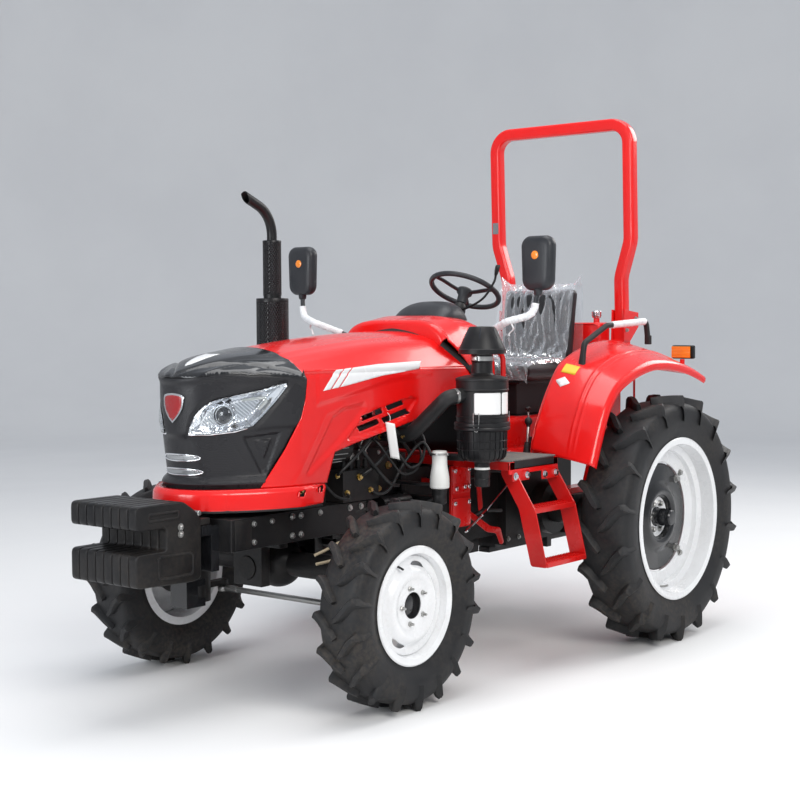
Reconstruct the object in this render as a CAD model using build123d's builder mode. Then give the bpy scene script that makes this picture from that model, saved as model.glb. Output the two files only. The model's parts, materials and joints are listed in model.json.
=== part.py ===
"""Utility farm tractor, four-wheel drive, about 50 hp, with roll bar and front weights.

Millimetres. X points forward, Y to the driver's left, Z up. The origin lies on the
ground under the middle of the whole machine. Places along the machine are written as
distances ahead of the rear axle (rear) or ahead of the front axle (front).
"""
import os
from math import atan2, cos, degrees, radians, sin, sqrt

from build123d import *

os.makedirs("parts", exist_ok=True)

# ---- driving dimensions -------------------------------------------------------------
wheelbase = 1733
rear_axle_x = -866
front_axle_x = rear_axle_x + wheelbase

# rear wheel, type 9.5-28
rear_tyre_radius = 577
rear_tyre_width = 242
rear_track = 1666
rear_rim_radius = 381
rear_rim_width = 218
rear_disc_radius = 255
disc_face = -7         # the rear disc's outer face, outwards from the tyre's middle
rear_lug_height = 30
rear_lug_pairs = 18

# front wheel, type 7.50-16
front_tyre_radius = 407
front_tyre_width = 200
front_track = 1294
front_rim_radius = 234
front_rim_width = 160
front_disc_radius = 126
stud_circle = 72
stud_radius = 8
stud_start = 18
front_lug_height = 22
front_lug_pairs = 18
rim_seat_depth = 26
flange_thickness = 7

# clearances
run_gap = 0.3          # between a turning piece and what it turns on
seat_gap = 0.3         # between two pieces that are screwed together
lens_gap = 0.6         # around a headlamp's lens

# bonnet
hood_half_width = 330
hood_wall = 6
hood_crease_z = 1297
hood_hinge_z = 1478
hood_hinge_rear = 962  # ahead of the rear axle
hood_rear = 985        # ahead of the rear axle
hood_front = 577       # ahead of the front axle
hood_lip = 35          # how far the red lower band stands out past the nose
hood_base_z = 783
lip_top = 865

# roll bar
rops_tube = 62
rops_low_half = 350
rops_high_half = 408
rops_bar_z = 2502
rops_rear = -478
rops_hinge_rear = -548
rops_hinge_z = 1512

# three-point linkage
link_pivot_rear = -200
link_pivot_z = 450
link_reach = 709
link_half_spread = 341
lift_pivot_rear = -60
lift_pivot_z = 985
lift_reach = 300
link_slope = radians(6)
link_ball_radius = 28
link_ball_bore = 11.1


def rear(distance):
    """X of a place given as a distance ahead of the rear axle."""
    return rear_axle_x + distance


def front(distance):
    """X of a place given as a distance ahead of the front axle."""
    return front_axle_x + distance


def save(piece, name):
    """Label a finished piece and write its STEP file."""
    piece.part.label = name
    export_step(piece.part, f"parts/{name}.step")


def block(x_low, x_high, y_low, y_high, z_low, z_high, mode=Mode.ADD):
    """A box between its named sides, in the active part."""
    centre = ((x_low + x_high) / 2, (y_low + y_high) / 2, (z_low + z_high) / 2)
    with Locations(centre):
        Box(x_high - x_low, y_high - y_low, z_high - z_low, mode=mode)


def rod(start, end, radius, mode=Mode.ADD):
    """A round bar from start to end, in the active part."""
    line = Vector(*end) - Vector(*start)
    with BuildSketch(Plane(origin=start, z_dir=line)) as section:
        Circle(radius)
    extrude(section.sketch, amount=line.length, mode=mode)


def bar(start, end, width, height, up=(0, 0, 1), mode=Mode.ADD):
    """A rectangular bar from start to end; height is measured along up."""
    line = Vector(*end) - Vector(*start)
    side = Vector(*up).cross(line)
    with BuildSketch(Plane(origin=start, x_dir=side, z_dir=line)) as section:
        Rectangle(width, height)
    extrude(section.sketch, amount=line.length, mode=mode)


def side_plate(points, y_low, y_high, mode=Mode.ADD):
    """A plate with a corner outline in X and Z, between two values of Y."""
    with BuildSketch(Plane.XZ.offset(-y_high)) as outline:
        with BuildLine():
            Polyline(*points, close=True)
        make_face()
    extrude(outline.sketch, amount=y_high - y_low, mode=mode)


def cross_plate(points, x_low, x_high, mode=Mode.ADD):
    """A plate with a corner outline in Y and Z, between two values of X."""
    with BuildSketch(Plane.YZ.offset(x_low)) as outline:
        with BuildLine():
            Polyline(*points, close=True)
        make_face()
    extrude(outline.sketch, amount=x_high - x_low, mode=mode)


def floor_plate(points, z_low, z_high, mode=Mode.ADD):
    """A plate with a corner outline in X and Y, between two heights."""
    with BuildSketch(Plane.XY.offset(z_low)) as outline:
        with BuildLine():
            Polyline(*points, close=True)
        make_face()
    extrude(outline.sketch, amount=z_high - z_low, mode=mode)


def turned(profile, centre, axis):
    """A solid of revolution in the active part.

    profile holds (distance along the axis, radius) corners; the axis is a unit vector.
    """
    across = Vector(0, 0, 1) if abs(axis[2]) < 0.9 else Vector(1, 0, 0)
    plane = Plane(origin=centre, x_dir=axis, z_dir=Vector(*axis).cross(across))
    with BuildSketch(plane) as outline:
        with BuildLine():
            Polyline(*profile, close=True)
        make_face()
    revolve(outline.sketch, axis=Axis(centre, axis))


def pipe(points, radii, radius, hollow=0):
    """A round pipe along straight runs joined by arcs, in the active part."""
    with BuildLine() as route:
        FilletPolyline(*points, radius=radii)
    start = Plane(origin=route.line @ 0, z_dir=route.line % 0)
    with BuildSketch(start) as section:
        Circle(radius)
        if hollow:
            Circle(hollow, mode=Mode.SUBTRACT)
    sweep(section.sketch, path=route.line)


# ---- wheels -------------------------------------------------------------------------
def ring(radius, y, axle_x, axle_z, sides, turn):
    """A regular polygon around the axle, of that radius to its flats.

    The middle of one flat is turned by that angle from the top.
    """
    with BuildSketch(Plane(origin=(axle_x, y, axle_z), x_dir=(1, 0, 0), z_dir=(0, 1, 0))) as outline:
        RegularPolygon(radius, sides, major_radius=False, rotation=270 + turn - 180 / sides)
    return outline.sketch


def lug_bar(side, top, depth, axle_x, y, axle_z, outline):
    """One tread bar above the axle, on one half of the tyre's width."""
    with BuildPart() as lug:
        with BuildSketch(Plane.XY.offset(axle_z + top - depth)) as foot:
            with BuildLine():
                Polyline(*[(axle_x + along, y + side * across) for along, across in outline],
                         close=True)
            make_face()
        extrude(foot.sketch, amount=depth)
    return lug.part


def tyre(name, side, axle_x, track, radius, width, rim_radius, rim_width, lug_height, lug_pairs):
    """A tyre between its beads, with slanted bars that alternate left and right of its middle.

    Each half of the carcass has one flat under each of its bars, so that the mesh stays small.
    """
    y = side * track / 2
    half = width / 2
    tread = radius - lug_height
    bead = rim_radius - rim_seat_depth + seat_gap
    bead_y = rim_width / 2 - flange_thickness - seat_gap
    section = [
        # distance from the middle, radius
        (0, tread), (half * 0.92, tread - 14), (half, (bead + tread) / 2), (bead_y, rim_radius + 2),
    ]
    bore = [
        (-bead_y - 1, 0), (-bead_y - 1, bead), (12 - bead_y, bead), (-half * 0.72, tread - 50),
        (half * 0.72, tread - 50), (bead_y - 12, bead), (bead_y + 1, bead), (bead_y + 1, 0),
    ]
    lean = lug_height * 1.5
    lug = [
        # place along the tread, distance from the middle of the tread
        (lean, 5), (lean - 30, 5), (-lean, half * 0.92), (-lean + 36, half * 0.92),
    ]
    # the bars' outermost corners reach the full radius, and one of them stands on the ground
    top = sqrt(radius ** 2 - lean ** 2)
    start = 180 + degrees(atan2(lean, top))
    axle = Axis((axle_x, y, radius), (0, 1, 0))
    bars = []
    with BuildPart() as carcass:
        for half_side, shift in ((1, 0), (-1, 0.5)):
            turn = start + 360 * shift / lug_pairs
            loft(sections=[ring(r, y + half_side * across, axle_x, radius, lug_pairs, turn)
                           for across, r in section], ruled=True)
            first = lug_bar(half_side, top, lug_height + 15, axle_x, y, radius, lug)
            for index in range(lug_pairs):
                bars.append(first.rotate(axle, turn + 360 * index / lug_pairs))
        with BuildSketch(Plane(origin=(axle_x, y, radius), x_dir=(0, 1, 0), z_dir=(1, 0, 0))) as room:
            with BuildLine():
                Polyline(*bore, close=True)
            make_face()
        revolve(room.sketch, axis=axle, mode=Mode.SUBTRACT)
        add(bars)
    save(carcass, name)


def rear_rim(name, side):
    """The deep outer rim with four brackets that reach in to the disc."""
    y = side * rear_track / 2
    half = rear_rim_width / 2
    seat = rear_rim_radius - rim_seat_depth
    profile = [
        (-half, seat - 6), (-half, rear_rim_radius), (flange_thickness - half, rear_rim_radius),
        (flange_thickness - half, seat), (-half * 0.45, seat - 3), (-half * 0.35, seat - 30),
        (half * 0.2, seat - 30), (half * 0.3, seat - 3), (half - flange_thickness, seat),
        (half - flange_thickness, rear_rim_radius), (half, rear_rim_radius), (half, seat - 6),
        (half * 0.36, seat - 10), (half * 0.26, seat - 37), (-half * 0.41, seat - 37),
        (-half * 0.51, seat - 10),
    ]
    with BuildPart() as rim:
        turned(profile, (rear_axle_x, y, rear_tyre_radius), (0, 1, 0))
        bracket_low, bracket_high = sorted(
            (y + side * (disc_face + seat_gap), y + side * (disc_face + 10)))
        with BuildSketch(Plane.XZ.offset(-bracket_high)) as brackets:
            with Locations((rear_axle_x, rear_tyre_radius)):
                with PolarLocations(seat - 75, 4, start_angle=45):
                    Rectangle(96, 110)
        extrude(brackets.sketch, amount=bracket_high - bracket_low)
    save(rim, name)


def rear_disc(name, side):
    """The dished wheel disc with the axle's flange and stub."""
    y = side * rear_track / 2
    out = side
    profile = [
        (-24, 0), (-24, 78), (14, 104), (16, 132), (disc_face, 168), (disc_face, rear_disc_radius),
        (disc_face - 10, rear_disc_radius), (-17, 160), (4, 128), (0, 114), (-36, 92), (-118, 74),
        (-118, 0),
    ]
    profile = [(out * along, radius) for along, radius in profile]
    with BuildPart() as disc:
        turned(profile, (rear_axle_x, y, rear_tyre_radius), (0, 1, 0))
        rod((rear_axle_x, y - out * 25, rear_tyre_radius),
            (rear_axle_x, y + out * 70, rear_tyre_radius), 36)
    save(disc, name)


def front_rim(name, side):
    """A one-piece rim and dish with a hub hole and two crescent slots."""
    y = side * front_track / 2
    half = front_rim_width / 2
    seat = front_rim_radius - rim_seat_depth
    out = side
    profile = [
        (-half, seat - 8), (-half, front_rim_radius), (flange_thickness - half, front_rim_radius),
        (flange_thickness - half, seat), (half - flange_thickness, seat),
        (half - flange_thickness, front_rim_radius),
        (half, front_rim_radius), (half, seat - 8), (half * 0.55, seat - 12),
        (half * 0.55, front_disc_radius + 22), (half * 0.88, front_disc_radius),
        (half * 0.78, front_disc_radius - 40), (half * 0.62, 49), (half * 0.52, 49),
        (half * 0.68, front_disc_radius - 40), (half * 0.76, front_disc_radius - 4),
        (half * 0.44, front_disc_radius + 14), (half * 0.44, seat - 12),
    ]
    profile = [(out * along, radius) for along, radius in profile]
    with BuildPart() as rim:
        turned(profile, (front_axle_x, y, front_tyre_radius), (0, 1, 0))
        # two crescent slots and five stud holes through the dish
        with BuildSketch(Plane.XZ.offset(-y - 90)) as holes:
            for turn in (45, 225):
                slot_x = front_axle_x + 166 * cos(radians(turn))
                slot_z = front_tyre_radius + 166 * sin(radians(turn))
                with Locations(Location((slot_x, slot_z), turn + 90)):
                    SlotOverall(84, 18)
            with Locations((front_axle_x, front_tyre_radius)):
                with PolarLocations(stud_circle, 5, start_angle=stud_start):
                    Circle(stud_radius + 1)
        extrude(holes.sketch, amount=180, mode=Mode.SUBTRACT)
    save(rim, name)


def front_hub(name, side):
    """The turning hub flange that carries the front rim."""
    y = side * front_track / 2
    half = front_rim_width / 2
    inner = y - side * 10
    with BuildPart() as hub:
        rod((front_axle_x, inner, front_tyre_radius),
            (front_axle_x, y + side * (half * 0.52 - 2), front_tyre_radius), 86)
        rod((front_axle_x, inner, front_tyre_radius),
            (front_axle_x, y + side * half * 0.86, front_tyre_radius), 48)
        with BuildSketch(Plane.XZ.offset(-inner)) as studs:
            with Locations((front_axle_x, front_tyre_radius)):
                with PolarLocations(stud_circle, 5, start_angle=stud_start):
                    Circle(stud_radius)
        extrude(studs.sketch, amount=-side * (half * 0.86 + 22 + 10))
    save(hub, name)


def knuckle(name, side):
    """The steered final-drive housing with its steering arm."""
    y = side * kingpin_half
    wheel_y = side * (front_track / 2 - 10)
    with BuildPart() as housing:
        rod((front_axle_x, y, front_tyre_radius - 118),
            (front_axle_x, y, kingpin_top - run_gap), 58)
        rod((front_axle_x, y, front_tyre_radius),
            (front_axle_x, wheel_y - side * run_gap, front_tyre_radius), 32)
        rod((front_axle_x, y + side * 68, front_tyre_radius),
            (front_axle_x, wheel_y - side * run_gap, front_tyre_radius), 96)
        bar((front_axle_x, y, arm_z), (front_axle_x - arm_reach, y, arm_z), 44, 24)
        rod((front_axle_x - arm_reach, y, arm_z - 12), (front_axle_x - arm_reach, y, arm_z + 12), 24)
        rod((front_axle_x - arm_reach, y, arm_z - 40), (front_axle_x - arm_reach, y, arm_z - 12), 9)
    save(housing, name)


kingpin_half = 490
kingpin_top = front_tyre_radius + 33
arm_reach = 155
arm_z = front_tyre_radius - 57

for side, hand in ((1, "left"), (-1, "right")):
    tyre(f"rear_tyre_{hand}", side, rear_axle_x, rear_track, rear_tyre_radius,
         rear_tyre_width, rear_rim_radius, rear_rim_width, rear_lug_height, rear_lug_pairs)
    tyre(f"front_tyre_{hand}", side, front_axle_x, front_track, front_tyre_radius,
         front_tyre_width, front_rim_radius, front_rim_width, front_lug_height,
         front_lug_pairs)
    rear_rim(f"rear_rim_{hand}", side)
    rear_disc(f"rear_disc_{hand}", side)
    front_rim(f"front_rim_{hand}", side)
    front_hub(f"front_hub_{hand}", side)
    knuckle(f"knuckle_{hand}", side)

with BuildPart() as tie_rod:
    tie_y = kingpin_half
    tie_x = front_axle_x - arm_reach
    rod((tie_x, -tie_y + 20, arm_z - 28), (tie_x, tie_y - 20, arm_z - 28), 14)
    for side in (1, -1):
        with BuildSketch(Plane.XY.offset(arm_z - 40)) as eye:
            with Locations((tie_x, side * tie_y)):
                Circle(24)
                Circle(9 + run_gap, mode=Mode.SUBTRACT)
        extrude(eye.sketch, amount=28 - run_gap)
save(tie_rod, "tie_rod")

# ---- front axle, bolster and weights ------------------------------------------------
axle_z = front_tyre_radius + 101
trunnion_radius = 46

with BuildPart() as front_axle:
    rod((front_axle_x, -kingpin_half, axle_z), (front_axle_x, kingpin_half, axle_z), 52)
    for side in (1, -1):
        rod((front_axle_x, side * kingpin_half, kingpin_top),
            (front_axle_x, side * kingpin_half, axle_z + 66), 62)
    with Locations((front_axle_x, 0, axle_z)):
        Sphere(104)
    rod((front(-195), 0, axle_z), (front_axle_x, 0, axle_z), trunnion_radius)
    rod((front_axle_x, 0, axle_z), (front(190), 0, axle_z), trunnion_radius)
save(front_axle, "front_axle")

engine_half = 165
bolster_front = front(522)
bolster_rear = front(-270)

with BuildPart() as front_bolster:
    for side in (1, -1):
        low, high = sorted((side * 180, side * 250))
        block(bolster_rear, bolster_front, low, high, 633, 757)
        low, high = sorted((side * (engine_half + seat_gap), side * 180))
        block(front(-230), front(-150), low, high, 670, 740)
    block(front(135), bolster_front, -180, 180, 735, 757)
    block(bolster_front - 30, bolster_front, -180, 180, 640, 757)
    for low, high, top in ((135, 185, 757), (-185, -135, 655)):
        block(front(low), front(high), -80, 80, axle_z - 74, top)
        block(front(low), front(high), -180, 180, 600, top)
        rod((front(low), 0, axle_z), (front(high), 0, axle_z),
            trunnion_radius + run_gap, mode=Mode.SUBTRACT)
save(front_bolster, "front_bolster")

bracket_x = bolster_front + 40
weight_count = 8
weight_pitch = 46
weight_half = weight_count * weight_pitch / 2
weight_front = front(932)
weight_base_z = 534

with BuildPart() as weight_bracket:
    block(bolster_front, bracket_x, -weight_half, weight_half, 560, 735)
    block(bracket_x, bracket_x + 48, -weight_half, weight_half, 700, 740)
    block(bolster_front - 20, bracket_x, -45, 45, 430, 560)
    block(bolster_front - 60, bracket_x, -45, 45, 400, 430)
    block(bolster_front - 60, bracket_x, -45, 45, 480, 505)
    rod((bolster_front - 40, 0, 400), (bolster_front - 40, 0, 505), 12.5,
        mode=Mode.SUBTRACT)
save(weight_bracket, "weight_bracket")

hook_x = bracket_x + seat_gap
body_x = bracket_x + 48 + seat_gap
weight_outline = [
    (body_x, weight_base_z + 10), (body_x + 40, weight_base_z),
    (weight_front - 12, weight_base_z + 10), (weight_front, weight_base_z + 22),
    (weight_front, 656), (weight_front - 12, 668), (weight_front - 147, 668),
    (weight_front - 147, 750), (weight_front - 12, 750), (weight_front, 762),
    (weight_front, 830), (weight_front - 12, 842), (weight_front - 232, 842),
    (weight_front - 297, 800), (weight_front - 297, 766), (hook_x, 766),
    (hook_x, 740 + seat_gap), (body_x, 740 + seat_gap),
]
with BuildPart() as front_weights:
    for index in range(weight_count):
        low = -weight_half + index * weight_pitch
        side_plate(weight_outline, low + seat_gap, low + weight_pitch - seat_gap)
save(front_weights, "front_weights")

# ---- engine and transmission --------------------------------------------------------
engine_front = front(-20)
engine_rear = rear(1150)
crank_z = 700
fan_z = 970

with BuildPart() as engine_block:
    block(engine_rear, engine_front, -engine_half, engine_half, crank_z - 38, crank_z + 260)
    block(engine_rear + 20, engine_front - 40, -130, 130, crank_z + 260, crank_z + 390)
    block(engine_rear + 60, engine_front - 90, -75, 75, crank_z + 390, crank_z + 470)
    block(engine_rear + 30, front(-215), -130, 130, crank_z - 140, crank_z - 38)
    block(engine_front, engine_front + 45, -150, 150, crank_z - 38, fan_z - 30)
    rod((engine_front + 45, 0, crank_z + 60), (engine_front + 80, 0, crank_z + 60), 85)
    rod((engine_front, 0, fan_z), (engine_front + 92, 0, fan_z), 50)
    rod((engine_front + 92, 0, fan_z), (engine_front + 112, 0, fan_z), 172)
save(engine_block, "engine_block")

pump_x = (engine_front + engine_rear) / 2
filter_x = bolster_rear - 52
with BuildPart() as engine_equipment:
    # injection pump, two fuel filters, starter and oil filter on the left side
    block(pump_x - 40, pump_x + 190, engine_half, engine_half + 95, crank_z + 60, crank_z + 190)
    for step in range(4):
        rod((pump_x + step * 48, engine_half + 55, crank_z + 190),
            (pump_x + step * 48, engine_half + 55, crank_z + 225), 11)
    rod((filter_x, engine_half, crank_z + 20), (filter_x, engine_half + 60, crank_z + 20), 34)
    rod((filter_x, engine_half + 50, crank_z - 100), (filter_x, engine_half + 50, crank_z + 40), 42)
    rod((engine_rear, engine_half + 48, crank_z + 10),
        (engine_rear + 190, engine_half + 48, crank_z + 10), 46)
    block(engine_rear, engine_rear + 30, engine_half, engine_half + 60,
          crank_z - 30, crank_z + 60)
    block(pump_x - 60, pump_x + 200, 130, 190, crank_z + 300, crank_z + 350)
    block(pump_x + 10, pump_x + 60, 130, 150, crank_z + 262, crank_z + 301)
    # alternator and bracket
    rod((engine_front - 120, engine_half + 66, crank_z + 290),
        (engine_front + 20, engine_half + 66, crank_z + 290), 62)
    block(engine_front - 110, engine_front - 40, 130, engine_half + 40,
          crank_z + 262, crank_z + 300)
save(engine_equipment, "engine_equipment")

with BuildPart() as radiator:
    block(front(165), front(235), -245, 245, 770, 1225)
    block(front(177), front(223), -225, 225, 1225, 1255)
    block(front(170), front(230), -170, 170, 757, 770)
    with BuildSketch(Plane.YZ.offset(front(105))) as shroud:
        with Locations((0, fan_z)):
            Rectangle(430, 2 * (fan_z - 770))
            Circle(188, mode=Mode.SUBTRACT)
    extrude(shroud.sketch, amount=60)
save(radiator, "radiator")

transfer_x = rear(700)
with BuildPart() as gearbox:
    block(rear(760), engine_rear, -150, 150, 515, 850)
    block(engine_rear - 30, engine_rear, -190, 190, 520, 930)
    block(rear(330), rear(760), -135, 135, 470, 850)
    block(rear(430), transfer_x, -90, 90, 395, 470)
save(gearbox, "gearbox")

with BuildPart() as front_drive_shaft:
    rod((transfer_x + seat_gap, 0, 436), (transfer_x + 24, 0, 436), 34)
    rod((transfer_x + 12, 0, 436), (front(-208), 0, axle_z), 28)
    rod((front(-220), 0, axle_z), (front(-195) - seat_gap, 0, axle_z), 34)
save(front_drive_shaft, "front_drive_shaft")

trumpet_end = rear_track / 2 - 118 - run_gap
with BuildPart() as rear_axle_housing:
    block(rear(-260), rear(330), -180, 180, 420, 905)
    block(rear(-200), rear(180), -150, 150, 905, 1040)
    for side in (1, -1):
        rod((rear_axle_x, side * 170, rear_tyre_radius),
            (rear_axle_x, side * trumpet_end, rear_tyre_radius), 72)
        rod((rear_axle_x, side * 180, rear_tyre_radius),
            (rear_axle_x, side * 250, rear_tyre_radius), 130)
        rod((rear_axle_x, side * (trumpet_end - 30), rear_tyre_radius),
            (rear_axle_x, side * trumpet_end, rear_tyre_radius), 100)
        low, high = sorted((side * 320, side * 420))
        block(rear(-95), rear(95), low, high, 560, rear_tyre_radius + 84)
save(rear_axle_housing, "rear_axle_housing")

# ---- bonnet -------------------------------------------------------------------------
# Sections across the bonnet: X, height of the side crease, half width and height of
# the shoulder, height of the middle.
hood_x, crease_z, shoulder_y, shoulder_z, middle_z = range(5)
hood_sections = [
    (rear(760), hood_crease_z, 250, 1418, 1466),
    (rear(1450), hood_crease_z, 250, 1400, 1444),
    (front(200), hood_crease_z, 248, 1345, 1392),
    (front(434), 1276, 240, 1306, 1354),
    (front(640), 1246, 225, 1256, 1270),
]


def hood_form(shrink, base):
    """The bonnet's outer form, or its inner form when shrink is the wall."""
    with BuildPart() as form:
        for row in hood_sections:
            half = hood_half_width - shrink
            shoulder = row[shoulder_y] - shrink * 0.7
            with BuildSketch(Plane.YZ.offset(row[hood_x])) as section:
                with BuildLine():
                    Polyline((-shoulder, row[shoulder_z] - shrink),
                             (-half, row[crease_z] - shrink * 0.5), (-half, base),
                             (half, base), (half, row[crease_z] - shrink * 0.5),
                             (shoulder, row[shoulder_z] - shrink))
                    ThreePointArc((-shoulder, row[shoulder_z] - shrink),
                                  (0, row[middle_z] - shrink),
                                  (shoulder, row[shoulder_z] - shrink))
                make_face()
        loft()
    return form.part


def nose_plan(grow):
    """The bonnet's outline from above, with a rounded front, moved out by grow."""
    tip = front(hood_front) + grow
    bend = radians(50)
    round_radius = 200 + grow
    bend_x = tip - round_radius * (1 - cos(bend))
    bend_y = round_radius * sin(bend)
    side_x = front(215) + grow * 0.3
    side_y = hood_half_width + grow * 0.45
    middle = ((bend_x + side_x) / 2 + 12, (bend_y + side_y) / 2 + 18)
    back_x = rear(400)
    with BuildSketch(Plane.XY) as plan:
        with BuildLine():
            ThreePointArc((bend_x, -bend_y), (tip, 0), (bend_x, bend_y))
            ThreePointArc((bend_x, bend_y), middle, (side_x, side_y))
            ThreePointArc((bend_x, -bend_y), (middle[0], -middle[1]), (side_x, -side_y))
            Polyline((side_x, side_y), (back_x, side_y), (back_x, -side_y), (side_x, -side_y))
        make_face()
    return plan.sketch


beyond_sides = 600


def side_region(points):
    """A prism across the whole machine with a corner outline in X and Z."""
    with BuildPart() as region:
        side_plate(points, -beyond_sides, beyond_sides)
    return region.part


def plan_column(grow, low, high):
    """The nose outline raised between two heights."""
    with BuildPart() as column:
        extrude(Pos(0, 0, low) * nose_plan(grow), amount=high - low)
    return column.part


# the bonnet's side openings and ends, seen from the side
nose_edge = [(front(197), 1330), (front(187), 1206), (front(212), 1135), (front(372), lip_top)]
hood_side = [
    (front(800), 700), (front(112), 700), (front(102), hood_base_z), (front(17), 983),
    (rear(1110), 1110), (rear(800), 1170), (rear(784), 1239), (rear(hood_rear), 1443),
    (rear(1005), 1600), (front(800), 1600),
]
nose_region = nose_edge + [(front(800), lip_top), (front(800), 1600), (front(120), 1600)]

# openings in the bonnet's side: distance ahead of the rear axle and height of the middle, length
side_slots = [(1511, 1121, 135), (1359, 1153, 105), (1531, 1078, 130), (1356, 1108, 165)]
slot_slope = 11.5
lip_vents = [(1952, 842), (1838, 856)]
# openings in the nose's front: height, half width
nose_slots = [(984, 113), (929, 122)]
# the headlamp's outline across the corner of the nose: place along the corner's chord, height
lamp_outline = [(-1583, 1073), (-1570, 1118), (-1542, 1166), (-1505, 1200), (-1360, 1232),
                (-1195, 1272), (-1199, 1246), (-1331, 1102), (-1400, 1087)]


def lamp_prism(grow):
    """The headlamp's outline, moved out by grow, through the nose's left corner."""
    corner = Plane(origin=(rear(wheelbase + hood_front - 2310), 0, 0), x_dir=(-1, 1, 0),
                   z_dir=(1, 1, 0))
    with BuildPart() as prism:
        with BuildSketch(corner.offset(1400)) as outline:
            with BuildLine():
                Polyline(*lamp_outline, close=True)
            make_face()
            offset(amount=grow)
        extrude(outline.sketch, amount=400)
    return prism.part


def bonnet_openings():
    """What is cut out of the bonnet's sides and of the nose's front."""
    with BuildPart() as cuts:
        for x, z, length in side_slots:
            with BuildSketch(Plane.XZ.offset(-500)) as slot:
                with Locations(Location((rear(x), z), -slot_slope)):
                    Rectangle(length, 24)
            extrude(slot.sketch, amount=1000)
        for x, z in lip_vents:
            side_plate([(rear(x - 18), z + 16), (rear(x + 22), z + 6), (rear(x + 26), z - 12),
                        (rear(x - 6), z - 14)], -500, 500)
        for z, half in nose_slots:
            block(front(hood_front - 60), front(hood_front + 60), -half, half, z - 12, z + 12)
    return cuts.part


outer_form = hood_form(0, hood_base_z) & plan_column(0, 700, 1600)
inner_form = hood_form(hood_wall, hood_base_z - 50) & plan_column(-hood_wall, 700, 1600)
shell = (outer_form - inner_form) & side_region(hood_side)

nose_prism = side_region(nose_region)

openings = bonnet_openings()
left_lens = shell & nose_prism & lamp_prism(0)
left_room = lamp_prism(lens_gap)
right_room = mirror(left_room, Plane.XZ)

with BuildPart() as headlamps:
    add(left_lens)
    mirror(left_lens, Plane.XZ)
save(headlamps, "headlamps")

with BuildPart() as nose:
    add((shell & nose_prism) - left_room - right_room - openings)
save(nose, "nose")

with BuildPart() as hood:
    add(shell - nose_prism)
    lip = (plan_column(hood_lip, hood_base_z, lip_top) - plan_column(hood_lip - 8, 700, lip_top - 6))
    lip = lip - plan_column(-hood_wall, 700, 900)
    add(lip & side_region([(front(102), 700), (front(800), 700), (front(800), 900),
                           (front(102), 900)]))
    for side in (1, -1):
        low, high = sorted((side * 184, side * 206))
        block(rear(hood_hinge_rear), rear(hood_rear + 30), low, high, hood_hinge_z - 48,
              hood_hinge_z)
        rod((rear(hood_hinge_rear), low, hood_hinge_z), (rear(hood_hinge_rear), high, hood_hinge_z),
            13)
        rod((rear(hood_hinge_rear), low, hood_hinge_z), (rear(hood_hinge_rear), high, hood_hinge_z),
            6 + run_gap, mode=Mode.SUBTRACT)
    add(openings, mode=Mode.SUBTRACT)
save(hood, "hood")

# ---- cowl, controls and platform ----------------------------------------------------
floor_z = 900
floor_thickness = 36
floor_front = rear(985)
floor_side = 650
fender_inner = 500
fender_outer = 822
cowl_half = 331

with BuildPart() as cowl:
    cross_plate([(-cowl_half, 1100), (-cowl_half - 8, 1320), (-270, 1470), (-200, 1515),
                 (200, 1515), (270, 1470), (cowl_half + 8, 1320), (cowl_half, 1100),
                 (cowl_half - 60, floor_z + seat_gap), (60 - cowl_half, floor_z + seat_gap)],
                rear(640), rear(978))
    side_plate([(rear(560), 1480), (rear(700), 1600), (rear(1000), 1600), (rear(1000), 1500),
                (rear(930), 1510), (rear(830), 1530), (rear(700), 1520)], -500, 500,
               mode=Mode.SUBTRACT)
    side_plate([(rear(600), 930), (rear(760), 930), (rear(760), 1200), (rear(690), 1400),
                (rear(600), 1420)], -cowl_half + 45, cowl_half - 45, mode=Mode.SUBTRACT)
    cross_plate([(-cowl_half + 20, 1100), (-cowl_half + 13, 1312), (-252, 1452), (-190, 1490),
                 (190, 1490), (252, 1452), (cowl_half - 13, 1312), (cowl_half - 20, 1100),
                 (cowl_half - 80, 930), (80 - cowl_half, 930)], rear(770), rear(930),
                mode=Mode.SUBTRACT)
    side_plate([(rear(776), 900), (rear(776), 1239), (rear(975), 1441), (rear(975), 1600),
                (rear(1100), 1600), (rear(1100), 900)], -500, 500, mode=Mode.SUBTRACT)
    for side in (1, -1):
        low, high = sorted((side * 178, side * 212))
        block(rear(hood_hinge_rear - 22), rear(980), low, high, hood_hinge_z - 54,
              hood_hinge_z + 17, mode=Mode.SUBTRACT)
    rod((rear(hood_hinge_rear), -220, hood_hinge_z), (rear(hood_hinge_rear), 220, hood_hinge_z), 6)
save(cowl, "cowl")

with BuildPart() as instrument_dome:
    side_plate([(rear(590), 1500), (rear(600), 1560), (rear(660), 1600), (rear(720), 1590),
                (rear(800), 1532), (rear(800), 1515 + seat_gap), (rear(682.5), 1515 + seat_gap),
                (rear(640), 1503.2)], -165, 165)
save(instrument_dome, "instrument_dome")

steer_tilt = radians(28)
steer_centre = (rear(414), 0, 1651)
steer_axis = (-sin(steer_tilt), 0, cos(steer_tilt))
column_foot = tuple(steer_centre[i] - 430 * steer_axis[i] for i in range(3))
column_top = tuple(steer_centre[i] - 70 * steer_axis[i] for i in range(3))
hub_low = tuple(steer_centre[i] - 69.7 * steer_axis[i] for i in range(3))
hub_top = tuple(steer_centre[i] + 8 * steer_axis[i] for i in range(3))

with BuildPart() as steering_column:
    rod(column_foot, column_top, 32)
    block(rear(560), rear(690), -34, 34, 1330, 1400)
save(steering_column, "steering_column")

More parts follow.
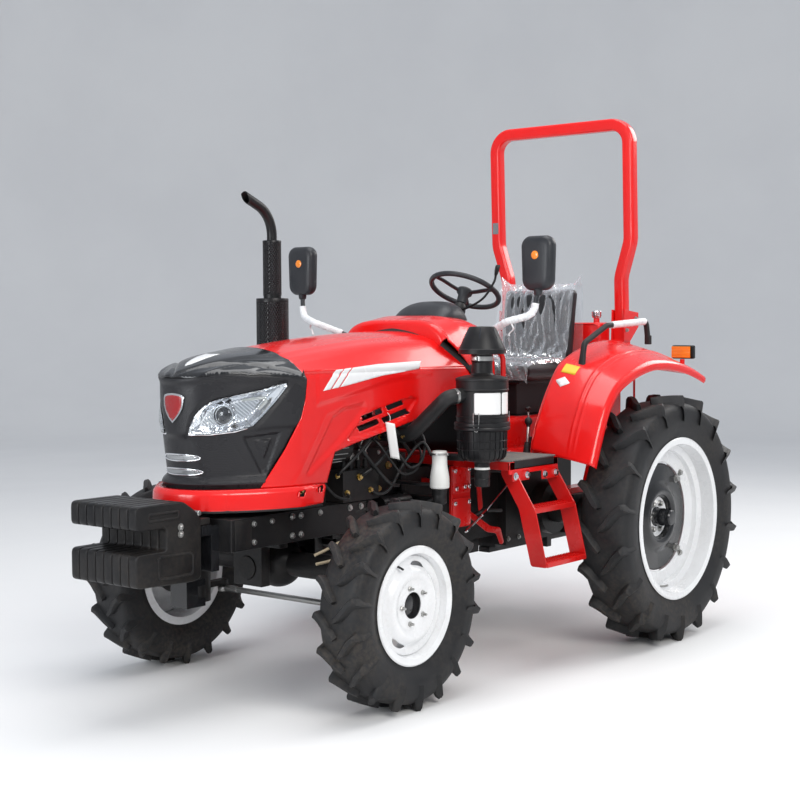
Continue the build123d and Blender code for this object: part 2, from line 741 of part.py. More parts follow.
with BuildPart() as steering_wheel:
    wheel_plane = Plane(origin=steer_centre, x_dir=(cos(steer_tilt), 0, sin(steer_tilt)),
                        z_dir=steer_axis)
    with Locations(Location(wheel_plane)):
        Torus(168, 13)
    rod(hub_low, hub_top, 30)
    for turn in (90, 210, 330):
        spoke = wheel_plane.from_local_coords(
            Vector(162 * cos(radians(turn)), 162 * sin(radians(turn)), 0))
        bar(steer_centre, tuple(spoke), 26, 9, up=steer_axis)
save(steering_wheel, "steering_wheel")

with BuildPart() as platform:
    floor_plate([(rear(-60), -fender_inner), (rear(-60), fender_inner),
                 (rear(606), fender_inner), (rear(606), floor_side),
                 (floor_front, floor_side), (floor_front, 350), (rear(945), 350),
                 (rear(945), -350), (floor_front, -350), (floor_front, -floor_side),
                 (rear(606), -floor_side), (rear(606), -fender_inner)],
                floor_z - floor_thickness, floor_z)
    block(rear(-300), rear(340), -190, 190, floor_z - 60, floor_z + 200, mode=Mode.SUBTRACT)
    for side in (1, -1):
        low, high = sorted((side * 330, side * 345))
        block(rear(850), rear(990), low, high, 590, floor_z - floor_thickness)
        low, high = sorted((side * 150.3, side * 345))
        block(rear(870), rear(960), low, high, 620, 640)
        block(rear(870), rear(960), low, high, 780, 800)
save(platform, "platform")


fender_outer_edge = [(600, 866), (545, 990), (493, 1096), (440, 1165), (383, 1217),
                     (210, 1284), (35, 1316), (-240, 1297), (-495, 1228)]
fender_inner_edge = [(600, 922), (570, 1010), (529, 1088), (470, 1181), (360, 1308),
                     (175, 1379), (-84, 1414), (-300, 1380), (-500, 1262)]
fender_wall = 5
lamp_rear = -470
lamp_y = 700
lamp_base_z = 1310


def arch_face(edge, y):
    """The fender's section at one Y: three arcs outside and the same, thinner, inside."""
    outside = [Vector(rear(x), y, z) for x, z in edge]
    centre = Vector(rear_axle_x, y, rear_tyre_radius)
    inside = [centre + (p - centre) * (1 - fender_wall / (p - centre).length)
              for p in outside]
    with BuildLine() as loop:
        for points in (outside, inside):
            for start in (0, 2, 4, 6):
                ThreePointArc(points[start], points[start + 1], points[start + 2])
        Line(outside[0], inside[0])
        Line(outside[-1], inside[-1])
    return Face(Wire(loop.edges()))


def arch_fill(side):
    """The room under a wheel arch, out to a seat's gap above its sheet."""
    with BuildPart() as filled:
        faces = []
        for edge, y in ((fender_inner_edge, fender_inner), (fender_outer_edge, fender_outer)):
            centre = Vector(rear_axle_x, side * y, rear_tyre_radius)
            crown = [Vector(rear(x), side * y, z) for x, z in edge]
            crown = [p + (p - centre).normalized() * seat_gap for p in crown]
            with BuildLine() as loop:
                for start in (0, 2, 4, 6):
                    ThreePointArc(crown[start], crown[start + 1], crown[start + 2])
                Line(crown[0], centre)
                Line(crown[-1], centre)
            faces.append(Face(Wire(loop.edges())))
        loft(sections=faces)
    return filled.part


with BuildPart() as fenders:
    # each wheel arch crowns towards the seat and has an inner wall down to the floor
    for side in (1, -1):
        inner = arch_face(fender_inner_edge, side * fender_inner)
        outer = arch_face(fender_outer_edge, side * fender_outer)
        loft(sections=[inner, outer])
        low, high = sorted((side * (fender_inner - fender_wall), side * fender_inner))
        wall = [(rear(x), z - 2) for x, z in fender_inner_edge[:7]]
        side_plate(wall + [(rear(-220), 1395), (rear(-220), floor_z + seat_gap),
                           (rear(590), floor_z + seat_gap)], low, high)
        rod((rear(lamp_rear), side * lamp_y, 1250), (rear(lamp_rear), side * lamp_y, lamp_base_z), 12)
save(fenders, "fenders")

with BuildPart() as steps:
    step_front = rear(925)
    step_rear = rear(606)
    for z, y_out in ((694, 743), (466, 802)):
        block(step_rear, step_front, y_out - 85, y_out, z - 14, z + 14)
    for x in (step_front, step_rear):
        cross_plate([(floor_side - 85, floor_z - floor_thickness), (floor_side - 85, 840),
                     (743 - 85, 694), (805 - 85, 452), (805, 452), (743, 694),
                     (floor_side, 840), (floor_side, floor_z - floor_thickness)], x - 3, x + 3)
    add(mirror(steps.part, Plane.XZ))
save(steps, "steps")

# ---- seat and fuel tank -------------------------------------------------------------
cushion_top = 1305
with BuildPart() as seat_cushion:
    block(rear(-250), rear(215), -228, 228, 1215, cushion_top)
    fillet(seat_cushion.edges().filter_by(Axis.Z), 45)
save(seat_cushion, "seat_cushion")

with BuildPart() as seat_back:
    side_plate([(rear(-250), cushion_top + seat_gap), (rear(-160), cushion_top + seat_gap),
                (rear(-225), 1672), (rear(-292), 1672)], -222, 222)
save(seat_back, "seat_back")

with BuildPart() as seat_base:
    block(rear(-210), rear(170), -150, 150, 1195, 1214.5)
    block(rear(-190), rear(150), -120, 120, 1040, 1195)
save(seat_base, "seat_base")

with BuildPart() as fuel_tank:
    block(rear(-440), rear(-330), -305, 305, 1205, 1496)
    block(rear(-440), rear(-330), -190, 190, 1060, 1205)
    block(rear(-440), rear(-262), -190, 190, 1000, 1060)
    block(rear(-262), rear(-190) - seat_gap, -120, 120, 1040 + seat_gap, 1056)
    rod((rear(-392), 250, 1496), (rear(-392), 250, 1520), 16)
    rod((rear(-392), 250, 1520), (rear(-392), 250, 1556), 27)
save(fuel_tank, "fuel_tank")

# ---- roll bar -----------------------------------------------------------------------
half_tube = rops_tube / 2
lean = 0.035
ear_play = 0.5
post_width = rops_tube + 2 * ear_play
hoop_foot_z = 1486
post_top_z = hoop_foot_z - seat_gap - half_tube * lean
with BuildPart() as rops_posts:
    ear_outline = [(rear(rops_rear + 45), 1400), (rear(rops_rear + 40), 1560),
                   (rear(rops_hinge_rear - 30), 1545), (rear(rops_hinge_rear - 30), 1470),
                   (rear(rops_rear - 20), 1400)]
    for side in (1, -1):
        y = side * rops_low_half
        bar((rear(rops_rear), y, 1370), (rear(rops_rear), y, post_top_z),
            rops_tube, post_width, up=(1, 0, 0))
        bar((rear(rops_rear), y, 1400), (rear(-170), y, 680), rops_tube, post_width, up=(1, 0, 0))
        side_plate(ear_outline, y + post_width / 2, y + post_width / 2 + 8)
        side_plate(ear_outline, y - post_width / 2 - 8, y - post_width / 2)
        rod((rear(rops_hinge_rear), y - half_tube - 8, rops_hinge_z),
            (rear(rops_hinge_rear), y + half_tube + 8, rops_hinge_z), 10)
        block(rear(-205), rear(95), y - 40, y + 40, rear_tyre_radius + 84 + seat_gap, 690)
save(rops_posts, "rops_posts")


def hoop_point(side, half, z):
    """A corner of the roll bar's hoop, which leans forward as it rises."""
    return (rear(rops_rear + lean * (z - hoop_foot_z)), side * half, z)


with BuildPart() as rops_hoop:
    corners = [hoop_point(1, rops_low_half, hoop_foot_z), hoop_point(1, rops_low_half, 1725),
               hoop_point(1, rops_high_half, 1910), hoop_point(1, rops_high_half, rops_bar_z),
               hoop_point(-1, rops_high_half, rops_bar_z), hoop_point(-1, rops_high_half, 1910),
               hoop_point(-1, rops_low_half, 1725), hoop_point(-1, rops_low_half, hoop_foot_z)]
    with BuildLine() as hoop_path:
        FilletPolyline(*corners, radius=[160, 160, 95, 95, 160, 160])
    with BuildSketch(Plane(origin=hoop_path.line @ 0, z_dir=hoop_path.line % 0,
                           x_dir=(1, 0, 0))) as hoop_section:
        RectangleRounded(rops_tube, rops_tube, 10)
    sweep(hoop_section.sketch, path=hoop_path.line)
    for side in (1, -1):
        y = side * rops_low_half
        block(rear(rops_hinge_rear - 16), rear(rops_rear), y - 24, y + 24, 1494, 1530)
        rod((rear(rops_hinge_rear), y - 24, rops_hinge_z),
            (rear(rops_hinge_rear), y + 24, rops_hinge_z), 18)
        rod((rear(rops_hinge_rear), y - 30, rops_hinge_z),
            (rear(rops_hinge_rear), y + 30, rops_hinge_z), 10 + run_gap, mode=Mode.SUBTRACT)
save(rops_hoop, "rops_hoop")

# ---- mirrors, exhaust, air cleaner --------------------------------------------------
mirror_y = 687

with BuildPart() as mirrors:
    for side in (1, -1):
        with BuildSketch(Plane.YZ.offset(rear(795))) as face:
            with Locations((side * mirror_y, 1752)):
                RectangleRounded(164, 240, 45)
        extrude(face.sketch, amount=55)
        # the arm starts square to the cowl's sloping shoulder
        foot_y = 304.5 + 0.909 * seat_gap
        foot_z = 1395 + 0.418 * seat_gap
        pipe([(rear(812), side * foot_y, foot_z),
              (rear(812), side * (foot_y + 0.909 * 90), foot_z + 0.418 * 90),
              (rear(880), side * 560, 1500), (rear(835), side * 672, 1530),
              (rear(822), side * mirror_y, 1632)], [40, 60, 60], 11)
save(mirrors, "mirrors")

exhaust_x = rear(1318)
exhaust_y = -418
with BuildPart() as exhaust:
    rod((exhaust_x, exhaust_y, 1190), (exhaust_x, exhaust_y, 1610), 73)
    rod((exhaust_x, exhaust_y, 1610), (exhaust_x, exhaust_y, 1870), 42)
    pipe([(exhaust_x, exhaust_y, 1870), (exhaust_x, exhaust_y, 1985),
          (exhaust_x + 180, exhaust_y, 2062)], [85], 23)
    pipe([(exhaust_x, exhaust_y, 1190), (exhaust_x, exhaust_y, 1040),
          (exhaust_x, -131, 1030)], [70], 26)
save(exhaust, "exhaust")

cleaner_x = rear(1075)
cleaner_y = 570
with BuildPart() as air_cleaner:
    for low, high, radius in ((1385, 1482, 92), (1350, 1385, 54), (1080, 1350, 114),
                              (1040, 1080, 120), (905, 1040, 108), (800, 905, 34)):
        rod((cleaner_x, cleaner_y, low), (cleaner_x, cleaner_y, high), radius)
    block(cleaner_x - 40, cleaner_x + 40, 340, cleaner_y, 905, 930)
    block(cleaner_x - 40, cleaner_x + 40, 332, 345, 700, 930)
    block(cleaner_x - 20, cleaner_x + 20, 150 + seat_gap, 340, 700, 740)
    rod((cleaner_x + 60, cleaner_y - 20, 1195),
        (cleaner_x + 112 - seat_gap, cleaner_y - 40 + 0.1, 1190), 33)
save(air_cleaner, "air_cleaner")

with BuildPart() as intake_hose:
    pipe([(cleaner_x + 112, cleaner_y - 40, 1190), (cleaner_x + 165, cleaner_y - 60, 1185),
          (cleaner_x + 190, 330, 1020), (cleaner_x + 190, 130 + seat_gap, 1020)], [40, 90], 33)
save(intake_hose, "intake_hose")

with BuildPart() as water_bottle:
    rod((rear(1190), 430, 795), (rear(1190), 430, 935), 42)
    rod((rear(1190), 430, 727), (rear(1190), 430, 795), 30)
    block(rear(1165), rear(1215), engine_half, 400, 800, 812)
save(water_bottle, "coolant_bottle")

with BuildPart() as levers:
    lever_table = [
        # foot x, side y, top x, top z, knob radius
        (570, 460, 555, 1075, 17),
        (300, 300, 330, 1250, 20),
        (300, -300, 350, 1330, 20),
        (220, -330, 260, 1320, 20),
        (600, 180, 640, 1040, 26),
        (600, -180, 640, 1040, 26),
    ]
    for foot_x, y, top_x, top_z, knob in lever_table:
        top = (rear(top_x), y, top_z)
        rod((rear(foot_x), y, floor_z + seat_gap), (rear(foot_x), y, floor_z + 14), 18)
        rod((rear(foot_x), y, floor_z + 10), top, 7)
        with Locations(top):
            Sphere(knob)
save(levers, "levers")

rail_y = 600

with BuildPart() as grab_rails:
    for side in (1, -1):
        pipe([(rear(330), side * rail_y, 1250), (rear(300), side * rail_y, 1400),
              (rear(100), side * rail_y, 1480), (rear(-280), side * rail_y, 1500),
              (rear(-300), side * rail_y, 1300)], [40, 60, 30], 14)
        add(arch_fill(side), mode=Mode.SUBTRACT)
save(grab_rails, "grab_rails")

with BuildPart() as lamps:
    for side in (1, -1):
        block(rear(lamp_rear - 30), rear(lamp_rear + 20), side * lamp_y - 60, side * lamp_y + 60,
              lamp_base_z + seat_gap, lamp_base_z + 70)
save(lamps, "rear_lamps")

# ---- three-point linkage, power take-off and drawbar --------------------------------
arm_half = 250


def along(pivot_rear, pivot_z, reach):
    """The place a given reach behind a linkage pivot, along the arms' slope."""
    return (rear(pivot_rear) - reach * cos(link_slope), pivot_z - reach * sin(link_slope))


with BuildPart() as lift_arms:
    arm_x, arm_end_z = along(lift_pivot_rear, lift_pivot_z, lift_reach)
    rod((rear(lift_pivot_rear), -arm_half - 22, lift_pivot_z),
        (rear(lift_pivot_rear), -150.3, lift_pivot_z), 34)
    rod((rear(lift_pivot_rear), 150.3, lift_pivot_z),
        (rear(lift_pivot_rear), arm_half + 22, lift_pivot_z), 34)
    for side in (1, -1):
        bar((rear(lift_pivot_rear), side * arm_half, lift_pivot_z),
            (arm_x, side * arm_half, arm_end_z), 24, 60)
        rod((arm_x, side * (arm_half - 12), arm_end_z), (arm_x, side * (arm_half + 62), arm_end_z),
            12)
save(lift_arms, "lift_arms")

with BuildPart() as lower_links:
    eye_x, eye_z = along(link_pivot_rear, link_pivot_z, link_reach)
    rod_x, rod_z = along(link_pivot_rear, link_pivot_z, lift_reach)
    for side in (1, -1):
        start = (rear(link_pivot_rear), side * 250, link_pivot_z)
        middle = (rod_x, side * 262, rod_z)
        end = (eye_x, side * link_half_spread, eye_z)
        bar(start, middle, 16, 64)
        bar(middle, end, 16, 64)
        rod((start[0], side * 238, start[2]), (start[0], side * 262, start[2]), 34)
        rod((rod_x, side * 256, rod_z), (rod_x, side * 312, rod_z), 12)
        rod((eye_x, side * (link_half_spread - 20), eye_z),
            (eye_x, side * (link_half_spread + 20), eye_z), link_ball_radius)
        rod((eye_x, side * (link_half_spread - 20), eye_z),
            (eye_x, side * (link_half_spread + 20), eye_z), link_ball_bore, mode=Mode.SUBTRACT)
        rod((start[0], side * 230, start[2]), (start[0], side * 270, start[2]),
            14 + run_gap, mode=Mode.SUBTRACT)
save(lower_links, "lower_links")

with BuildPart() as lift_rods:
    for side in (1, -1):
        y = side * (arm_half + 40)
        lean_x = (rod_x - arm_x) / (arm_end_z - rod_z)
        rod((arm_x + 20 * lean_x, y, arm_end_z - 20), (rod_x - 20 * lean_x, y, rod_z + 20), 12)
        for x, z in ((arm_x, arm_end_z), (rod_x, rod_z)):
            rod((x, y - 11, z), (x, y + 11, z), 26)
            rod((x, y - 12, z), (x, y + 12, z), 12 + run_gap, mode=Mode.SUBTRACT)
save(lift_rods, "lift_rods")

with BuildPart() as linkage_bracket:
    for side in (1, -1):
        low, high = sorted((side * 180, side * 232))
        block(rear(link_pivot_rear - 45), rear(link_pivot_rear + 45), low, high, 430, 520)
        rod((rear(link_pivot_rear), side * 232, link_pivot_z),
            (rear(link_pivot_rear), side * 275, link_pivot_z), 14)
    block(rear(-330), rear(-260.3), -40, -22, 860, 960)
    block(rear(-330), rear(-260.3), 22, 40, 860, 960)
    rod((rear(-305), -40, 915), (rear(-305), 40, 915), 9.5)
save(linkage_bracket, "linkage_bracket")

top_link_length = 480
with BuildPart() as top_link:
    tilt = radians(15)
    end_x = rear(-305) - top_link_length * cos(tilt)
    end_z = 915 - top_link_length * sin(tilt)
    rod((rear(-305), 0, 915), (end_x, 0, end_z), 14)
    for x, z in ((rear(-305), 915), (end_x, end_z)):
        rod((x, -20, z), (x, 20, z), 24)
        rod((x, -21, z), (x, 21, z), 9.5 + run_gap, mode=Mode.SUBTRACT)
save(top_link, "top_link")

with BuildPart() as pto_shaft:
    rod((rear(-260) - run_gap, 0, 640), (rear(-345), 0, 640), 17.45)
save(pto_shaft, "pto_shaft")

with BuildPart() as drawbar:
    block(rear(-520), rear(260), -32, 32, 362, 388)
    rod((rear(-490), 0, 350), (rear(-490), 0, 400), 14, mode=Mode.SUBTRACT)
    block(rear(-230), rear(-190), -80, 80, 340, 362)
    for side in (1, -1):
        low, high = sorted((side * 50, side * 80))
        block(rear(-230), rear(-190), low, high, 340, 420 - seat_gap)
    block(rear(200), rear(250), -60, 60, 388, 420 - seat_gap)
save(drawbar, "drawbar")
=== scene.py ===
"""Look of the utility tractor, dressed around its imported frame.

Metres, X forward, Y to the driver's left, Z up, as in the frame. Lengths along the machine
are written as distances ahead of the rear axle (back) or of the front axle (fore).
"""
import json

import bmesh
import bpy
import numpy as np
from mathutils import Matrix, Vector
from mathutils.geometry import tessellate_polygon


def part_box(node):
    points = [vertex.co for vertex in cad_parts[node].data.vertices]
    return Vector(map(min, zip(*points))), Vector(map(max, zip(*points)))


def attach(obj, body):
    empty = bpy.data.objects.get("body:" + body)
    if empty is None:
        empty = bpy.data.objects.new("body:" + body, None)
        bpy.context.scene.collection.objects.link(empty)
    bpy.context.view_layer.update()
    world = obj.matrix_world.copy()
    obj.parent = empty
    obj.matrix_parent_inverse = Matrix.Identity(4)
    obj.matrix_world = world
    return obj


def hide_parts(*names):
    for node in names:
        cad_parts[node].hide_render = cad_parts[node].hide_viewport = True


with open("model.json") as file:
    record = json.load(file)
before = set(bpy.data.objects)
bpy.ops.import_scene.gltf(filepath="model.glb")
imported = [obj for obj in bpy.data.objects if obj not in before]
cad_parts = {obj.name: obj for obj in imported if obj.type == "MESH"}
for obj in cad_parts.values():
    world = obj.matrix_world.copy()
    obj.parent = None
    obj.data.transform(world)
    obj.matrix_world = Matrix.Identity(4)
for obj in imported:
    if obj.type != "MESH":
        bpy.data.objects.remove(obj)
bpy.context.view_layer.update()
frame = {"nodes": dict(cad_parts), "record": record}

record = frame["record"]
body_of = {node: body for body, nodes in record["behaviour"]["bodies"].items()
           for node in nodes}
tau = 2 * np.pi
y_way, up_way = (0, 1, 0), (0, 0, 1)
rng = np.random.default_rng(7)


def middle(node):
    """Centre of a node's box."""
    low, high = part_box(node)
    return np.array(low + high) / 2


rear_wheel = middle("rear_tyre_left")
front_wheel = middle("front_tyre_left")
rear_radius = rear_wheel[2]
front_radius = front_wheel[2]


def back(distance):
    """X of a place that distance ahead of the rear axle."""
    return rear_wheel[0] + distance


def fore(distance):
    """X of a place that distance ahead of the front axle."""
    return front_wheel[0] + distance


# ---- shapes: vertices and a list of face tables ---------------------------------------
def quads(rows, cols, round_rows=False, round_cols=False):
    """Faces of a grid: each joins a point to its neighbours in the next row and column."""
    i, j = np.meshgrid(np.arange(rows if round_rows else rows - 1),
                       np.arange(cols if round_cols else cols - 1), indexing="ij")
    i_next, j_next = (i + 1) % rows, (j + 1) % cols
    table = np.stack([i * cols + j, i_next * cols + j, i_next * cols + j_next, i * cols + j_next],
                     -1)
    return table.reshape(-1, 4)


def grid(points, round_rows=False, round_cols=False, cap_rows=False, flat=None):
    """A grid of points (rows, columns, 3) as a shape, its first and last row closed by a face."""
    rows, cols = points.shape[:2]
    faces = [quads(rows, cols, round_rows, round_cols)]
    if flat is not None:
        fill = np.array(tessellate_polygon([[Vector((u, v, 0)) for u, v in flat]]))
        faces += [fill, fill[:, ::-1] + (rows - 1) * cols]
    elif cap_rows:
        ends = np.stack([np.arange(cols)[::-1], (rows - 1) * cols + np.arange(cols)])
        faces.append(ends)
    return points.reshape(-1, 3), faces


def joined(shapes):
    """Several shapes as one: each one's faces count on from the vertices before it."""
    starts = np.cumsum([0] + [len(points) for points, _ in shapes])
    faces = [table + start for (_, tables), start in zip(shapes, starts) for table in tables]
    return np.concatenate([points for points, _ in shapes]), faces


def mirrored(shape):
    """A shape reflected in the machine's middle plane, with its faces turned back outwards."""
    points, faces = shape
    return points * [1, -1, 1], [table[:, ::-1] for table in faces]


def both(shape):
    """A shape and its reflection."""
    return joined([shape, mirrored(shape)])


def turned(shape, origin, axis, angles):
    """Copies of a shape turned about an axis: v cos a + (k x v) sin a + k (k.v)(1 - cos a)."""
    points, faces = shape
    angles = np.atleast_1d(np.asarray(angles, float))
    k = np.asarray(axis, float) / np.linalg.norm(axis)
    v = points - origin
    c, s = np.cos(angles)[:, None, None], np.sin(angles)[:, None, None]
    out = v * c + np.cross(k, v) * s + k * (v @ k)[:, None] * (1 - c) + origin
    steps = np.arange(len(angles))[:, None, None] * len(points)
    return out.reshape(-1, 3), [(table[None] + steps).reshape(-1, table.shape[1])
                                for table in faces]


def unit(vectors):
    """Vectors divided by their lengths."""
    return vectors / np.maximum(np.linalg.norm(vectors, axis=-1, keepdims=True), 1e-12)


def run_length(path):
    """How far along a path each of its points lies."""
    return np.concatenate([[0], np.cumsum(np.linalg.norm(np.diff(path, axis=0), axis=1))])


def turns(count):
    """Angles spread evenly over a full turn."""
    return np.arange(count) / count * tau


def sheet_of(x, y, z):
    """Rows and columns of coordinates filled out to one grid of points."""
    return np.stack(np.broadcast_arrays(x, y, z), -1)


def eased(t):
    """A smooth step from 0 to 1: 3 t^2 - 2 t^3."""
    return t * t * (3 - 2 * t)


def cubic(t, start, end, slope_start, slope_end):
    """The cubic between two values with a given slope at each."""
    return ((2 * t**3 - 3 * t**2 + 1) * start + (t**3 - 2 * t**2 + t) * slope_start
            + (3 * t**2 - 2 * t**3) * end + (t**3 - t**2) * slope_end)


def frames(path):
    """Tangent, side and up vectors along a path: the side turns as little as it can."""
    tangent = unit(np.gradient(path, axis=0))
    start = np.eye(3)[np.abs(tangent[0]).argmin()]
    side = [unit(np.cross(tangent[0], start))]
    for t in tangent[1:]:
        side.append(unit(side[-1] - t * (side[-1] @ t)))
    side = np.array(side)
    return tangent, side, np.cross(tangent, side)


def carried(path, profile, scale=1.0, caps=True):
    """A closed flat profile carried along a path: centre + side * p0 + up * p1, times scale."""
    _, side, up = frames(path)
    scale = np.broadcast_to(np.asarray(scale, float), (len(path),))[:, None, None]
    points = (path[:, None] + scale * (side[:, None] * profile[None, :, :1]
                                       + up[:, None] * profile[None, :, 1:]))
    return grid(points, round_cols=True, cap_rows=caps)


def ring(radius, sides):
    """Points of a circle in a plane."""
    angle = turns(sides)
    return np.stack([np.cos(angle), np.sin(angle)], -1) * radius


def rounded_square(width, height, corner, steps=4):
    """A rectangle with rounded corners: quarter circles around its four inner corners."""
    angle = np.linspace(0, tau / 4, steps + 1)
    arcs = [np.stack([np.cos(angle + k * tau / 4) * corner + sx * (width / 2 - corner),
                      np.sin(angle + k * tau / 4) * corner + sy * (height / 2 - corner)], -1)
            for k, (sx, sy) in enumerate(((1, 1), (-1, 1), (-1, -1), (1, -1)))]
    return np.concatenate(arcs)


def smooth_path(points, count=40):
    """A path through points: cubic pieces whose tangents are half the step across each point."""
    p = np.asarray(points, float)
    ends = np.concatenate([[2 * p[0] - p[1]], p, [2 * p[-1] - p[-2]]])
    slope = (ends[2:] - ends[:-2]) / 2
    t = np.linspace(0, len(p) - 1, count)
    i = np.minimum(t.astype(int), len(p) - 2)
    u = (t - i)[:, None]
    return cubic(u, p[i], p[i + 1], slope[i], slope[i + 1])


def bent_path(points, radii, steps=10):
    """A path of straight runs whose corners are rounded by arcs of the given radii."""
    p = np.asarray(points, float)
    out = [p[:1]]
    for before, corner, after, radius in zip(p[:-2], p[1:-1], p[2:], radii):
        a, b = unit(before - corner), unit(after - corner)
        half = np.arccos(np.clip(a @ b, -1, 1)) / 2
        centre = corner + unit(a + b) * radius / np.sin(half)
        start, end = corner + a * radius / np.tan(half), corner + b * radius / np.tan(half)
        u, v = unit(start - centre), unit(end - centre)
        sweep = np.arccos(np.clip(u @ v, -1, 1))
        t = np.linspace(0, 1, steps)[:, None]
        out.append(centre + radius * (np.sin((1 - t) * sweep) * u + np.sin(t * sweep) * v)
                   / np.sin(sweep))
    out.append(p[-1:])
    return np.concatenate(out)


def tube(path, radius, sides=14, caps=True):
    """A circle carried along a path."""
    return carried(np.asarray(path, float), ring(1, sides), radius, caps)


def looped(loop, radius, sides=8):
    """A round wire laid along a closed line, over two of its points twice."""
    return carried(np.concatenate([loop, loop[:2]]), ring(radius, sides), 1.0, False)


def lathe(profile, centre, axis=y_way, sides=64, closed=False, arc=(0, tau)):
    """A profile of (place along the axis, radius) turned about an axis through a centre."""
    axis = unit(np.asarray(axis, float))
    side = unit(np.cross(axis, np.eye(3)[np.abs(axis).argmin()]))
    up = np.cross(axis, side)
    whole = arc[1] - arc[0] >= tau - 1e-9
    angle = np.linspace(*arc, sides, endpoint=not whole)
    along, radius = np.asarray(profile, float).T
    spoke = np.cos(angle)[:, None] * side + np.sin(angle)[:, None] * up
    points = (np.asarray(centre) + along[:, None, None] * axis
              + radius[:, None, None] * spoke[None])
    return grid(points, round_rows=closed, round_cols=whole)


def band(low, high, inside, outside, centre, axis, sides):
    """A flat ring around an axis between two places along it."""
    return lathe([(low, inside), (low, outside), (high, outside), (high, inside)], centre, axis,
                 sides, closed=True)


def slab(outline, low, high, plane="xz"):
    """A prism: a flat outline in two axes, drawn out along the third from low to high."""
    outline = np.asarray(outline, float)
    order = {"xz": (0, 2, 1), "yz": (1, 2, 0), "xy": (0, 1, 2)}[plane]
    points = np.zeros((2, len(outline), 3))
    points[..., order[0]] = outline[:, 0]
    points[..., order[1]] = outline[:, 1]
    points[..., order[2]] = np.array([[low], [high]])
    return grid(points, round_cols=True, flat=outline)


def bolt(place, axis, radius=0.009, height=0.008):
    """A hexagon head on a round washer face, standing on a place along an axis."""
    washer = lathe([(-0.002, 0), (-0.002, radius * 1.35), (height * 0.2, radius * 1.35),
                    (height * 0.2, 0)], place, axis, 16)
    head = lathe([(0, 0), (0, radius), (height * 0.85, radius), (height, radius * 0.8),
                  (height, 0)], place, axis, 6)
    return joined([washer, head])


def bolts(places, axis, radius=0.009, height=0.008):
    """Several bolts with one direction."""
    return joined([bolt(place, axis, radius, height) for place in places])


# ---- panels: a surface cut to an outline -----------------------------------------------
def within(outline, points):
    """Even-odd rule: whether a ray from each point crosses the outline an odd number of times."""
    a, b = outline[None], np.roll(outline, -1, 0)[None]
    x, y = points[:, None, 0], points[:, None, 1]
    rise = np.where(b[..., 1] == a[..., 1], 1e-12, b[..., 1] - a[..., 1])
    crossed = ((a[..., 1] > y) != (b[..., 1] > y)) & (
        x < (b[..., 0] - a[..., 0]) * (y - a[..., 1]) / rise + a[..., 0])
    return crossed.sum(1) % 2 == 1


def nearest(outline, points):
    """The closest place on an outline to each point, and how far it is."""
    a = outline[None]
    d = np.roll(outline, -1, 0)[None] - a
    t = np.clip(((points[:, None] - a) * d).sum(-1) / np.maximum((d * d).sum(-1), 1e-15), 0, 1)
    foot = a + t[..., None] * d
    far = np.linalg.norm(points[:, None] - foot, axis=-1)
    k = far.argmin(1)
    rows = np.arange(len(points))
    return foot[rows, k], far[rows, k]


snap_share = 0.55


def cut_grid(outline, step, holes=()):
    """A flat grid cut to an outline with holes.

    Points nearer to an edge than about half a step move onto it, then the cells and half cells
    that lie inside are kept, so the cut edges are smooth.
    """
    outline = np.asarray(outline, float)
    edges = [outline] + [np.asarray(hole, float) for hole in holes]
    low, high = outline.min(0) - step, outline.max(0) + step
    u = np.arange(low[0], high[0] + step, step)
    v = np.arange(low[1], high[1] + step, step)
    flat = np.stack(np.meshgrid(u, v, indexing="ij"), -1).reshape(-1, 2)
    inside = within(edges[0], flat)
    for hole in edges[1:]:
        inside &= ~within(hole, flat)
    on_edge = np.zeros(len(flat), bool)
    for edge in edges:
        foot, far = nearest(edge, flat)
        close = (far < snap_share * step) & ~on_edge
        flat[close] = foot[close]
        on_edge |= close
        for corner in edge:
            k = np.linalg.norm(flat - corner, axis=1).argmin()
            flat[k] = corner
            on_edge[k] = True
    good = inside | on_edge
    table = quads(len(u), len(v))
    count = good[table].sum(1)
    whole = table[count == 4]
    part = table[count == 3]
    part = part[good[part]].reshape(-1, 3)

    def really_in(cells):
        """The cells whose middles lie inside the outline and outside its holes."""
        centre = flat[cells].mean(1)
        keep = within(edges[0], centre)
        for hole in edges[1:]:
            keep &= ~within(hole, centre)
        return cells[keep]

    whole, part = really_in(whole), really_in(part)
    used, index = np.unique(np.concatenate([whole.ravel(), part.ravel()]), return_inverse=True)
    faces = [index[:whole.size].reshape(-1, 4), index[whole.size:].reshape(-1, 3)]
    return flat[used], [table for table in faces if len(table)]


def panel(surface, outline, step, holes=()):
    """A cut grid bent onto a surface, which gives a point in space for each flat point."""
    flat, faces = cut_grid(outline, step, holes)
    return surface(flat[:, 0], flat[:, 1]), faces


def bump_of(distance, width, height):
    """A smooth step: 0 beyond the width, the full height at and past distance 0 inwards."""
    return height * eased(np.clip(distance / width, 0, 1))


def inner_distance(outline, u, v):
    """How deep each flat point lies inside an outline; 0 outside it."""
    points = np.stack([u, v], -1)
    outline = np.asarray(outline, float)
    return np.where(within(outline, points), nearest(outline, points)[1], 0)


def along_lines(u, v, lines):
    """Distance of each flat point from the nearest of some straight pieces."""
    points = np.stack([u, v], -1)[:, None]
    a, b = np.asarray(lines, float)[:, 0][None], np.asarray(lines, float)[:, 1][None]
    d = b - a
    t = np.clip(((points - a) * d).sum(-1) / (d * d).sum(-1), 0, 1)
    return np.linalg.norm(points - a - t[..., None] * d, axis=-1).min(1)


# ---- objects ---------------------------------------------------------------------------
def dressed(obj, material, body, angle):
    """Gives an object its finish, its smooth shading and its body."""
    obj.data.materials.clear()
    obj.data.materials.append(materials[material])
    obj.data.polygons.foreach_set("use_smooth", [True] * len(obj.data.polygons))
    obj.data.set_sharp_from_angle(angle=np.radians(angle))
    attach(obj, body)
    return obj


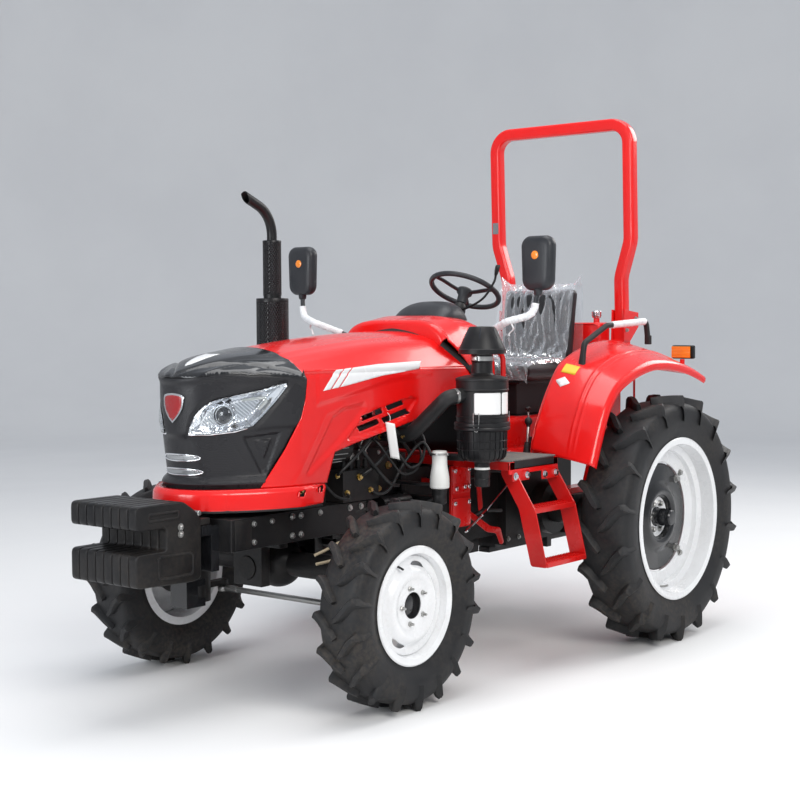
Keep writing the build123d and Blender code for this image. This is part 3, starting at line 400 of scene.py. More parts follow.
def clean(mesh, facing=True, flat=False):
    """Merges doubles, turns the faces outwards and, for flat work, melts flat neighbours."""
    work = bmesh.new()
    work.from_mesh(mesh)
    bmesh.ops.remove_doubles(work, verts=work.verts, dist=0.00005)
    bmesh.ops.dissolve_degenerate(work, edges=work.edges, dist=0.00002)
    if flat:
        bmesh.ops.dissolve_limit(work, angle_limit=0.01, verts=work.verts, edges=work.edges)
    if facing:
        bmesh.ops.recalc_face_normals(work, faces=work.faces)
    work.to_mesh(mesh)
    work.free()


def added(name, data):
    """A new object at the origin, in the scene."""
    obj = bpy.data.objects.new(name, data)
    bpy.context.scene.collection.objects.link(obj)
    return obj


def edged(obj, width, segments, limit):
    """Rounds the edges that are sharper than a limit in degrees."""
    rounded = obj.modifiers.new("edges", "BEVEL")
    rounded.width, rounded.segments = width, segments
    rounded.limit_method = "ANGLE"
    rounded.angle_limit = np.radians(limit)
    rounded.harden_normals = True


def piece(name, shape, material, body, angle=32, wall=0.0, bevel=0.0, facing=True,
          outward=1):
    """Makes an object from a shape; a wall thickens it inwards and a bevel rounds its edges."""
    points, faces = shape
    mesh = bpy.data.meshes.new(name)
    rows = [row for table in faces for row in table.tolist()]
    mesh.from_pydata(points.tolist(), [], rows)
    clean(mesh, facing)
    obj = added(name, mesh)
    dressed(obj, material, body, angle)
    if wall:
        thick = obj.modifiers.new("wall", "SOLIDIFY")
        thick.thickness = wall
        thick.offset = -outward
    if bevel:
        edged(obj, bevel, 2, 35)
    return obj


def replacing(obj, *nodes):
    """The piece stands for CAD nodes."""
    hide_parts(*nodes)
    return obj


def softened(node, material, width=0.003, segments=2, angle=32):
    """A copy of a CAD node with its doubles merged and its edges rounded."""
    obj = added(node + "_finished", frame["nodes"][node].data.copy())
    clean(obj.data, flat=True)
    dressed(obj, material, body_of[node], angle)
    edged(obj, width, segments, 38)
    return replacing(obj, node)


# ---- finishes --------------------------------------------------------------------------
def new_group(name, inputs, outputs):
    """An empty node group with named sockets; inputs carry their first values."""
    tree = bpy.data.node_groups.new(name, "ShaderNodeTree")
    for label, kind, value in inputs:
        socket = tree.interface.new_socket(label, in_out="INPUT", socket_type=kind)
        if value is not None:
            socket.default_value = value
    for label, kind in outputs:
        tree.interface.new_socket(label, in_out="OUTPUT", socket_type=kind)
    return tree, tree.nodes.new("NodeGroupInput"), tree.nodes.new("NodeGroupOutput")


def node(tree, kind, links=(), **settings):
    """Adds a node; settings are properties, or input values where the name starts with in_."""
    made = tree.nodes.new(kind)
    for key, value in settings.items():
        if key.startswith("in_"):
            index = key[3:]
            made.inputs[int(index) if index.isdigit() else index].default_value = value
        else:
            setattr(made, key, value)
    for source, target in links:
        tree.links.new(source, made.inputs[target])
    return made


def noise(tree, vector, scale, detail=4.0, rough=0.55):
    """A noise value at a vector; the scale is a number or a socket."""
    made = node(tree, "ShaderNodeTexNoise", [(vector, "Vector")], in_Detail=detail,
                in_Roughness=rough)
    if isinstance(scale, (int, float)):
        made.inputs["Scale"].default_value = scale
    else:
        tree.links.new(scale, made.inputs["Scale"])
    return made.outputs["Fac"]


def math_node(tree, operation, a, b=None):
    """One step of arithmetic on sockets or numbers."""
    made = tree.nodes.new("ShaderNodeMath")
    made.operation = operation
    for index, value in enumerate((a, b)):
        if value is None:
            continue
        if isinstance(value, (int, float)):
            made.inputs[index].default_value = value
        else:
            tree.links.new(value, made.inputs[index])
    return made.outputs[0]


def spread(tree, value, low, high, out_low=0.0, out_high=1.0):
    """Stretches a value's range, smoothly at both ends."""
    made = node(tree, "ShaderNodeMapRange", [(value, "Value")], interpolation_type="SMOOTHSTEP",
                in_1=low, in_2=high, in_3=out_low, in_4=out_high)
    return made.outputs["Result"]


def mixed(tree, factor, a, b):
    """A colour between two colours."""
    made = tree.nodes.new("ShaderNodeMix")
    made.data_type = "RGBA"
    for socket, value in ((made.inputs[0], factor), (made.inputs[6], a), (made.inputs[7], b)):
        if isinstance(value, (tuple, list)):
            socket.default_value = (*value[:3], 1)
        elif isinstance(value, (int, float)):
            socket.default_value = value
        else:
            tree.links.new(value, socket)
    return made.outputs[2]


def make_dust_group():
    """Dust: broad noise times fine noise, strongest near the ground and on faces that look up."""
    tree, given, out = new_group("field_dust", [
        ("Vector", "NodeSocketVector", None), ("Amount", "NodeSocketFloat", 0.3),
        ("Height", "NodeSocketFloat", 0.9)], [("Mask", "NodeSocketFloat")])
    vector = given.outputs["Vector"]
    broad = noise(tree, vector, 3.0, 5.0)
    fine = noise(tree, vector, 60.0, 3.0)
    both_noises = math_node(tree, "MULTIPLY", spread(tree, broad, 0.35, 0.7),
                            spread(tree, fine, 0.3, 0.75))
    z = node(tree, "ShaderNodeSeparateXYZ", [(vector, 0)]).outputs["Z"]
    low = math_node(tree, "SUBTRACT", 1.0, math_node(tree, "DIVIDE", z, given.outputs["Height"]))
    low = math_node(tree, "MAXIMUM", low, 0.0)
    normal = tree.nodes.new("ShaderNodeNewGeometry").outputs["Normal"]
    up = node(tree, "ShaderNodeSeparateXYZ", [(normal, 0)]).outputs["Z"]
    up = spread(tree, up, 0.1, 0.95)
    where = math_node(tree, "ADD", low, math_node(tree, "MULTIPLY", up, 0.35))
    mask = math_node(tree, "MULTIPLY", math_node(tree, "MULTIPLY", both_noises, where),
                     given.outputs["Amount"])
    mask = math_node(tree, "MINIMUM", mask, 0.9)
    tree.links.new(mask, out.inputs["Mask"])
    return tree


def make_grain_group():
    """Grain: fine noise for height and broad noise for colour and gloss."""
    tree, given, out = new_group("surface_grain", [
        ("Vector", "NodeSocketVector", None), ("Scale", "NodeSocketFloat", 300.0),
        ("Patch", "NodeSocketFloat", 6.0)],
        [("Height", "NodeSocketFloat"), ("Patches", "NodeSocketFloat")])
    fine = noise(tree, given.outputs["Vector"], given.outputs["Scale"], 3.0)
    broad = noise(tree, given.outputs["Vector"], given.outputs["Patch"], 4.0)
    tree.links.new(fine, out.inputs["Height"])
    tree.links.new(spread(tree, broad, 0.3, 0.7), out.inputs["Patches"])
    return tree


def make_weave_group():
    """Weave: two crossed sets of sine ribs that swap over in a small chequer."""
    tree, given, out = new_group("woven_pattern", [
        ("Vector", "NodeSocketVector", None), ("Scale", "NodeSocketFloat", 900.0)],
        [("Height", "NodeSocketFloat")])
    parts = node(tree, "ShaderNodeSeparateXYZ", [(given.outputs["Vector"], 0)])
    flat = math_node(tree, "ADD", parts.outputs["X"], parts.outputs["Y"])
    flat = math_node(tree, "MULTIPLY", flat, given.outputs["Scale"])
    tall = math_node(tree, "MULTIPLY", parts.outputs["Z"], given.outputs["Scale"])
    one = math_node(tree, "ABSOLUTE", math_node(tree, "SINE", math_node(tree, "ADD", flat, tall)))
    two = math_node(tree, "ABSOLUTE",
                    math_node(tree, "SINE", math_node(tree, "SUBTRACT", flat, tall)))
    chequer = math_node(tree, "MULTIPLY", math_node(tree, "SINE", flat),
                        math_node(tree, "SINE", tall))
    swap = math_node(tree, "GREATER_THAN", chequer, 0.0)
    tree.links.new(mixed(tree, swap, one, two), out.inputs["Height"])
    return tree


dust_group = make_dust_group()
grain_group = make_grain_group()
weave_group = make_weave_group()
dust_colour = (0.30, 0.23, 0.16)
materials = {}


coat_roughness = 0.06
dust_roughness = 0.5


def finish(name, colour, second, rough, metal=0.0, coat=0.0, grain=300.0, patch=6.0,
           relief=0.02, dust=0.3, dust_top=0.9, weave=0.0, clear=0.0, alpha=1.0,
           gloss_play=0.12, shine=0.5):
    """A finish: two close colours in patches, grain relief, gloss that varies, and dust."""
    made = bpy.data.materials.new(name)
    made.use_nodes = True
    tree = made.node_tree
    shader = tree.nodes["Principled BSDF"]
    place = tree.nodes.new("ShaderNodeTexCoord").outputs["Object"]
    grain_node = node(tree, "ShaderNodeGroup", [(place, "Vector")], node_tree=grain_group,
                      in_Scale=grain, in_Patch=patch)
    base = mixed(tree, grain_node.outputs["Patches"], colour, second)
    height = grain_node.outputs["Height"]
    if weave:
        woven = node(tree, "ShaderNodeGroup", [(place, "Vector")], node_tree=weave_group,
                     in_Scale=weave)
        base = mixed(tree, woven.outputs["Height"], base, tuple(min(1, c * 3 + 0.012)
                                                               for c in colour))
        height = woven.outputs["Height"]
    gloss = spread(tree, grain_node.outputs["Patches"], 0.0, 1.0,
                   max(0.02, rough - gloss_play / 2), rough + gloss_play / 2)
    if dust:
        dusty = node(tree, "ShaderNodeGroup", [(place, "Vector")], node_tree=dust_group,
                     in_Amount=dust, in_Height=dust_top)
        base = mixed(tree, dusty.outputs["Mask"], base, dust_colour)
        gloss = math_node(tree, "ADD", gloss,
                          math_node(tree, "MULTIPLY", dusty.outputs["Mask"], dust_roughness))
    tree.links.new(base, shader.inputs["Base Color"])
    tree.links.new(gloss, shader.inputs["Roughness"])
    if relief:
        raised = node(tree, "ShaderNodeBump", [(height, "Height")], in_Strength=0.6,
                      in_Distance=relief * 0.001)
        tree.links.new(raised.outputs["Normal"], shader.inputs["Normal"])
    for socket, value in (("Metallic", metal), ("Specular IOR Level", shine),
                          ("Coat Weight", coat), ("Coat Roughness", coat_roughness),
                          ("Transmission Weight", clear), ("Alpha", alpha)):
        shader.inputs[socket].default_value = value
    materials[name] = made


# name, colour, second colour, roughness, and what else differs
finish_table = [
    ("red_enamel", (0.74, 0.007, 0.006), (0.68, 0.005, 0.005), 0.24,
     dict(shine=0.4, coat=0.35, relief=0.008, grain=500, dust=0.10, dust_top=0.8, gloss_play=0.06)),
    ("red_chassis", (0.62, 0.007, 0.006), (0.52, 0.005, 0.005), 0.32,
     dict(shine=0.4, coat=0.2, relief=0.05, grain=220, dust=0.12, dust_top=1.2)),
    ("gloss_black", (0.006, 0.0065, 0.008), (0.010, 0.011, 0.013), 0.20,
     dict(shine=0.40, coat=0.35, relief=0.006, grain=400, dust=0.06)),
    ("woven_black", (0.005, 0.005, 0.006), (0.008, 0.008, 0.009), 0.32,
     dict(shine=0.22, coat=0.06, weave=1100.0, relief=0.35, dust=0.05)),
    ("satin_black", (0.007, 0.007, 0.008), (0.012, 0.012, 0.013), 0.40,
     dict(shine=0.28, relief=0.10, grain=420, dust=0.12)),
    ("cast_black", (0.008, 0.008, 0.009), (0.016, 0.015, 0.015), 0.40,
     dict(shine=0.22, relief=0.9, grain=110, dust=0.09, dust_top=1.1)),
    ("tyre_rubber", (0.012, 0.0125, 0.014), (0.020, 0.0205, 0.022), 0.55,
     dict(shine=0.26, relief=0.5, grain=160, dust=0.14, dust_top=1.5, patch=9)),
    ("hose_rubber", (0.010, 0.0105, 0.011), (0.018, 0.018, 0.019), 0.46,
     dict(shine=0.30, relief=0.2, grain=200, dust=0.15)),
    ("white_enamel", (0.80, 0.81, 0.82), (0.74, 0.75, 0.76), 0.24,
     dict(coat=0.5, relief=0.01, dust=0.22, dust_top=1.2, gloss_play=0.08)),
    ("chrome", (0.80, 0.81, 0.83), (0.70, 0.71, 0.73), 0.10,
     dict(metal=1.0, relief=0.006, dust=0.1, gloss_play=0.06)),
    ("zinc", (0.50, 0.50, 0.49), (0.38, 0.38, 0.37), 0.36,
     dict(metal=1.0, relief=0.08, grain=240, dust=0.2)),
    ("gold_zinc", (0.60, 0.44, 0.16), (0.46, 0.34, 0.16), 0.32,
     dict(metal=1.0, relief=0.06, dust=0.3)),
    ("seat_vinyl", (0.010, 0.010, 0.012), (0.016, 0.016, 0.018), 0.42,
     dict(shine=0.40, relief=0.35, grain=520, dust=0.1)),
    ("amber_plastic", (0.85, 0.26, 0.02), (0.75, 0.20, 0.015), 0.2,
     dict(coat=0.5, relief=0.05, grain=260, dust=0.1)),
    ("milky_plastic", (0.80, 0.81, 0.79), (0.70, 0.71, 0.68), 0.4,
     dict(relief=0.1, grain=180, dust=0.3)),
    ("white_wrap", (0.82, 0.83, 0.84), (0.66, 0.68, 0.70), 0.35,
     dict(relief=1.4, grain=70, patch=40, dust=0.05)),
    ("label_white", (0.80, 0.80, 0.79), (0.72, 0.72, 0.72), 0.4,
     dict(relief=0.01, dust=0.15)),
    ("label_yellow", (0.78, 0.55, 0.03), (0.72, 0.50, 0.03), 0.4, dict(relief=0.01, dust=0.1)),
    ("grey_plastic", (0.020, 0.022, 0.026), (0.028, 0.030, 0.034), 0.40,
     dict(shine=0.34, relief=0.12, grain=380, dust=0.08)),
    ("grey_mat", (0.10, 0.10, 0.105), (0.15, 0.148, 0.145), 0.7,
     dict(relief=0.3, grain=200, dust=0.7, dust_top=1.6)),
    ("reflector", (0.86, 0.87, 0.89), (0.78, 0.79, 0.82), 0.07,
     dict(metal=1.0, relief=0.004, dust=0, gloss_play=0.04)),
    ("lamp_dark", (0.01, 0.012, 0.02), (0.02, 0.022, 0.03), 0.08,
     dict(coat=1.0, relief=0.003, dust=0, gloss_play=0.04)),
    ("chrome_dull", (0.42, 0.43, 0.44), (0.34, 0.35, 0.36), 0.28,
     dict(metal=1.0, relief=0.02, dust=0.1)),
    ("lens_clear", (0.94, 0.96, 0.97), (0.90, 0.93, 0.95), 0.04,
     dict(clear=1.0, relief=0.002, dust=0, gloss_play=0.02)),
    ("clear_film", (0.93, 0.95, 0.98), (0.80, 0.85, 0.92), 0.14,
     dict(clear=0.72, alpha=0.52, relief=1.2, grain=34, dust=0, gloss_play=0.05)),
    ("rope_beige", (0.52, 0.44, 0.30), (0.44, 0.36, 0.24), 0.6, dict(relief=0.2, dust=0.3)),
    ("badge_red", (0.30, 0.008, 0.010), (0.24, 0.006, 0.008), 0.2,
     dict(coat=0.8, relief=0.01, dust=0)),
]
for entry in finish_table:
    finish(*entry[:4], **entry[4])


# ---- wheels ----------------------------------------------------------------------------
def carcass(centre, half, tread, rim, bead, bead_y):
    """A tyre's wall turned about its axle: crown, shoulder, bulging side and bead, then inside."""
    outer = smooth_path([(0, tread), (half * 0.55, tread - 0.003), (half * 0.84, tread - 0.011),
                         (half * 0.96, tread - 0.030), (half, (tread * 2 + rim) / 3),
                         (half * 0.99, (tread + rim) / 2 - 0.01), (bead_y + 0.004, rim + 0.016),
                         (bead_y, rim + 0.001)], 22)
    # two low rings around the side wall, above the bead
    lift = 0.0022 * (np.exp(-((outer[:, 1] - rim - 0.030) / 0.003) ** 2)
                     + np.exp(-((outer[:, 1] - rim - 0.046) / 0.003) ** 2))
    outer[:, 0] = np.minimum(outer[:, 0] + lift, half)
    inner = np.array([(bead_y, bead), (bead_y - 0.012, bead), (half * 0.72, rim + 0.02),
                      (half * 0.72, tread - 0.05), (0, tread - 0.045)])
    side = np.concatenate([outer, inner])
    loop = np.concatenate([side, side[-2:0:-1] * [-1, 1]])
    return lathe(loop, centre, y_way, 144, closed=True)


def tread_bars(centre, half, tread, radius, lean, base, crest, pairs, phase):
    """Bent tread bars: a trapezium carried along a bent line on the unrolled tread.

    Along the line the bar starts round near the middle, turns to lie along the axle, and
    runs down over the shoulder, where its foot sinks into the side wall.
    """
    line = smooth_path([(lean, 0.004), (lean * 0.42, half * 0.32), (-lean * 0.38, half * 0.62),
                        (-lean * 0.78, half * 0.84), (-lean * 0.92, half * 0.985)], 12)
    line = np.concatenate([line, [line[-1] + (-0.001, 0.0006), line[-1] + (-0.002, 0.001)]])
    top = np.full(len(line), radius)
    top[-4:] = radius - np.array([0.0, 0.004, 0.030, 0.056]) * (radius / 0.577) ** 0.5
    foot = np.full(len(line), tread - 0.02)
    foot[-3:] -= np.array([0.02, 0.045, 0.07]) * (radius / 0.577) ** 0.5
    step = unit(np.gradient(line, axis=0))
    step[-2:] = step[-3]
    across = np.stack([-step[:, 1], step[:, 0]], -1)
    widen = np.ones(len(line))
    widen[:2] = (0.55, 0.85)
    section = np.array([(-base / 2, 0), (-crest / 2, 0.86), (-crest / 2 + 0.005, 1),
                        (crest / 2 - 0.005, 1), (crest / 2, 0.86), (base / 2, 0)])
    place = line[:, None] + across[:, None] * (section[None, :, :1] * widen[:, None, None])
    height = foot[:, None] + (top - foot)[:, None] * section[None, :, 1]
    # a shallow notch across the crest, near the shoulder end
    height[-3, 2:4] -= 0.004
    bars = []
    for hand, shift in ((1, 0.0), (-1, 0.5)):
        turn = phase + tau * (np.arange(pairs) + shift) / pairs
        angle = turn[:, None, None] + place[None, ..., 0] / radius
        points = np.stack([np.sin(angle) * height, np.broadcast_to(
            hand * place[None, ..., 1], angle.shape), np.cos(angle) * height], -1)
        rows, cols = points.shape[1:3]
        faces = [quads(rows, cols, round_cols=True),
                 np.stack([np.arange(cols)[::-1], (rows - 1) * cols + np.arange(cols)])]
        step_index = np.arange(pairs)[:, None, None] * rows * cols
        faces = [(table[None] + step_index).reshape(-1, table.shape[1]) for table in faces]
        if hand < 0:
            faces = [table[:, ::-1] for table in faces]
        bars.append((points.reshape(-1, 3) + centre, faces))
    return joined(bars)


def sides_of(centre):
    """A wheel's centre on the left and on the right."""
    return (("left", 1, centre), ("right", -1, centre * [1, -1, 1]))


def out_lathe(profile, centre, side, sides=96, closed=True):
    """A wheel part turned about its axle; the first column counts outwards from the middle."""
    return lathe(np.asarray(profile, float) * [side, 1], centre, y_way, sides, closed)


# radius of the place where a tyre's bead sits on its rim
rear_seat, front_seat = 0.355, 0.208


def tyre(centre, half, tread, rim, bead, bead_y, radius, lean, base, crest, phase):
    """A tyre: its wall and 18 pairs of tread bars."""
    return joined([carcass(centre, half, tread, rim, bead, bead_y),
                   tread_bars(centre, half, tread, radius, lean, base, crest, 18, phase)])


for hand, side, centre in sides_of(rear_wheel):
    body = "rear_wheel_" + hand
    shape = tyre(centre, half=0.121, tread=0.547, rim=0.381, bead=0.3553, bead_y=0.1017,
                 radius=rear_radius, lean=0.060, base=0.052, crest=0.030,
                 phase=np.pi + np.arctan2(0.045, 0.575))
    replacing(piece("rear_tyre_tread_" + hand, shape, "tyre_rubber", body,
                    angle=40, facing=False), "rear_tyre_" + hand)
    seat = rear_seat
    rim = [(-0.109, seat - 0.006), (-0.109, 0.374), (-0.106, 0.381), (-0.102, 0.379),
           (-0.102, seat), (-0.050, seat - 0.003), (-0.040, seat - 0.030), (0.022, seat - 0.030),
           (0.033, seat - 0.003), (0.102, seat), (0.102, 0.379), (0.106, 0.381),
           (0.110, 0.374), (0.109, 0.360), (0.106, seat - 0.006), (0.070, seat - 0.009),
           (0.040, seat - 0.010), (0.029, seat - 0.037), (0.004, seat - 0.039),
           (0.001, 0.262), (-0.005, 0.256), (-0.008, 0.262), (-0.006, seat - 0.041),
           (-0.046, seat - 0.037), (-0.056, seat - 0.010)]
    valve = tube(smooth_path([centre + (0.05, side * 0.028, -0.322),
                              centre + (0.05, side * 0.055, -0.318),
                              centre + (0.05, side * 0.072, -0.312)], 8), 0.005, 8)
    replacing(piece("rear_rim_dish_" + hand, out_lathe(rim, centre, side), "white_enamel", body,
                    bevel=0.0015), "rear_rim_" + hand)
    disc = [(-0.024, 0.0), (-0.024, 0.093), (0.008, 0.1035), (0.015, 0.114), (0.016, 0.128),
            (0.012, 0.142), (-0.002, 0.162), (-0.007, 0.176), (-0.007, 0.246), (-0.012, 0.2535),
            (-0.017, 0.250), (-0.019, 0.170), (-0.010, 0.150), (0.003, 0.130), (0.0, 0.117),
            (-0.036, 0.102), (-0.118, 0.074), (-0.118, 0.0)]
    disc_shape = out_lathe(disc, centre, side, 96)
    stub = out_lathe([(-0.03, 0), (-0.03, 0.046), (-0.016, 0.046), (-0.010, 0.040),
                      (0.020, 0.042), (0.034, 0.036), (0.062, 0.036), (0.068, 0.031),
                      (0.070, 0.0)], centre, side, 40, closed=False)
    replacing(piece("rear_disc_dish_" + hand, joined([disc_shape, stub]), "gloss_black", body,
                    bevel=0.001), "rear_disc_" + hand)
    # the white floor of the recess around the hub
    recess = out_lathe([(-0.0238, 0.0455), (-0.0205, 0.0455), (-0.0205, 0.0890),
                        (-0.0165, 0.0940), (-0.0190, 0.0955), (-0.0238, 0.0930)], centre, side,
                       72)
    piece("rear_disc_recess_" + hand, recess, "white_enamel", body, angle=50)
    # how many bolts, how far out from the wheel's middle and its axle, radius, height
    circles = [turned(bolt(centre + (0, side * out, away), (0, side, 0), radius, height),
                      centre, y_way, turns(count) + tau / count / 2)
               for count, out, away, radius, height in ((6, -0.0205, 0.068, 0.012, 0.018),
                                                        (4, -0.007, 0.234, 0.014, 0.022),
                                                        (4, 0.001, 0.274, 0.012, 0.014))]
    piece("rear_wheel_bolts_" + hand, joined(circles + [valve]), "zinc", body, angle=40)

for hand, side, centre in sides_of(front_wheel):
    body = "front_wheel_" + hand
    shape = tyre(centre, half=0.100, tread=0.385, rim=0.234, bead=0.2083, bead_y=0.0727,
                 radius=front_radius, lean=0.046, base=0.044, crest=0.026,
                 phase=np.pi + np.arctan2(0.033, 0.406))
    replacing(piece("front_tyre_tread_" + hand, shape, "tyre_rubber", body,
                    angle=40, facing=False), "front_tyre_" + hand)
    seat = front_seat
    rim_outer = [(-0.080, seat - 0.008), (-0.080, 0.228), (-0.077, 0.234), (-0.073, 0.232),
                 (-0.073, seat), (0.073, seat), (0.073, 0.232), (0.077, 0.234), (0.081, 0.228),
                 (0.080, 0.214), (0.076, seat - 0.006), (0.052, seat - 0.010),
                 (0.046, seat - 0.014)]
    face = [(0.046, seat - 0.014), (0.043, seat - 0.024), (0.046, 0.162), (0.056, 0.148),
            (0.066, 0.137), (0.070, 0.126), (0.067, 0.112), (0.062, 0.100), (0.060, 0.086),
            (0.058, 0.052)]
    back_of = [(0.049, 0.049), (0.052, 0.088), (0.058, 0.112), (0.060, 0.122), (0.052, 0.136),
               (0.038, 0.152), (0.034, seat - 0.014), (-0.040, seat - 0.012)]
    # crescent slots through the dish: the face is a grid over angle and radius, cut to an
    # outline whose lengths are taken at the mean radius
    mean_radius = 0.16
    profile = smooth_path(face, 60)
    length = run_length(profile)

    def dish(u, v):
        """The dish's face: angle times the mean radius along u, and the way inwards along v."""
        along = np.interp(v, length, profile[:, 0])
        radius = np.interp(v, length, profile[:, 1])
        angle = u / mean_radius
        return np.stack([centre[0] + np.cos(angle) * radius, centre[1] + side * along,
                         centre[2] + np.sin(angle) * radius], -1)

    edge = mean_radius * tau
    slots = []
    for turn in (105, 300):
        middle_u = np.radians(turn) * mean_radius
        t = np.linspace(-1, 1, 16)
        thick = 0.0095 * (1 - t ** 4) + 0.0008
        bow = 0.004 * t ** 2
        slots.append(np.concatenate([
            np.stack([middle_u + t * 0.043, 0.033 + bow - thick], -1),
            np.stack([middle_u + t[::-1] * 0.043, (0.033 + bow + thick)[::-1]], -1)]))
    v_end = length[-1]
    outline = [(0, 0), (edge, 0), (edge, v_end), (0, v_end)]
    dish_shape = panel(dish, outline, 0.0045, slots)
    barrel = lathe(np.array(rim_outer + [(0.0, seat - 0.014), (-0.05, seat - 0.012)])
                   * [side, 1], centre, y_way, 96, closed=True)
    replacing(piece("front_rim_barrel_" + hand, barrel, "white_enamel", body,
                    bevel=0.0012), "front_rim_" + hand)
    piece("front_rim_dish_" + hand, dish_shape, "white_enamel", body, wall=0.004,
          facing=False, outward=side)
    hub = out_lathe([(-0.010, 0), (-0.010, 0.086), (0.030, 0.086), (0.036, 0.070),
                     (0.040, 0.047), (0.046, 0.030), (0.047, 0)], centre, side, 48, closed=False)
    replacing(piece("front_hub_cap_" + hand, hub, "gloss_black", body,
                    bevel=0.001), "front_hub_" + hand)
    stud_angles = np.radians(18 + 72 * np.arange(5))
    nuts = turned(joined([bolt(centre + (0, side * 0.0585, 0.072), (0, side, 0), 0.0105, 0.012),
                          lathe([(0, 0.0052), (0.018, 0.005), (0.0185, 0)],
                                centre + (0, side * 0.066, 0.072), (0, side, 0), 10)]),
                  centre, y_way, stud_angles)
    piece("front_wheel_nuts_" + hand, nuts, "zinc", body, angle=40)
    stem = tube(smooth_path([centre + (0.085, side * 0.046, 0.165),
                             centre + (0.080, side * 0.062, 0.158),
                             centre + (0.074, side * 0.076, 0.150)], 8), 0.0045, 8)
    piece("front_wheel_valve_" + hand, stem, "hose_rubber", body)


# ---- bonnet ----------------------------------------------------------------------------
# Sections across the bonnet: X, height of the side crease, half width and height of the
# shoulder, height of the middle.
bonnet_sections = np.array([
    (back(0.760), 1.297, 0.250, 1.418, 1.466),
    (back(1.450), 1.297, 0.250, 1.400, 1.444),
    (fore(0.200), 1.297, 0.248, 1.345, 1.392),
    (fore(0.434), 1.276, 0.240, 1.306, 1.354),
    (fore(0.640), 1.246, 0.225, 1.256, 1.270),
])
bonnet_half = 0.330
lip_top = 0.865
lip_base = 0.783


def section_value(x, column):
    """A section's measure at any X: a cubic through the table with level-headed slopes."""
    xs, ys = bonnet_sections[:, 0], bonnet_sections[:, column]
    slope = np.gradient(ys, xs)
    i = np.clip(np.searchsorted(xs, x) - 1, 0, len(xs) - 2)
    h = xs[i + 1] - xs[i]
    t = np.clip((x - xs[i]) / h, -0.2, 1.2)
    return cubic(t, ys[i], ys[i + 1], h * slope[i], h * slope[i + 1])


def roof(x, y):
    """Height of the bonnet's top: an arch between the shoulders, a straight fall to the crease."""
    crease, shoulder, shoulder_z, top = (section_value(x, k) for k in (1, 2, 3, 4))
    y = np.abs(y)
    arch = top - (top - shoulder_z) * (y / shoulder) ** 2
    fall = shoulder_z - (shoulder_z - crease) * (y - shoulder) / (bonnet_half - shoulder)
    blend = eased(np.clip((y - shoulder + 0.018) / 0.036, 0, 1))
    return np.where(y < shoulder, arch, fall) - 0.004 * 4 * blend * (1 - blend)


def circle_through(a, b, c, count):
    """Points of the circle through three points, from the first to the last."""
    a, b, c = (np.asarray(p, float) for p in (a, b, c))
    m = np.stack([b - a, c - a]) * 2
    centre = np.linalg.solve(m, [b @ b - a @ a, c @ c - a @ a])
    r = np.linalg.norm(a - centre)
    start, end = (np.arctan2(*(p - centre)[::-1]) for p in (a, c))
    t = np.linspace(start, end, count)
    return centre + r * np.stack([np.cos(t), np.sin(t)], -1)


def plan_curve(grow):
    """The left half of the bonnet's outline from above, from the tip to its rear end."""
    tip = fore(0.577) + grow
    bend = np.radians(50)
    r = 0.200 + grow
    bend_x, bend_y = tip - r * (1 - np.cos(bend)), r * np.sin(bend)
    side_x, side_y = fore(0.215) + grow * 0.3, bonnet_half + grow * 0.45
    mid = ((bend_x + side_x) / 2 + 0.012, (bend_y + side_y) / 2 + 0.018)
    angle = np.linspace(0, bend, 40)
    front_arc = np.stack([tip - r + r * np.cos(angle), r * np.sin(angle)], -1)
    side_arc = circle_through((bend_x, bend_y), mid, (side_x, side_y), 40)
    rest = np.array([(side_x - 0.4, side_y), (side_x - 1.4, side_y)])
    return np.concatenate([front_arc, side_arc[1:], rest])


def make_plan(grow):
    """Tables of arc length, place and outward normal along the outline, lightly smoothed."""
    curve = plan_curve(grow)
    curve = np.concatenate([curve[:0:-1] * [1, -1], curve])
    length = run_length(curve)
    zero = length[np.abs(curve[:, 1]).argmin()]
    s = np.arange(length[0], length[-1], 0.002)
    dense = np.stack([np.interp(s, length, curve[:, k]) for k in (0, 1)], -1)
    kernel = np.hanning(21)
    kernel /= kernel.sum()
    soft = np.stack([np.convolve(np.pad(dense[:, k], 10, mode="edge"), kernel, "valid")
                     for k in (0, 1)], -1)
    soft[:20], soft[-20:] = dense[:20], dense[-20:]
    way = unit(np.gradient(soft, axis=0))
    return s - zero, soft, np.stack([way[:, 1], -way[:, 0]], -1)


plan_s, plan_xy, plan_out = make_plan(0.0)
lip_s, lip_xy, lip_out = make_plan(0.035)


def s_at(x, table=None):
    """Arc length on the left side at which the outline reaches X."""
    s, xy = table or (plan_s, plan_xy)
    keep = s > 0
    return np.interp(-np.asarray(x, float), -xy[keep, 0], s[keep])


def wall_point(s, z, out=0.0, table=None):
    """A place on the bonnet's upright wall: the outline at s, moved out along its normal."""
    ss, xy, normal = table or (plan_s, plan_xy, plan_out)
    x, y = (np.interp(s, ss, xy[:, k]) for k in (0, 1))
    nx, ny = (np.interp(s, ss, normal[:, k]) for k in (0, 1))
    return np.stack([x + nx * out, y + ny * out, z + 0 * x], -1)


def sz(points):
    """Points given as (X, Z) on the left wall, as (s, Z)."""
    points = np.asarray(points, float)
    return np.stack([s_at(points[:, 0]), points[:, 1]], -1)


def from_axle(points):
    """Points measured from the rear axle in millimetres, as (X, Z) in metres."""
    points = np.asarray(points, float) / 1000
    return points + [back(0.0), 0]


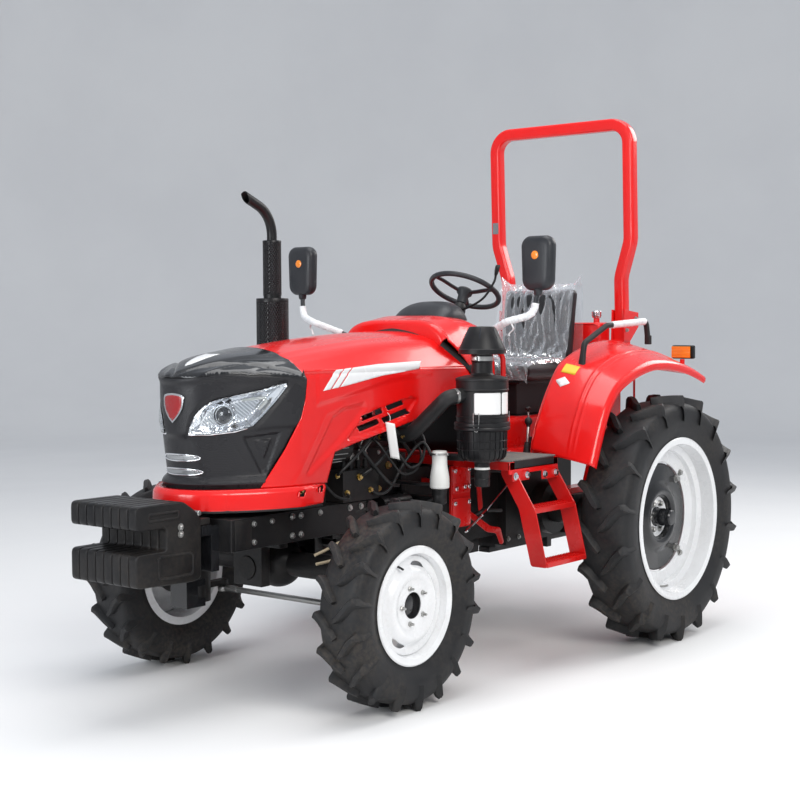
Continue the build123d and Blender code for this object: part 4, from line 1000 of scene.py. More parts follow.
# red side panel: everything on the wall between the nose, the lip and the engine's opening
nose_edge = [(fore(0.197), 1.318), (fore(0.180), 1.262), (fore(0.187), 1.206),
             (fore(0.212), 1.135), (fore(0.282), 1.010), (fore(0.372), lip_top)]
red_side = sz(nose_edge + [(fore(0.067), lip_top), (fore(0.017), 0.983),
                           (fore(-0.11), 1.011), (back(1.25), 1.078), (back(1.110), 1.110),
                           (back(0.800), 1.170), (back(0.784), 1.239), (back(0.842), 1.2972)])
side_slot_table = [(1.511, 1.121, 0.135), (1.359, 1.153, 0.105), (1.531, 1.078, 0.130),
                   (1.356, 1.108, 0.165)]
slot_slope = np.tan(np.radians(11.5))


def slot_outline(x, z, length, height=0.022):
    """A slanted slot with sheared ends, lower at its front."""
    corners = [(-0.5, -0.5), (0.5, -0.5), (0.5, 0.5), (-0.5, 0.5)]
    return sz([(back(x) + a * length + b * height * 0.9, z - a * length * slot_slope + b * height)
               for a, b in corners])


recess = sz(from_axle([(1588, 1103), (1498, 1143), (1251, 1186), (1205, 1172), (1299, 1092),
                    (1447, 1050), (1582, 1030), (1690, 1020)]))
rib_lines = [sz(from_axle(pair)) for pair in (
    [(1850, 1180), (1700, 1205)], [(1700, 1205), (1400, 1262)], [(1400, 1262), (1120, 1280)])]
fold_lines = [sz(from_axle(pair)) for pair in ([(1985, 870), (1800, 1140)],
                                            [(1800, 1140), (1690, 1170)])]
stripe = sz(from_axle([(1825, 1230), (1747, 1311), (1480, 1328), (1188, 1334), (1209, 1300),
                    (1450, 1280), (1693, 1245)]))


def side_relief(s, z):
    """Form of the red side: a raised upper band, a sunk lower field, a recess and two ribs."""
    upper = sz(from_axle([(1860, 1330), (1860, 1175), (1700, 1200), (1400, 1258), (1100, 1285),
                       (700, 1290), (700, 1330)]))
    low_field = sz(from_axle([(1765, 1130), (1690, 1165), (1560, 1180), (1540, 1150),
                           (1600, 1100), (1720, 1010), (1900, 900), (1935, 900)]))
    out = bump_of(inner_distance(upper, s, z), 0.016, 0.0045)
    out = out - bump_of(inner_distance(low_field, s, z), 0.022, 0.010)
    out = out - bump_of(inner_distance(recess, s, z), 0.010, 0.009)
    out = out + 0.003 * np.exp(-(along_lines(s, z, rib_lines) / 0.007) ** 2)
    return out + 0.002 * np.exp(-(along_lines(s, z, fold_lines) / 0.006) ** 2)


def red_wall(s, z):
    """The red side's surface: the bonnet's wall with its relief, drawn in to meet the crease."""
    return wall_point(s, z, side_relief(s, z) - 0.004 * np.exp(-((z - 1.297) / 0.006) ** 2))


side_holes = [slot_outline(*row) for row in side_slot_table]
side_panel = panel(red_wall, red_side, 0.0075, side_holes)



def crown_surface(x, q):
    """The red top: q counts up the slope from the crease and on to the middle of the roof."""
    slope_run, roof_run = 0.1450, 0.250
    shoulder = section_value(x, 2)
    y = np.where(q < slope_run, bonnet_half - (bonnet_half - shoulder) * q / slope_run,
                 shoulder * (1 - (q - slope_run) / roof_run))
    z = roof(x, y)
    ridge = 0.003 * np.exp(-((q - slope_run - 0.075) / 0.010) ** 2)
    return np.stack([x, y, z + ridge], -1)


def crown_outline():
    """The red top's outline in X and q: the nose's rear edge in front, the seal's edge behind."""
    front_edge = [(fore(0.197), 0.002), (fore(0.190), 0.145), (fore(0.183), 0.395)]
    rear_edge = [(back(0.985), 0.395), (back(0.965), 0.145), (back(0.842), 0.002)]
    return front_edge + rear_edge


crown_half = panel(crown_surface, crown_outline(), 0.0125)
hood_shape = joined([both(side_panel), both(crown_half)])
replacing(piece("bonnet_red_panels", hood_shape, "red_enamel", "engine_hood",
                wall=0.004, angle=24), "hood")

# black nose: an upright wall with two lamp openings, chin, slots and a sunk V in each side
lamp_outline = np.stack([
    s_at(back(0) + np.array([2.299, 2.297, 2.289, 2.271, 2.240, 2.190, 2.100, 2.004, 2.005,
                              2.051, 2.098, 2.128, 2.183, 2.253])),
    np.array([1.074, 1.100, 1.145, 1.182, 1.208, 1.223, 1.245, 1.271, 1.250, 1.192, 1.136,
              1.104, 1.086, 1.076])], -1)
nose_side = sz(nose_edge)


def nose_top(s):
    """Height of the nose's upper edge: just under the roof at the outline."""
    p = wall_point(s, 0 * s)
    return roof(p[:, 0], p[:, 1]) - 0.006


top_s = np.linspace(nose_side[0, 0] - 0.004, 0, 26)
nose_outline = np.concatenate([
    [(0.0, lip_top - 0.004)], nose_side[::-1],
    np.stack([top_s, np.minimum(nose_top(top_s), 1.330)], -1)])
nose_outline[1, 1] = lip_top - 0.004
vee = sz([(fore(0.430), 1.066), (fore(0.288), 1.082), (fore(0.340), 0.925), (fore(0.366), 0.915)])
vee_core = sz([(fore(0.392), 1.047), (fore(0.322), 1.056), (fore(0.354), 0.966)])
seam_lines = [sz([(fore(0.471), 1.070), (fore(0.380), 0.890)])]


def nose_relief(s, z):
    """Form of the nose: it leans back below a crease, bulges at the chin, and carries a V."""
    t = np.abs(s)
    crease = 1.068 + 0.10 * np.clip(t - 0.10, 0, 0.3)
    lean = -0.020 * np.clip((crease - z) / 0.16, 0, 1) * np.clip(1 - t / 0.75, 0.2, 1)
    shelf = -0.009 * (1 / (1 + np.exp((z - crease) / 0.004)))
    chin_top = 0.902 + 0.03 * np.clip(t - 0.2, 0, 0.3)
    chin = 0.012 * np.exp(-((z - (chin_top - 0.018)) / 0.012) ** 2)
    chin = chin + 0.010 / (1 + np.exp((z - chin_top) / 0.003))
    sunk = bump_of(inner_distance(vee, t, z), 0.010, 0.010)
    core = bump_of(inner_distance(vee_core, t, z), 0.010, 0.009)
    seam = 0.0022 * np.exp(-(along_lines(t, z, seam_lines) / 0.0022) ** 2)
    brow = 0.006 * np.exp(-((z - nose_top(s) + 0.012) / 0.012) ** 2)
    lamp_rim = 0.004 * np.exp(-(np.clip(nearest(lamp_outline, np.stack([t, z], -1))[1] - 0.004,
                                        0, 1) / 0.006) ** 2)
    return lean + shelf + chin - sunk + core - seam + brow - lamp_rim


def nose_surface(s, z):
    """The nose's skin: the outline moved by the relief."""
    return wall_point(s, z, nose_relief(s, z) - 0.001)


nose_half = panel(nose_surface, nose_outline, 0.0056, [lamp_outline])
replacing(piece("nose_skin", both(nose_half), "woven_black", "engine_hood",
                wall=0.004, angle=28), "nose")


def grown(outline, amount):
    """An outline moved outwards by an amount, each corner along its mean normal."""
    before, after = np.roll(outline, 1, 0), np.roll(outline, -1, 0)
    way = unit(after - before)
    normal = np.stack([way[:, 1], -way[:, 0]], -1)
    area = (outline[:, 0] * after[:, 1] - after[:, 0] * outline[:, 1]).sum()
    return outline + normal * amount * np.sign(area)


def lens_surface(s, z):
    """The lamp's clear cover: the nose's plain wall, slightly domed over its middle."""
    dome = bump_of(inner_distance(lamp_outline, s, z), 0.05, 0.006)
    return wall_point(s, z, dome - 0.002)


def bowl_surface(s, z):
    """The reflector behind the cover: it sinks from the lens edge to a flat floor with steps."""
    deep = inner_distance(lamp_outline, s, z)
    steps = 0.0015 * np.sin((s * 0.8 + z) * 420)
    return wall_point(s, z, -0.006 - bump_of(deep, 0.030, 0.040) + steps * (deep > 0.006))


cover = panel(lens_surface, grown(lamp_outline, -0.0012), 0.006)
replacing(piece("headlamp_covers", both(cover), "lens_clear", "engine_hood",
                wall=0.003, angle=40), "headlamps")
bowl = panel(bowl_surface, grown(lamp_outline, 0.004), 0.0045)
piece("headlamp_reflectors", both(bowl), "reflector", "engine_hood", wall=0.002,
      angle=40)
lamp_eye = wall_point(np.array([s_at(back(2.213))]), np.array([1.146]), -0.030)[0]
lamp_way = unit(np.array([0.86, 0.42, 0.0]))
eye = lathe([(-0.012, 0.046), (0.010, 0.046), (0.016, 0.042), (0.016, 0.037), (0.004, 0.035),
             (0.002, 0.031)], lamp_eye, lamp_way, 40)
piece("headlamp_eye_rings", both(eye), "chrome", "engine_hood", angle=40)
eye_glass = lathe([(-0.008, 0.036), (0.002, 0.034), (0.009, 0.024), (0.013, 0.012),
                   (0.014, 0.0)], lamp_eye, lamp_way, 40)
piece("headlamp_eyes", both(eye_glass), "lamp_dark", "engine_hood", angle=60)
bar_path = [wall_point(np.array([s_at(back(x))]), np.array([z]), -0.020)[0]
            for x, z in ((2.160, 1.204), (2.085, 1.212), (2.075, 1.200), (2.105, 1.168))]
piece("headlamp_light_bars", both(carried(bent_path(bar_path, [0.006, 0.008], 5),
                                          rounded_square(0.008, 0.010, 0.002))),
      "milky_plastic", "engine_hood", angle=40)

# glossy top panel of the nose, in X and Y
rear_line = fore(0.186)


def top_outline():
    """The top panel's half outline: the nose's plan in front and a straight rear edge."""
    s = np.linspace(0, s_at(fore(0.197)) - 0.002, 40)
    edge = wall_point(s, 0 * s, 0.006)[:, :2]
    return np.concatenate([edge, [(rear_line, 0.262), (rear_line, 0.0)]])


def top_surface(x, y):
    """The top panel: the roof, raised in a middle field between two creases, edge turned down."""
    field = 0.055 + 0.13 * np.clip((fore(0.577) - x) / 0.36, 0, 1)
    ridge = 0.006 / (1 + np.exp((np.abs(y) - field) / 0.005))
    outer = 0.004 * np.exp(-((np.abs(y) - field - 0.055) / 0.010) ** 2)
    p = top_outline()
    edge = nearest(p[:-2], np.stack([x, np.abs(y)], -1))[1]
    z = roof(np.minimum(x, fore(0.577)), np.minimum(np.abs(y), bonnet_half))
    return np.stack([x, y, z + 0.003 + ridge + outer - 0.010 * np.exp(-(edge / 0.008) ** 2)], -1)


top_half = panel(top_surface, top_outline(), 0.007)
piece("nose_top_panel", both(top_half), "gloss_black", "engine_hood",
      wall=0.005, angle=30)
drop = smooth_path([(fore(0.515), 0.0), (fore(0.487), 0.020), (fore(0.430), 0.034),
                    (fore(0.365), 0.040)], 16)
drop = np.concatenate([drop, [(fore(0.375), 0.0)]])
tear = panel(lambda x, y: top_surface(x, y) + [0, 0, 0.0016], drop, 0.006)
piece("nose_teardrop", both(tear), "white_enamel", "engine_hood", wall=0.001)

# red lip under the nose, with vents in its sides, and a rubber trim below it
lip_table = (lip_s, lip_xy, lip_out)


def lip_end(x, z):
    """(X, Z) on the lip as (s, Z)."""
    return float(s_at(x, (lip_s, lip_xy))), z


def lip_surface(s, z):
    """The lip: it leans in towards its top edge and folds back at its foot."""
    t = np.clip((z - lip_base) / (lip_top - lip_base), 0, 1)
    rear_fade = np.clip((np.abs(s) - 0.62) / 0.20, 0, 1)
    crease = 0.0045 * np.exp(-((np.abs(s) - 0.16) / 0.008) ** 2)
    crease = crease + 0.0035 * np.exp(-((np.abs(s) - 0.245) / 0.006) ** 2)
    out = -0.006 * t - 0.010 * np.clip(t - 0.8, 0, 1) * 5 - 0.016 * rear_fade - crease * (1 - t)
    return wall_point(s, z, out, lip_table)


lip_back = lip_end(fore(0.102), lip_base)[0]
lip_outline = [(0, lip_base), lip_end(fore(0.310), lip_base), (lip_back, lip_base + 0.006),
               lip_end(fore(0.072), lip_top), (0, lip_top)]
vents = []
for vent_x, vent_z in ((1.952, 0.842), (1.838, 0.850)):
    vents.append([lip_end(back(vent_x) + a, vent_z + b - 0.004) for a, b in
                  ((-0.018, 0.014), (0.022, 0.006), (0.026, -0.012), (-0.006, -0.014))])
lip_half = panel(lip_surface, lip_outline, 0.0065, vents)
s_line = np.linspace(-lip_back, lip_back, 160)
shelf_low = wall_point(s_line, np.full_like(s_line, lip_top - 0.002), -0.016, lip_table)
shelf_high = wall_point(s_line, np.full_like(s_line, lip_top), -0.004)
fade = np.clip((np.abs(s_line) - 0.62) / 0.2, 0, 1)[:, None]
shelf_low = shelf_low * (1 - fade) + wall_point(s_line, np.full_like(s_line, lip_top - 0.002),
                                                -0.030, lip_table) * fade
shelf = grid(np.stack([shelf_low, shelf_high], 1))
piece("bonnet_lip", joined([both(lip_half), shelf]), "red_enamel", "engine_hood",
      wall=0.004, angle=30)
trim_path = wall_point(s_line, np.full_like(s_line, lip_base - 0.001), -0.006, lip_table)
piece("lip_rubber_trim", carried(trim_path[::2], rounded_square(0.010, 0.013, 0.003, 2)),
      "hose_rubber", "engine_hood")
vent_edges = []
for vent in vents:
    a, b = np.array(vent[1]), np.array(vent[2])
    t = np.linspace(0, 1, 6)[:, None]
    line = a * (1 - t) + b * t
    vent_edges.append(tube(wall_point(line[:, 0], line[:, 1], 0.0015, lip_table), 0.0035, 8))
piece("lip_vent_edges", both(joined(vent_edges)), "red_enamel", "engine_hood")

# chrome slots and blank badge on the nose's front
slot_strips = []
slot_darks = []
for slot_z, slot_half in ((0.984, 0.113), (0.929, 0.122)):
    t = np.linspace(0, tau, 60, endpoint=False)
    shape_s = np.sign(np.cos(t)) * np.abs(np.cos(t)) ** 0.75 * slot_half
    shape_z = slot_z + np.sin(t) * 0.0125
    loop = nose_surface(shape_s, shape_z) + [0.002, 0, 0]
    slot_strips.append(looped(loop, 0.0032))
    flat = np.stack([shape_s, shape_z], -1)
    slot_darks.append(panel(lambda s, z: nose_surface(s, z) + [0.0015, 0, 0], flat, 0.006))
piece("nose_slot_frames", joined(slot_strips), "chrome", "engine_hood", angle=50)
piece("nose_slot_fill", joined(slot_darks), "chrome_dull", "engine_hood", wall=0.001)
badge = smooth_path([(0.0, 1.118), (0.022, 1.138), (0.043, 1.166), (0.052, 1.196),
                     (0.050, 1.222), (0.030, 1.230), (0.0, 1.233)], 22)
badge = np.concatenate([badge, badge[-2:0:-1] * [-1, 1]])
badge_middle = np.array([0.0, 1.180])


def badge_layer(scale, out):
    """The badge's shield, scaled about its middle and set out from the nose."""
    flat = (badge - badge_middle) * scale + badge_middle
    return panel(lambda s, z: wall_point(s, z, out), flat, 0.006)


piece("badge_border", badge_layer(1.0, 0.0065), "chrome", "engine_hood", wall=0.006,
      bevel=0.001)
piece("badge_field", badge_layer(0.86, 0.0078), "badge_red", "engine_hood",
      wall=0.003)

# white stripe with two slanted gaps, and a black seal around the bonnet's rear edge
def stripe_cut(share):
    """A slanted cut across the stripe: its lower and its upper end."""
    return (stripe[0] + (stripe[6] - stripe[0]) * share * 2.0,
            stripe[1] + (stripe[2] - stripe[1]) * share)


def stripe_part(low, high):
    """The stripe between two slanted cuts; the last part runs on to the stripe's rear end."""
    lower, upper = stripe_cut(low)
    if high < 1:
        lower_end, upper_end = stripe_cut(high)
        return np.array([lower, upper, upper_end, lower_end])
    return np.array([lower, upper, *stripe[2:7]])


stripes = [panel(lambda s, z: red_wall(s, z) + [0, 0.0012, 0], stripe_part(low, high), 0.006)
           for low, high in ((0.0, 0.17), (0.20, 0.36), (0.39, 1.0))]
piece("bonnet_stripe", both(joined(stripes)), "white_enamel", "engine_hood",
      wall=0.0006)
seal_low_z = [1.180, 1.20, 1.225, 1.25, 1.27, 1.294]
seal_y = np.concatenate([np.full(6, 0.333), np.linspace(0.328, 0.252, 6),
                         np.linspace(0.245, 0, 14)])
seal_x = np.concatenate([np.interp(seal_low_z, [1.170, 1.239, 1.297],
                                   [back(0.796), back(0.784), back(0.842)]),
                         np.linspace(back(0.850), back(0.965), 6),
                         np.linspace(back(0.968), back(0.985), 14)])
seal_z = np.concatenate([seal_low_z, roof(seal_x[6:], seal_y[6:]) + 0.002])
seal_half = np.stack([seal_x - 0.006, seal_y, seal_z], -1)
seal = np.concatenate([seal_half, seal_half[-2::-1] * [1, -1, 1]])
piece("bonnet_rear_seal", carried(seal, rounded_square(0.034, 0.012, 0.004, 2)), "hose_rubber",
      "engine_hood", angle=60)


# ---- rounded blocks --------------------------------------------------------------------
def rounded_outline(points, radius, steps=5):
    """A closed outline whose corners are replaced by quadratic curves that start a radius away."""
    p = np.asarray(points, float)
    before, after = np.roll(p, 1, 0) - p, np.roll(p, -1, 0) - p
    reach_b = np.minimum(radius, np.linalg.norm(before, axis=1) * 0.48)[:, None]
    reach_a = np.minimum(radius, np.linalg.norm(after, axis=1) * 0.48)[:, None]
    start, end = p + unit(before) * reach_b, p + unit(after) * reach_a
    t = np.linspace(0, 1, steps)[None, :, None]
    arcs = (1 - t) ** 2 * start[:, None] + 2 * t * (1 - t) * p[:, None] + t ** 2 * end[:, None]
    return arcs.reshape(-1, 2)


def rounded_slab(outline, low, high, plane="xz", edge=0.006, steps=4):
    """A prism whose rim is a quarter circle: each ring is inset by r (1 - sin) near the ends."""
    angle = np.linspace(0, tau / 4, steps)
    inset = edge * (1 - np.sin(angle))
    reach = edge * (1 - np.cos(angle))
    order = {"xz": (0, 2, 1), "yz": (1, 2, 0), "xy": (0, 1, 2)}[plane]
    rings = [(low + a, b) for a, b in zip(reach, inset)]
    rings += [(high - a, b) for a, b in zip(reach[::-1], inset[::-1])]
    points = np.zeros((len(rings), len(outline), 3))
    for row, (place, amount) in zip(points, rings):
        flat = grown(outline, -amount)
        row[:, order[0]], row[:, order[1]], row[:, order[2]] = flat[:, 0], flat[:, 1], place
    return grid(points, round_cols=True, flat=flat)


def oblong(u0, u1, v0, v1):
    """The corners of an upright rectangle."""
    return [(u0, v0), (u1, v0), (u1, v1), (u0, v1)]


def block(x0, x1, y0, y1, z0, z1, edge=0.004, corner=0.006):
    """A box with rounded edges."""
    outline = rounded_outline(oblong(x0, x1, z0, z1), corner, 4)
    return rounded_slab(outline, min(y0, y1), max(y0, y1), "xz", edge, 3)


def rod(start, end, radius, sides=20, edge=0.002):
    """A round bar with its two edges broken."""
    start, end = np.asarray(start, float), np.asarray(end, float)
    length = np.linalg.norm(end - start)
    return lathe([(0, 0), (0, radius - edge), (edge, radius), (length - edge, radius),
                  (length, radius - edge), (length, 0)], start, end - start, sides)


# ---- cowl, instrument cover and steering -----------------------------------------------
cowl_loop = rounded_outline([(0.331, 0.900), (0.333, 1.180), (0.343, 1.330), (0.276, 1.478),
                             (0.180, 1.519), (-0.180, 1.519), (-0.276, 1.478), (-0.331, 0.900)],
                            0.085, 9)
cowl_loop = cowl_loop[9:9 * 5 + 1]
cowl_section = np.concatenate([[(0.331, 0.900), (0.331, 1.080)], cowl_loop[:-1],
                               [(0.0, 1.519)]])
cowl_section = cowl_section[cowl_section[:, 0] >= 0]
cowl_length = run_length(cowl_section)


def cowl_skin(x, q):
    """The cowl: one section for every X, its foot drawn in and its top following the rake."""
    y = np.interp(q, cowl_length, cowl_section[:, 0])
    z = np.interp(q, cowl_length, cowl_section[:, 1])
    y = y - 0.058 * np.clip((1.10 - z) / 0.20, 0, 1)
    rise = np.interp(x, [back(0.640), back(0.700), back(0.830), back(0.930), back(0.978)],
                     [-0.014, 0.002, 0.011, -0.006, -0.012])
    z = z + rise * np.clip((z - 1.40) / 0.10, 0, 1)
    rear_draft = 0.010 * np.clip((x - back(0.70)) / 0.2, -1, 1)
    return np.stack([x, y - 0.004 + rear_draft * 0.3, z], -1)


def cowl_q(z):
    """Arc length along the cowl's section at a height."""
    return float(np.interp(z, cowl_section[:, 1], cowl_length))


cowl_end = cowl_length[-1]
cowl_outline = [(back(0.642), 0.002), (back(0.776), 0.002), (back(0.776), cowl_q(1.239)),
                (back(0.949), cowl_q(1.418)), (back(0.949), cowl_end), (back(0.642), cowl_end)]
cowl_half_skin = panel(cowl_skin, cowl_outline, 0.012)
# the front of the cowl: a quarter circle rolls the skin over into an upright wall
roll = np.linspace(0, tau / 4, 8)
front_in = np.concatenate([0.028 * (1 - np.cos(roll)), [0.045, 0.075, 0.110, 0.150]])
front_x = np.concatenate([0.028 * np.sin(roll) + back(0.949), np.full(4, back(0.978))])
front_q = np.linspace(cowl_q(1.432), cowl_end, 46)
edge_line = cowl_skin(np.full(46, back(0.949)), front_q)
heart = np.stack([np.zeros(46), edge_line[:, 1] * 0.45, np.full(46, 1.22)], -1)
inward = unit((heart - edge_line) * [0, 1, 1])
front_wall = edge_line[None] + inward[None] * front_in[:, None, None]
front_wall[..., 0] = front_x[:, None]
front_wall[..., 1] = np.maximum(front_wall[..., 1], 0) * (edge_line[:, 1] > 1e-6)[None]
cowl_half_skin = joined([cowl_half_skin, grid(front_wall)])
replacing(piece("cowl_skin", both(cowl_half_skin), "red_enamel", "chassis",
                wall=0.006, angle=30), "cowl")
dash_line = np.array([(back(0.768), 0.905), (back(0.768), 1.19), (back(0.750), 1.235),
                      (back(0.705), 1.375), (back(0.690), 1.405), (back(0.648), 1.416)])
dash_line = smooth_path(dash_line, 30)
dash_y = np.linspace(-0.270, 0.270, 22)
dash = sheet_of(dash_line[:, None, 0], dash_y[None], dash_line[:, None, 1])
piece("dash_underside", grid(dash), "satin_black", "chassis", wall=0.004,
      facing=False)
face_outline = rounded_outline([(-0.300, 1.30), (-0.320, 1.32), (-0.262, 1.455), (-0.195, 1.494),
                                (0.195, 1.494), (0.262, 1.455), (0.320, 1.32), (0.300, 1.30),
                                (0.262, 1.412), (-0.262, 1.412)], 0.02)
piece("dash_face", rounded_slab(face_outline, back(0.646), back(0.660), "yz", 0.003),
      "grey_plastic", "chassis")
hinge_pin = rod((back(0.960), -0.22, 1.418), (back(0.960), 0.22, 1.418), 0.006)
piece("hood_hinge_pin", hinge_pin, "zinc", "chassis")

cover_x = np.array([back(0.797), back(0.785), back(0.750), back(0.718), back(0.690), back(0.660),
                    back(0.630), back(0.606), back(0.596)])
cover_top = np.array([1.524, 1.541, 1.572, 1.588, 1.595, 1.597, 1.590, 1.566, 1.530])
cover_line = smooth_path(np.stack([cover_x, cover_top], -1), 34)
cover_t = np.sin(np.linspace(-1, 1, 37) * tau / 4)
cover_foot = np.interp(cover_line[:, 0], [back(0.797), back(0.684), back(0.642), back(0.594)][::-1],
                       [1.516, 1.516, 1.508, 1.506][::-1])
cover_wide = 0.164 * (1 - 0.22 * np.clip((np.abs(cover_line[:, 0] - back(0.69)) - 0.02) / 0.1,
                                         0, 1) ** 2)
cover = sheet_of(cover_line[:, None, 0], cover_t[None] * cover_wide[:, None],
                 cover_foot[:, None] + (cover_line[:, 1] - cover_foot)[:, None]
                 * (1 - np.abs(cover_t[None]) ** 3.2) ** 0.5)
cover_floor = grid(np.stack([cover[:, 0], cover[:, -1]]))
replacing(piece("instrument_cover", joined([grid(cover), cover_floor]), "grey_plastic",
                "chassis", angle=50), "instrument_dome")
tilt = np.radians(28)
steer_axis = np.array([-np.sin(tilt), 0, np.cos(tilt)])
steer_centre = np.array([back(0.414), 0.0, 1.651])
gauge_way = unit(np.array([-0.93, 0, 0.36]))
for index, gauge_y in enumerate((-0.085, 0.0, 0.085)):
    seat_point = np.array([back(0.598), gauge_y, 1.534])
    rim_shape = lathe([(-0.006, 0.036), (0.004, 0.036), (0.005, 0.033), (0.001, 0.030),
                       (-0.001, 0.0)], seat_point, gauge_way, 40)
    piece("gauge_%d" % index, rim_shape, "lamp_dark", "chassis", angle=45)

rim_profile = ring(0.0128, 14) + [0.168, 0]
torus = lathe(rim_profile[:, ::-1], steer_centre, steer_axis, 96, closed=True)
wheel_x = np.array([np.cos(tilt), 0, np.sin(tilt)])
wheel_y = np.cross(steer_axis, wheel_x)
spokes = []
for turn in np.radians([90, 210, 330]):
    way = wheel_x * np.cos(turn) + wheel_y * np.sin(turn)
    line = smooth_path([steer_centre + way * 0.020 - steer_axis * 0.012,
                        steer_centre + way * 0.070 - steer_axis * 0.008,
                        steer_centre + way * 0.120 - steer_axis * 0.001,
                        steer_centre + way * 0.160], 12)
    side = np.cross(steer_axis, way)
    section = rounded_square(0.026, 0.009, 0.003, 3)
    across = section[None, :, :1] * side + section[None, :, 1:] * steer_axis
    spokes.append(grid(line[:, None] + across, round_cols=True, cap_rows=True))
hub = lathe([(-0.0695, 0), (-0.0695, 0.024), (-0.030, 0.026), (-0.016, 0.038), (-0.002, 0.040),
             (0.006, 0.034), (0.0079, 0.026), (0.0079, 0)], steer_centre, steer_axis, 36)
replacing(piece("steering_wheel_rim", joined([torus] + spokes + [hub]), "grey_plastic",
                "steering_handwheel", angle=40), "steering_wheel")
folds = np.linspace(-0.430, -0.255, 85)
boot = [(-0.430, 0.0)] + [(a, 0.0285 + 0.0030 * np.cos((a + 0.43) / 0.175 * tau * 10))
                          for a in folds] + [(-0.250, 0.0)]
shroud = [(-0.262, 0.0), (-0.262, 0.030), (-0.250, 0.032), (-0.105, 0.032), (-0.080, 0.027),
          (-0.070, 0.020), (-0.070, 0.0)]
column_mount = block(back(0.560), back(0.690), -0.034, 0.034, 1.330, 1.400, 0.006, 0.012)
replacing(piece("steering_boot", joined([lathe(boot, steer_centre, steer_axis, 36), column_mount]),
                "hose_rubber", "chassis", angle=50), "steering_column")
piece("steering_shroud", lathe(shroud, steer_centre, steer_axis, 36), "satin_black", "chassis")
stalk = steer_centre - steer_axis * 0.110
stalk_path = smooth_path([stalk, stalk + [0.015, 0.080, 0.020], stalk + [0.005, 0.150, 0.060],
                          stalk + [-0.020, 0.190, 0.130], stalk + [-0.026, 0.200, 0.172]], 20)
knob_way = unit(stalk_path[-1] - stalk_path[-2])
knob_rows = []
for along, wide, thick in ((-0.012, 0.010, 0.010), (0.0, 0.022, 0.016), (0.016, 0.036, 0.020),
                           (0.036, 0.038, 0.021), (0.043, 0.030, 0.016)):
    flat = rounded_square(wide, thick, 0.0045, 4)
    knob_rows.append(stalk_path[-1] + knob_way * along + flat[:, :1] * np.array([0.75, 0.66, 0])
                     + flat[:, 1:] * np.array([-0.66, 0.75, 0]))
knob = grid(np.stack(knob_rows), round_cols=True, cap_rows=True)
piece("throttle_stalk", joined([tube(stalk_path, 0.0055, 12), knob]), "satin_black", "chassis",
      angle=50)


# ---- fenders, platform and steps -------------------------------------------------------
def arc_chain(points, per_arc=9):
    """A chain of arcs, each through three neighbouring points of a list."""
    arcs = [circle_through(points[k], points[k + 1], points[k + 2], per_arc)
            for k in (0, 2, 4, 6)]
    return np.concatenate([arcs[0]] + [arc[1:] for arc in arcs[1:]])


fender_outer = np.array([(600, 866), (545, 990), (493, 1096), (440, 1165), (383, 1217),
                         (210, 1284), (35, 1316), (-240, 1297), (-495, 1228)]) / 1000
fender_inner = np.array([(600, 922), (570, 1010), (529, 1088), (470, 1181), (360, 1308),
                         (175, 1379), (-84, 1414), (-300, 1380), (-500, 1262)]) / 1000


def even(curve, count):
    """A curve told again at even steps of its length."""
    length = run_length(curve)
    at = np.linspace(0, length[-1], count)
    return np.stack([np.interp(at, length, curve[:, k]) for k in range(curve.shape[1])], -1)


def soft_curve(curve, count, spread_rows=3):
    """A curve at even steps, averaged with its neighbours so that bends run smoothly."""
    dense = even(curve, count)
    padded = np.pad(dense, ((spread_rows, spread_rows), (0, 0)), mode="edge")
    mean = sum(padded[k:k + count] for k in range(2 * spread_rows + 1)) / (2 * spread_rows + 1)
    mean[:spread_rows], mean[-spread_rows:] = dense[:spread_rows], dense[-spread_rows:]
    return mean


arch_rows = 110
fender_inside, fender_width = 0.500, 0.322
wall_rear, wall_front = back(-0.22), back(0.59)
floor_top = 0.901
arch_inner = soft_curve(arc_chain(fender_inner), arch_rows)
arch_outer = soft_curve(arc_chain(fender_outer), arch_rows)


def fender_point(u, v, lift=0.0):
    """The fender's sheet: u runs along the arch, v from the seat side outwards.

    Between its two edges the sheet is slightly crowned, carries two pressed ridges near the
    outside, and its normal is taken as the way out from the wheel's middle.
    """
    k = u * (arch_rows - 1)
    rows = np.arange(arch_rows)
    inner = np.stack([np.interp(k, rows, arch_inner[:, c]) for c in (0, 1)], -1)
    outer = np.stack([np.interp(k, rows, arch_outer[:, c]) for c in (0, 1)], -1)
    flat = inner + (outer - inner) * v[..., None]
    way = unit(flat - [0.0, rear_radius])
    fade = np.clip(u * 9, 0, 1) * np.clip((1 - u) * 9, 0, 1)
    crown = 0.010 * 4 * v * (1 - v) * fade
    ridge = 0.0045 * np.exp(-((v - 0.60) / 0.020) ** 2) + 0.0035 * np.exp(-((v - 0.68) / 0.02) ** 2)
    roll = -0.012 * np.clip((v - 0.95) / 0.05, 0, 1) ** 2
    flat = flat + way * (crown + ridge * fade + roll + lift - 0.004)[..., None]
    return np.stack([back(flat[..., 0]), fender_inside + fender_width * v, flat[..., 1]], -1)


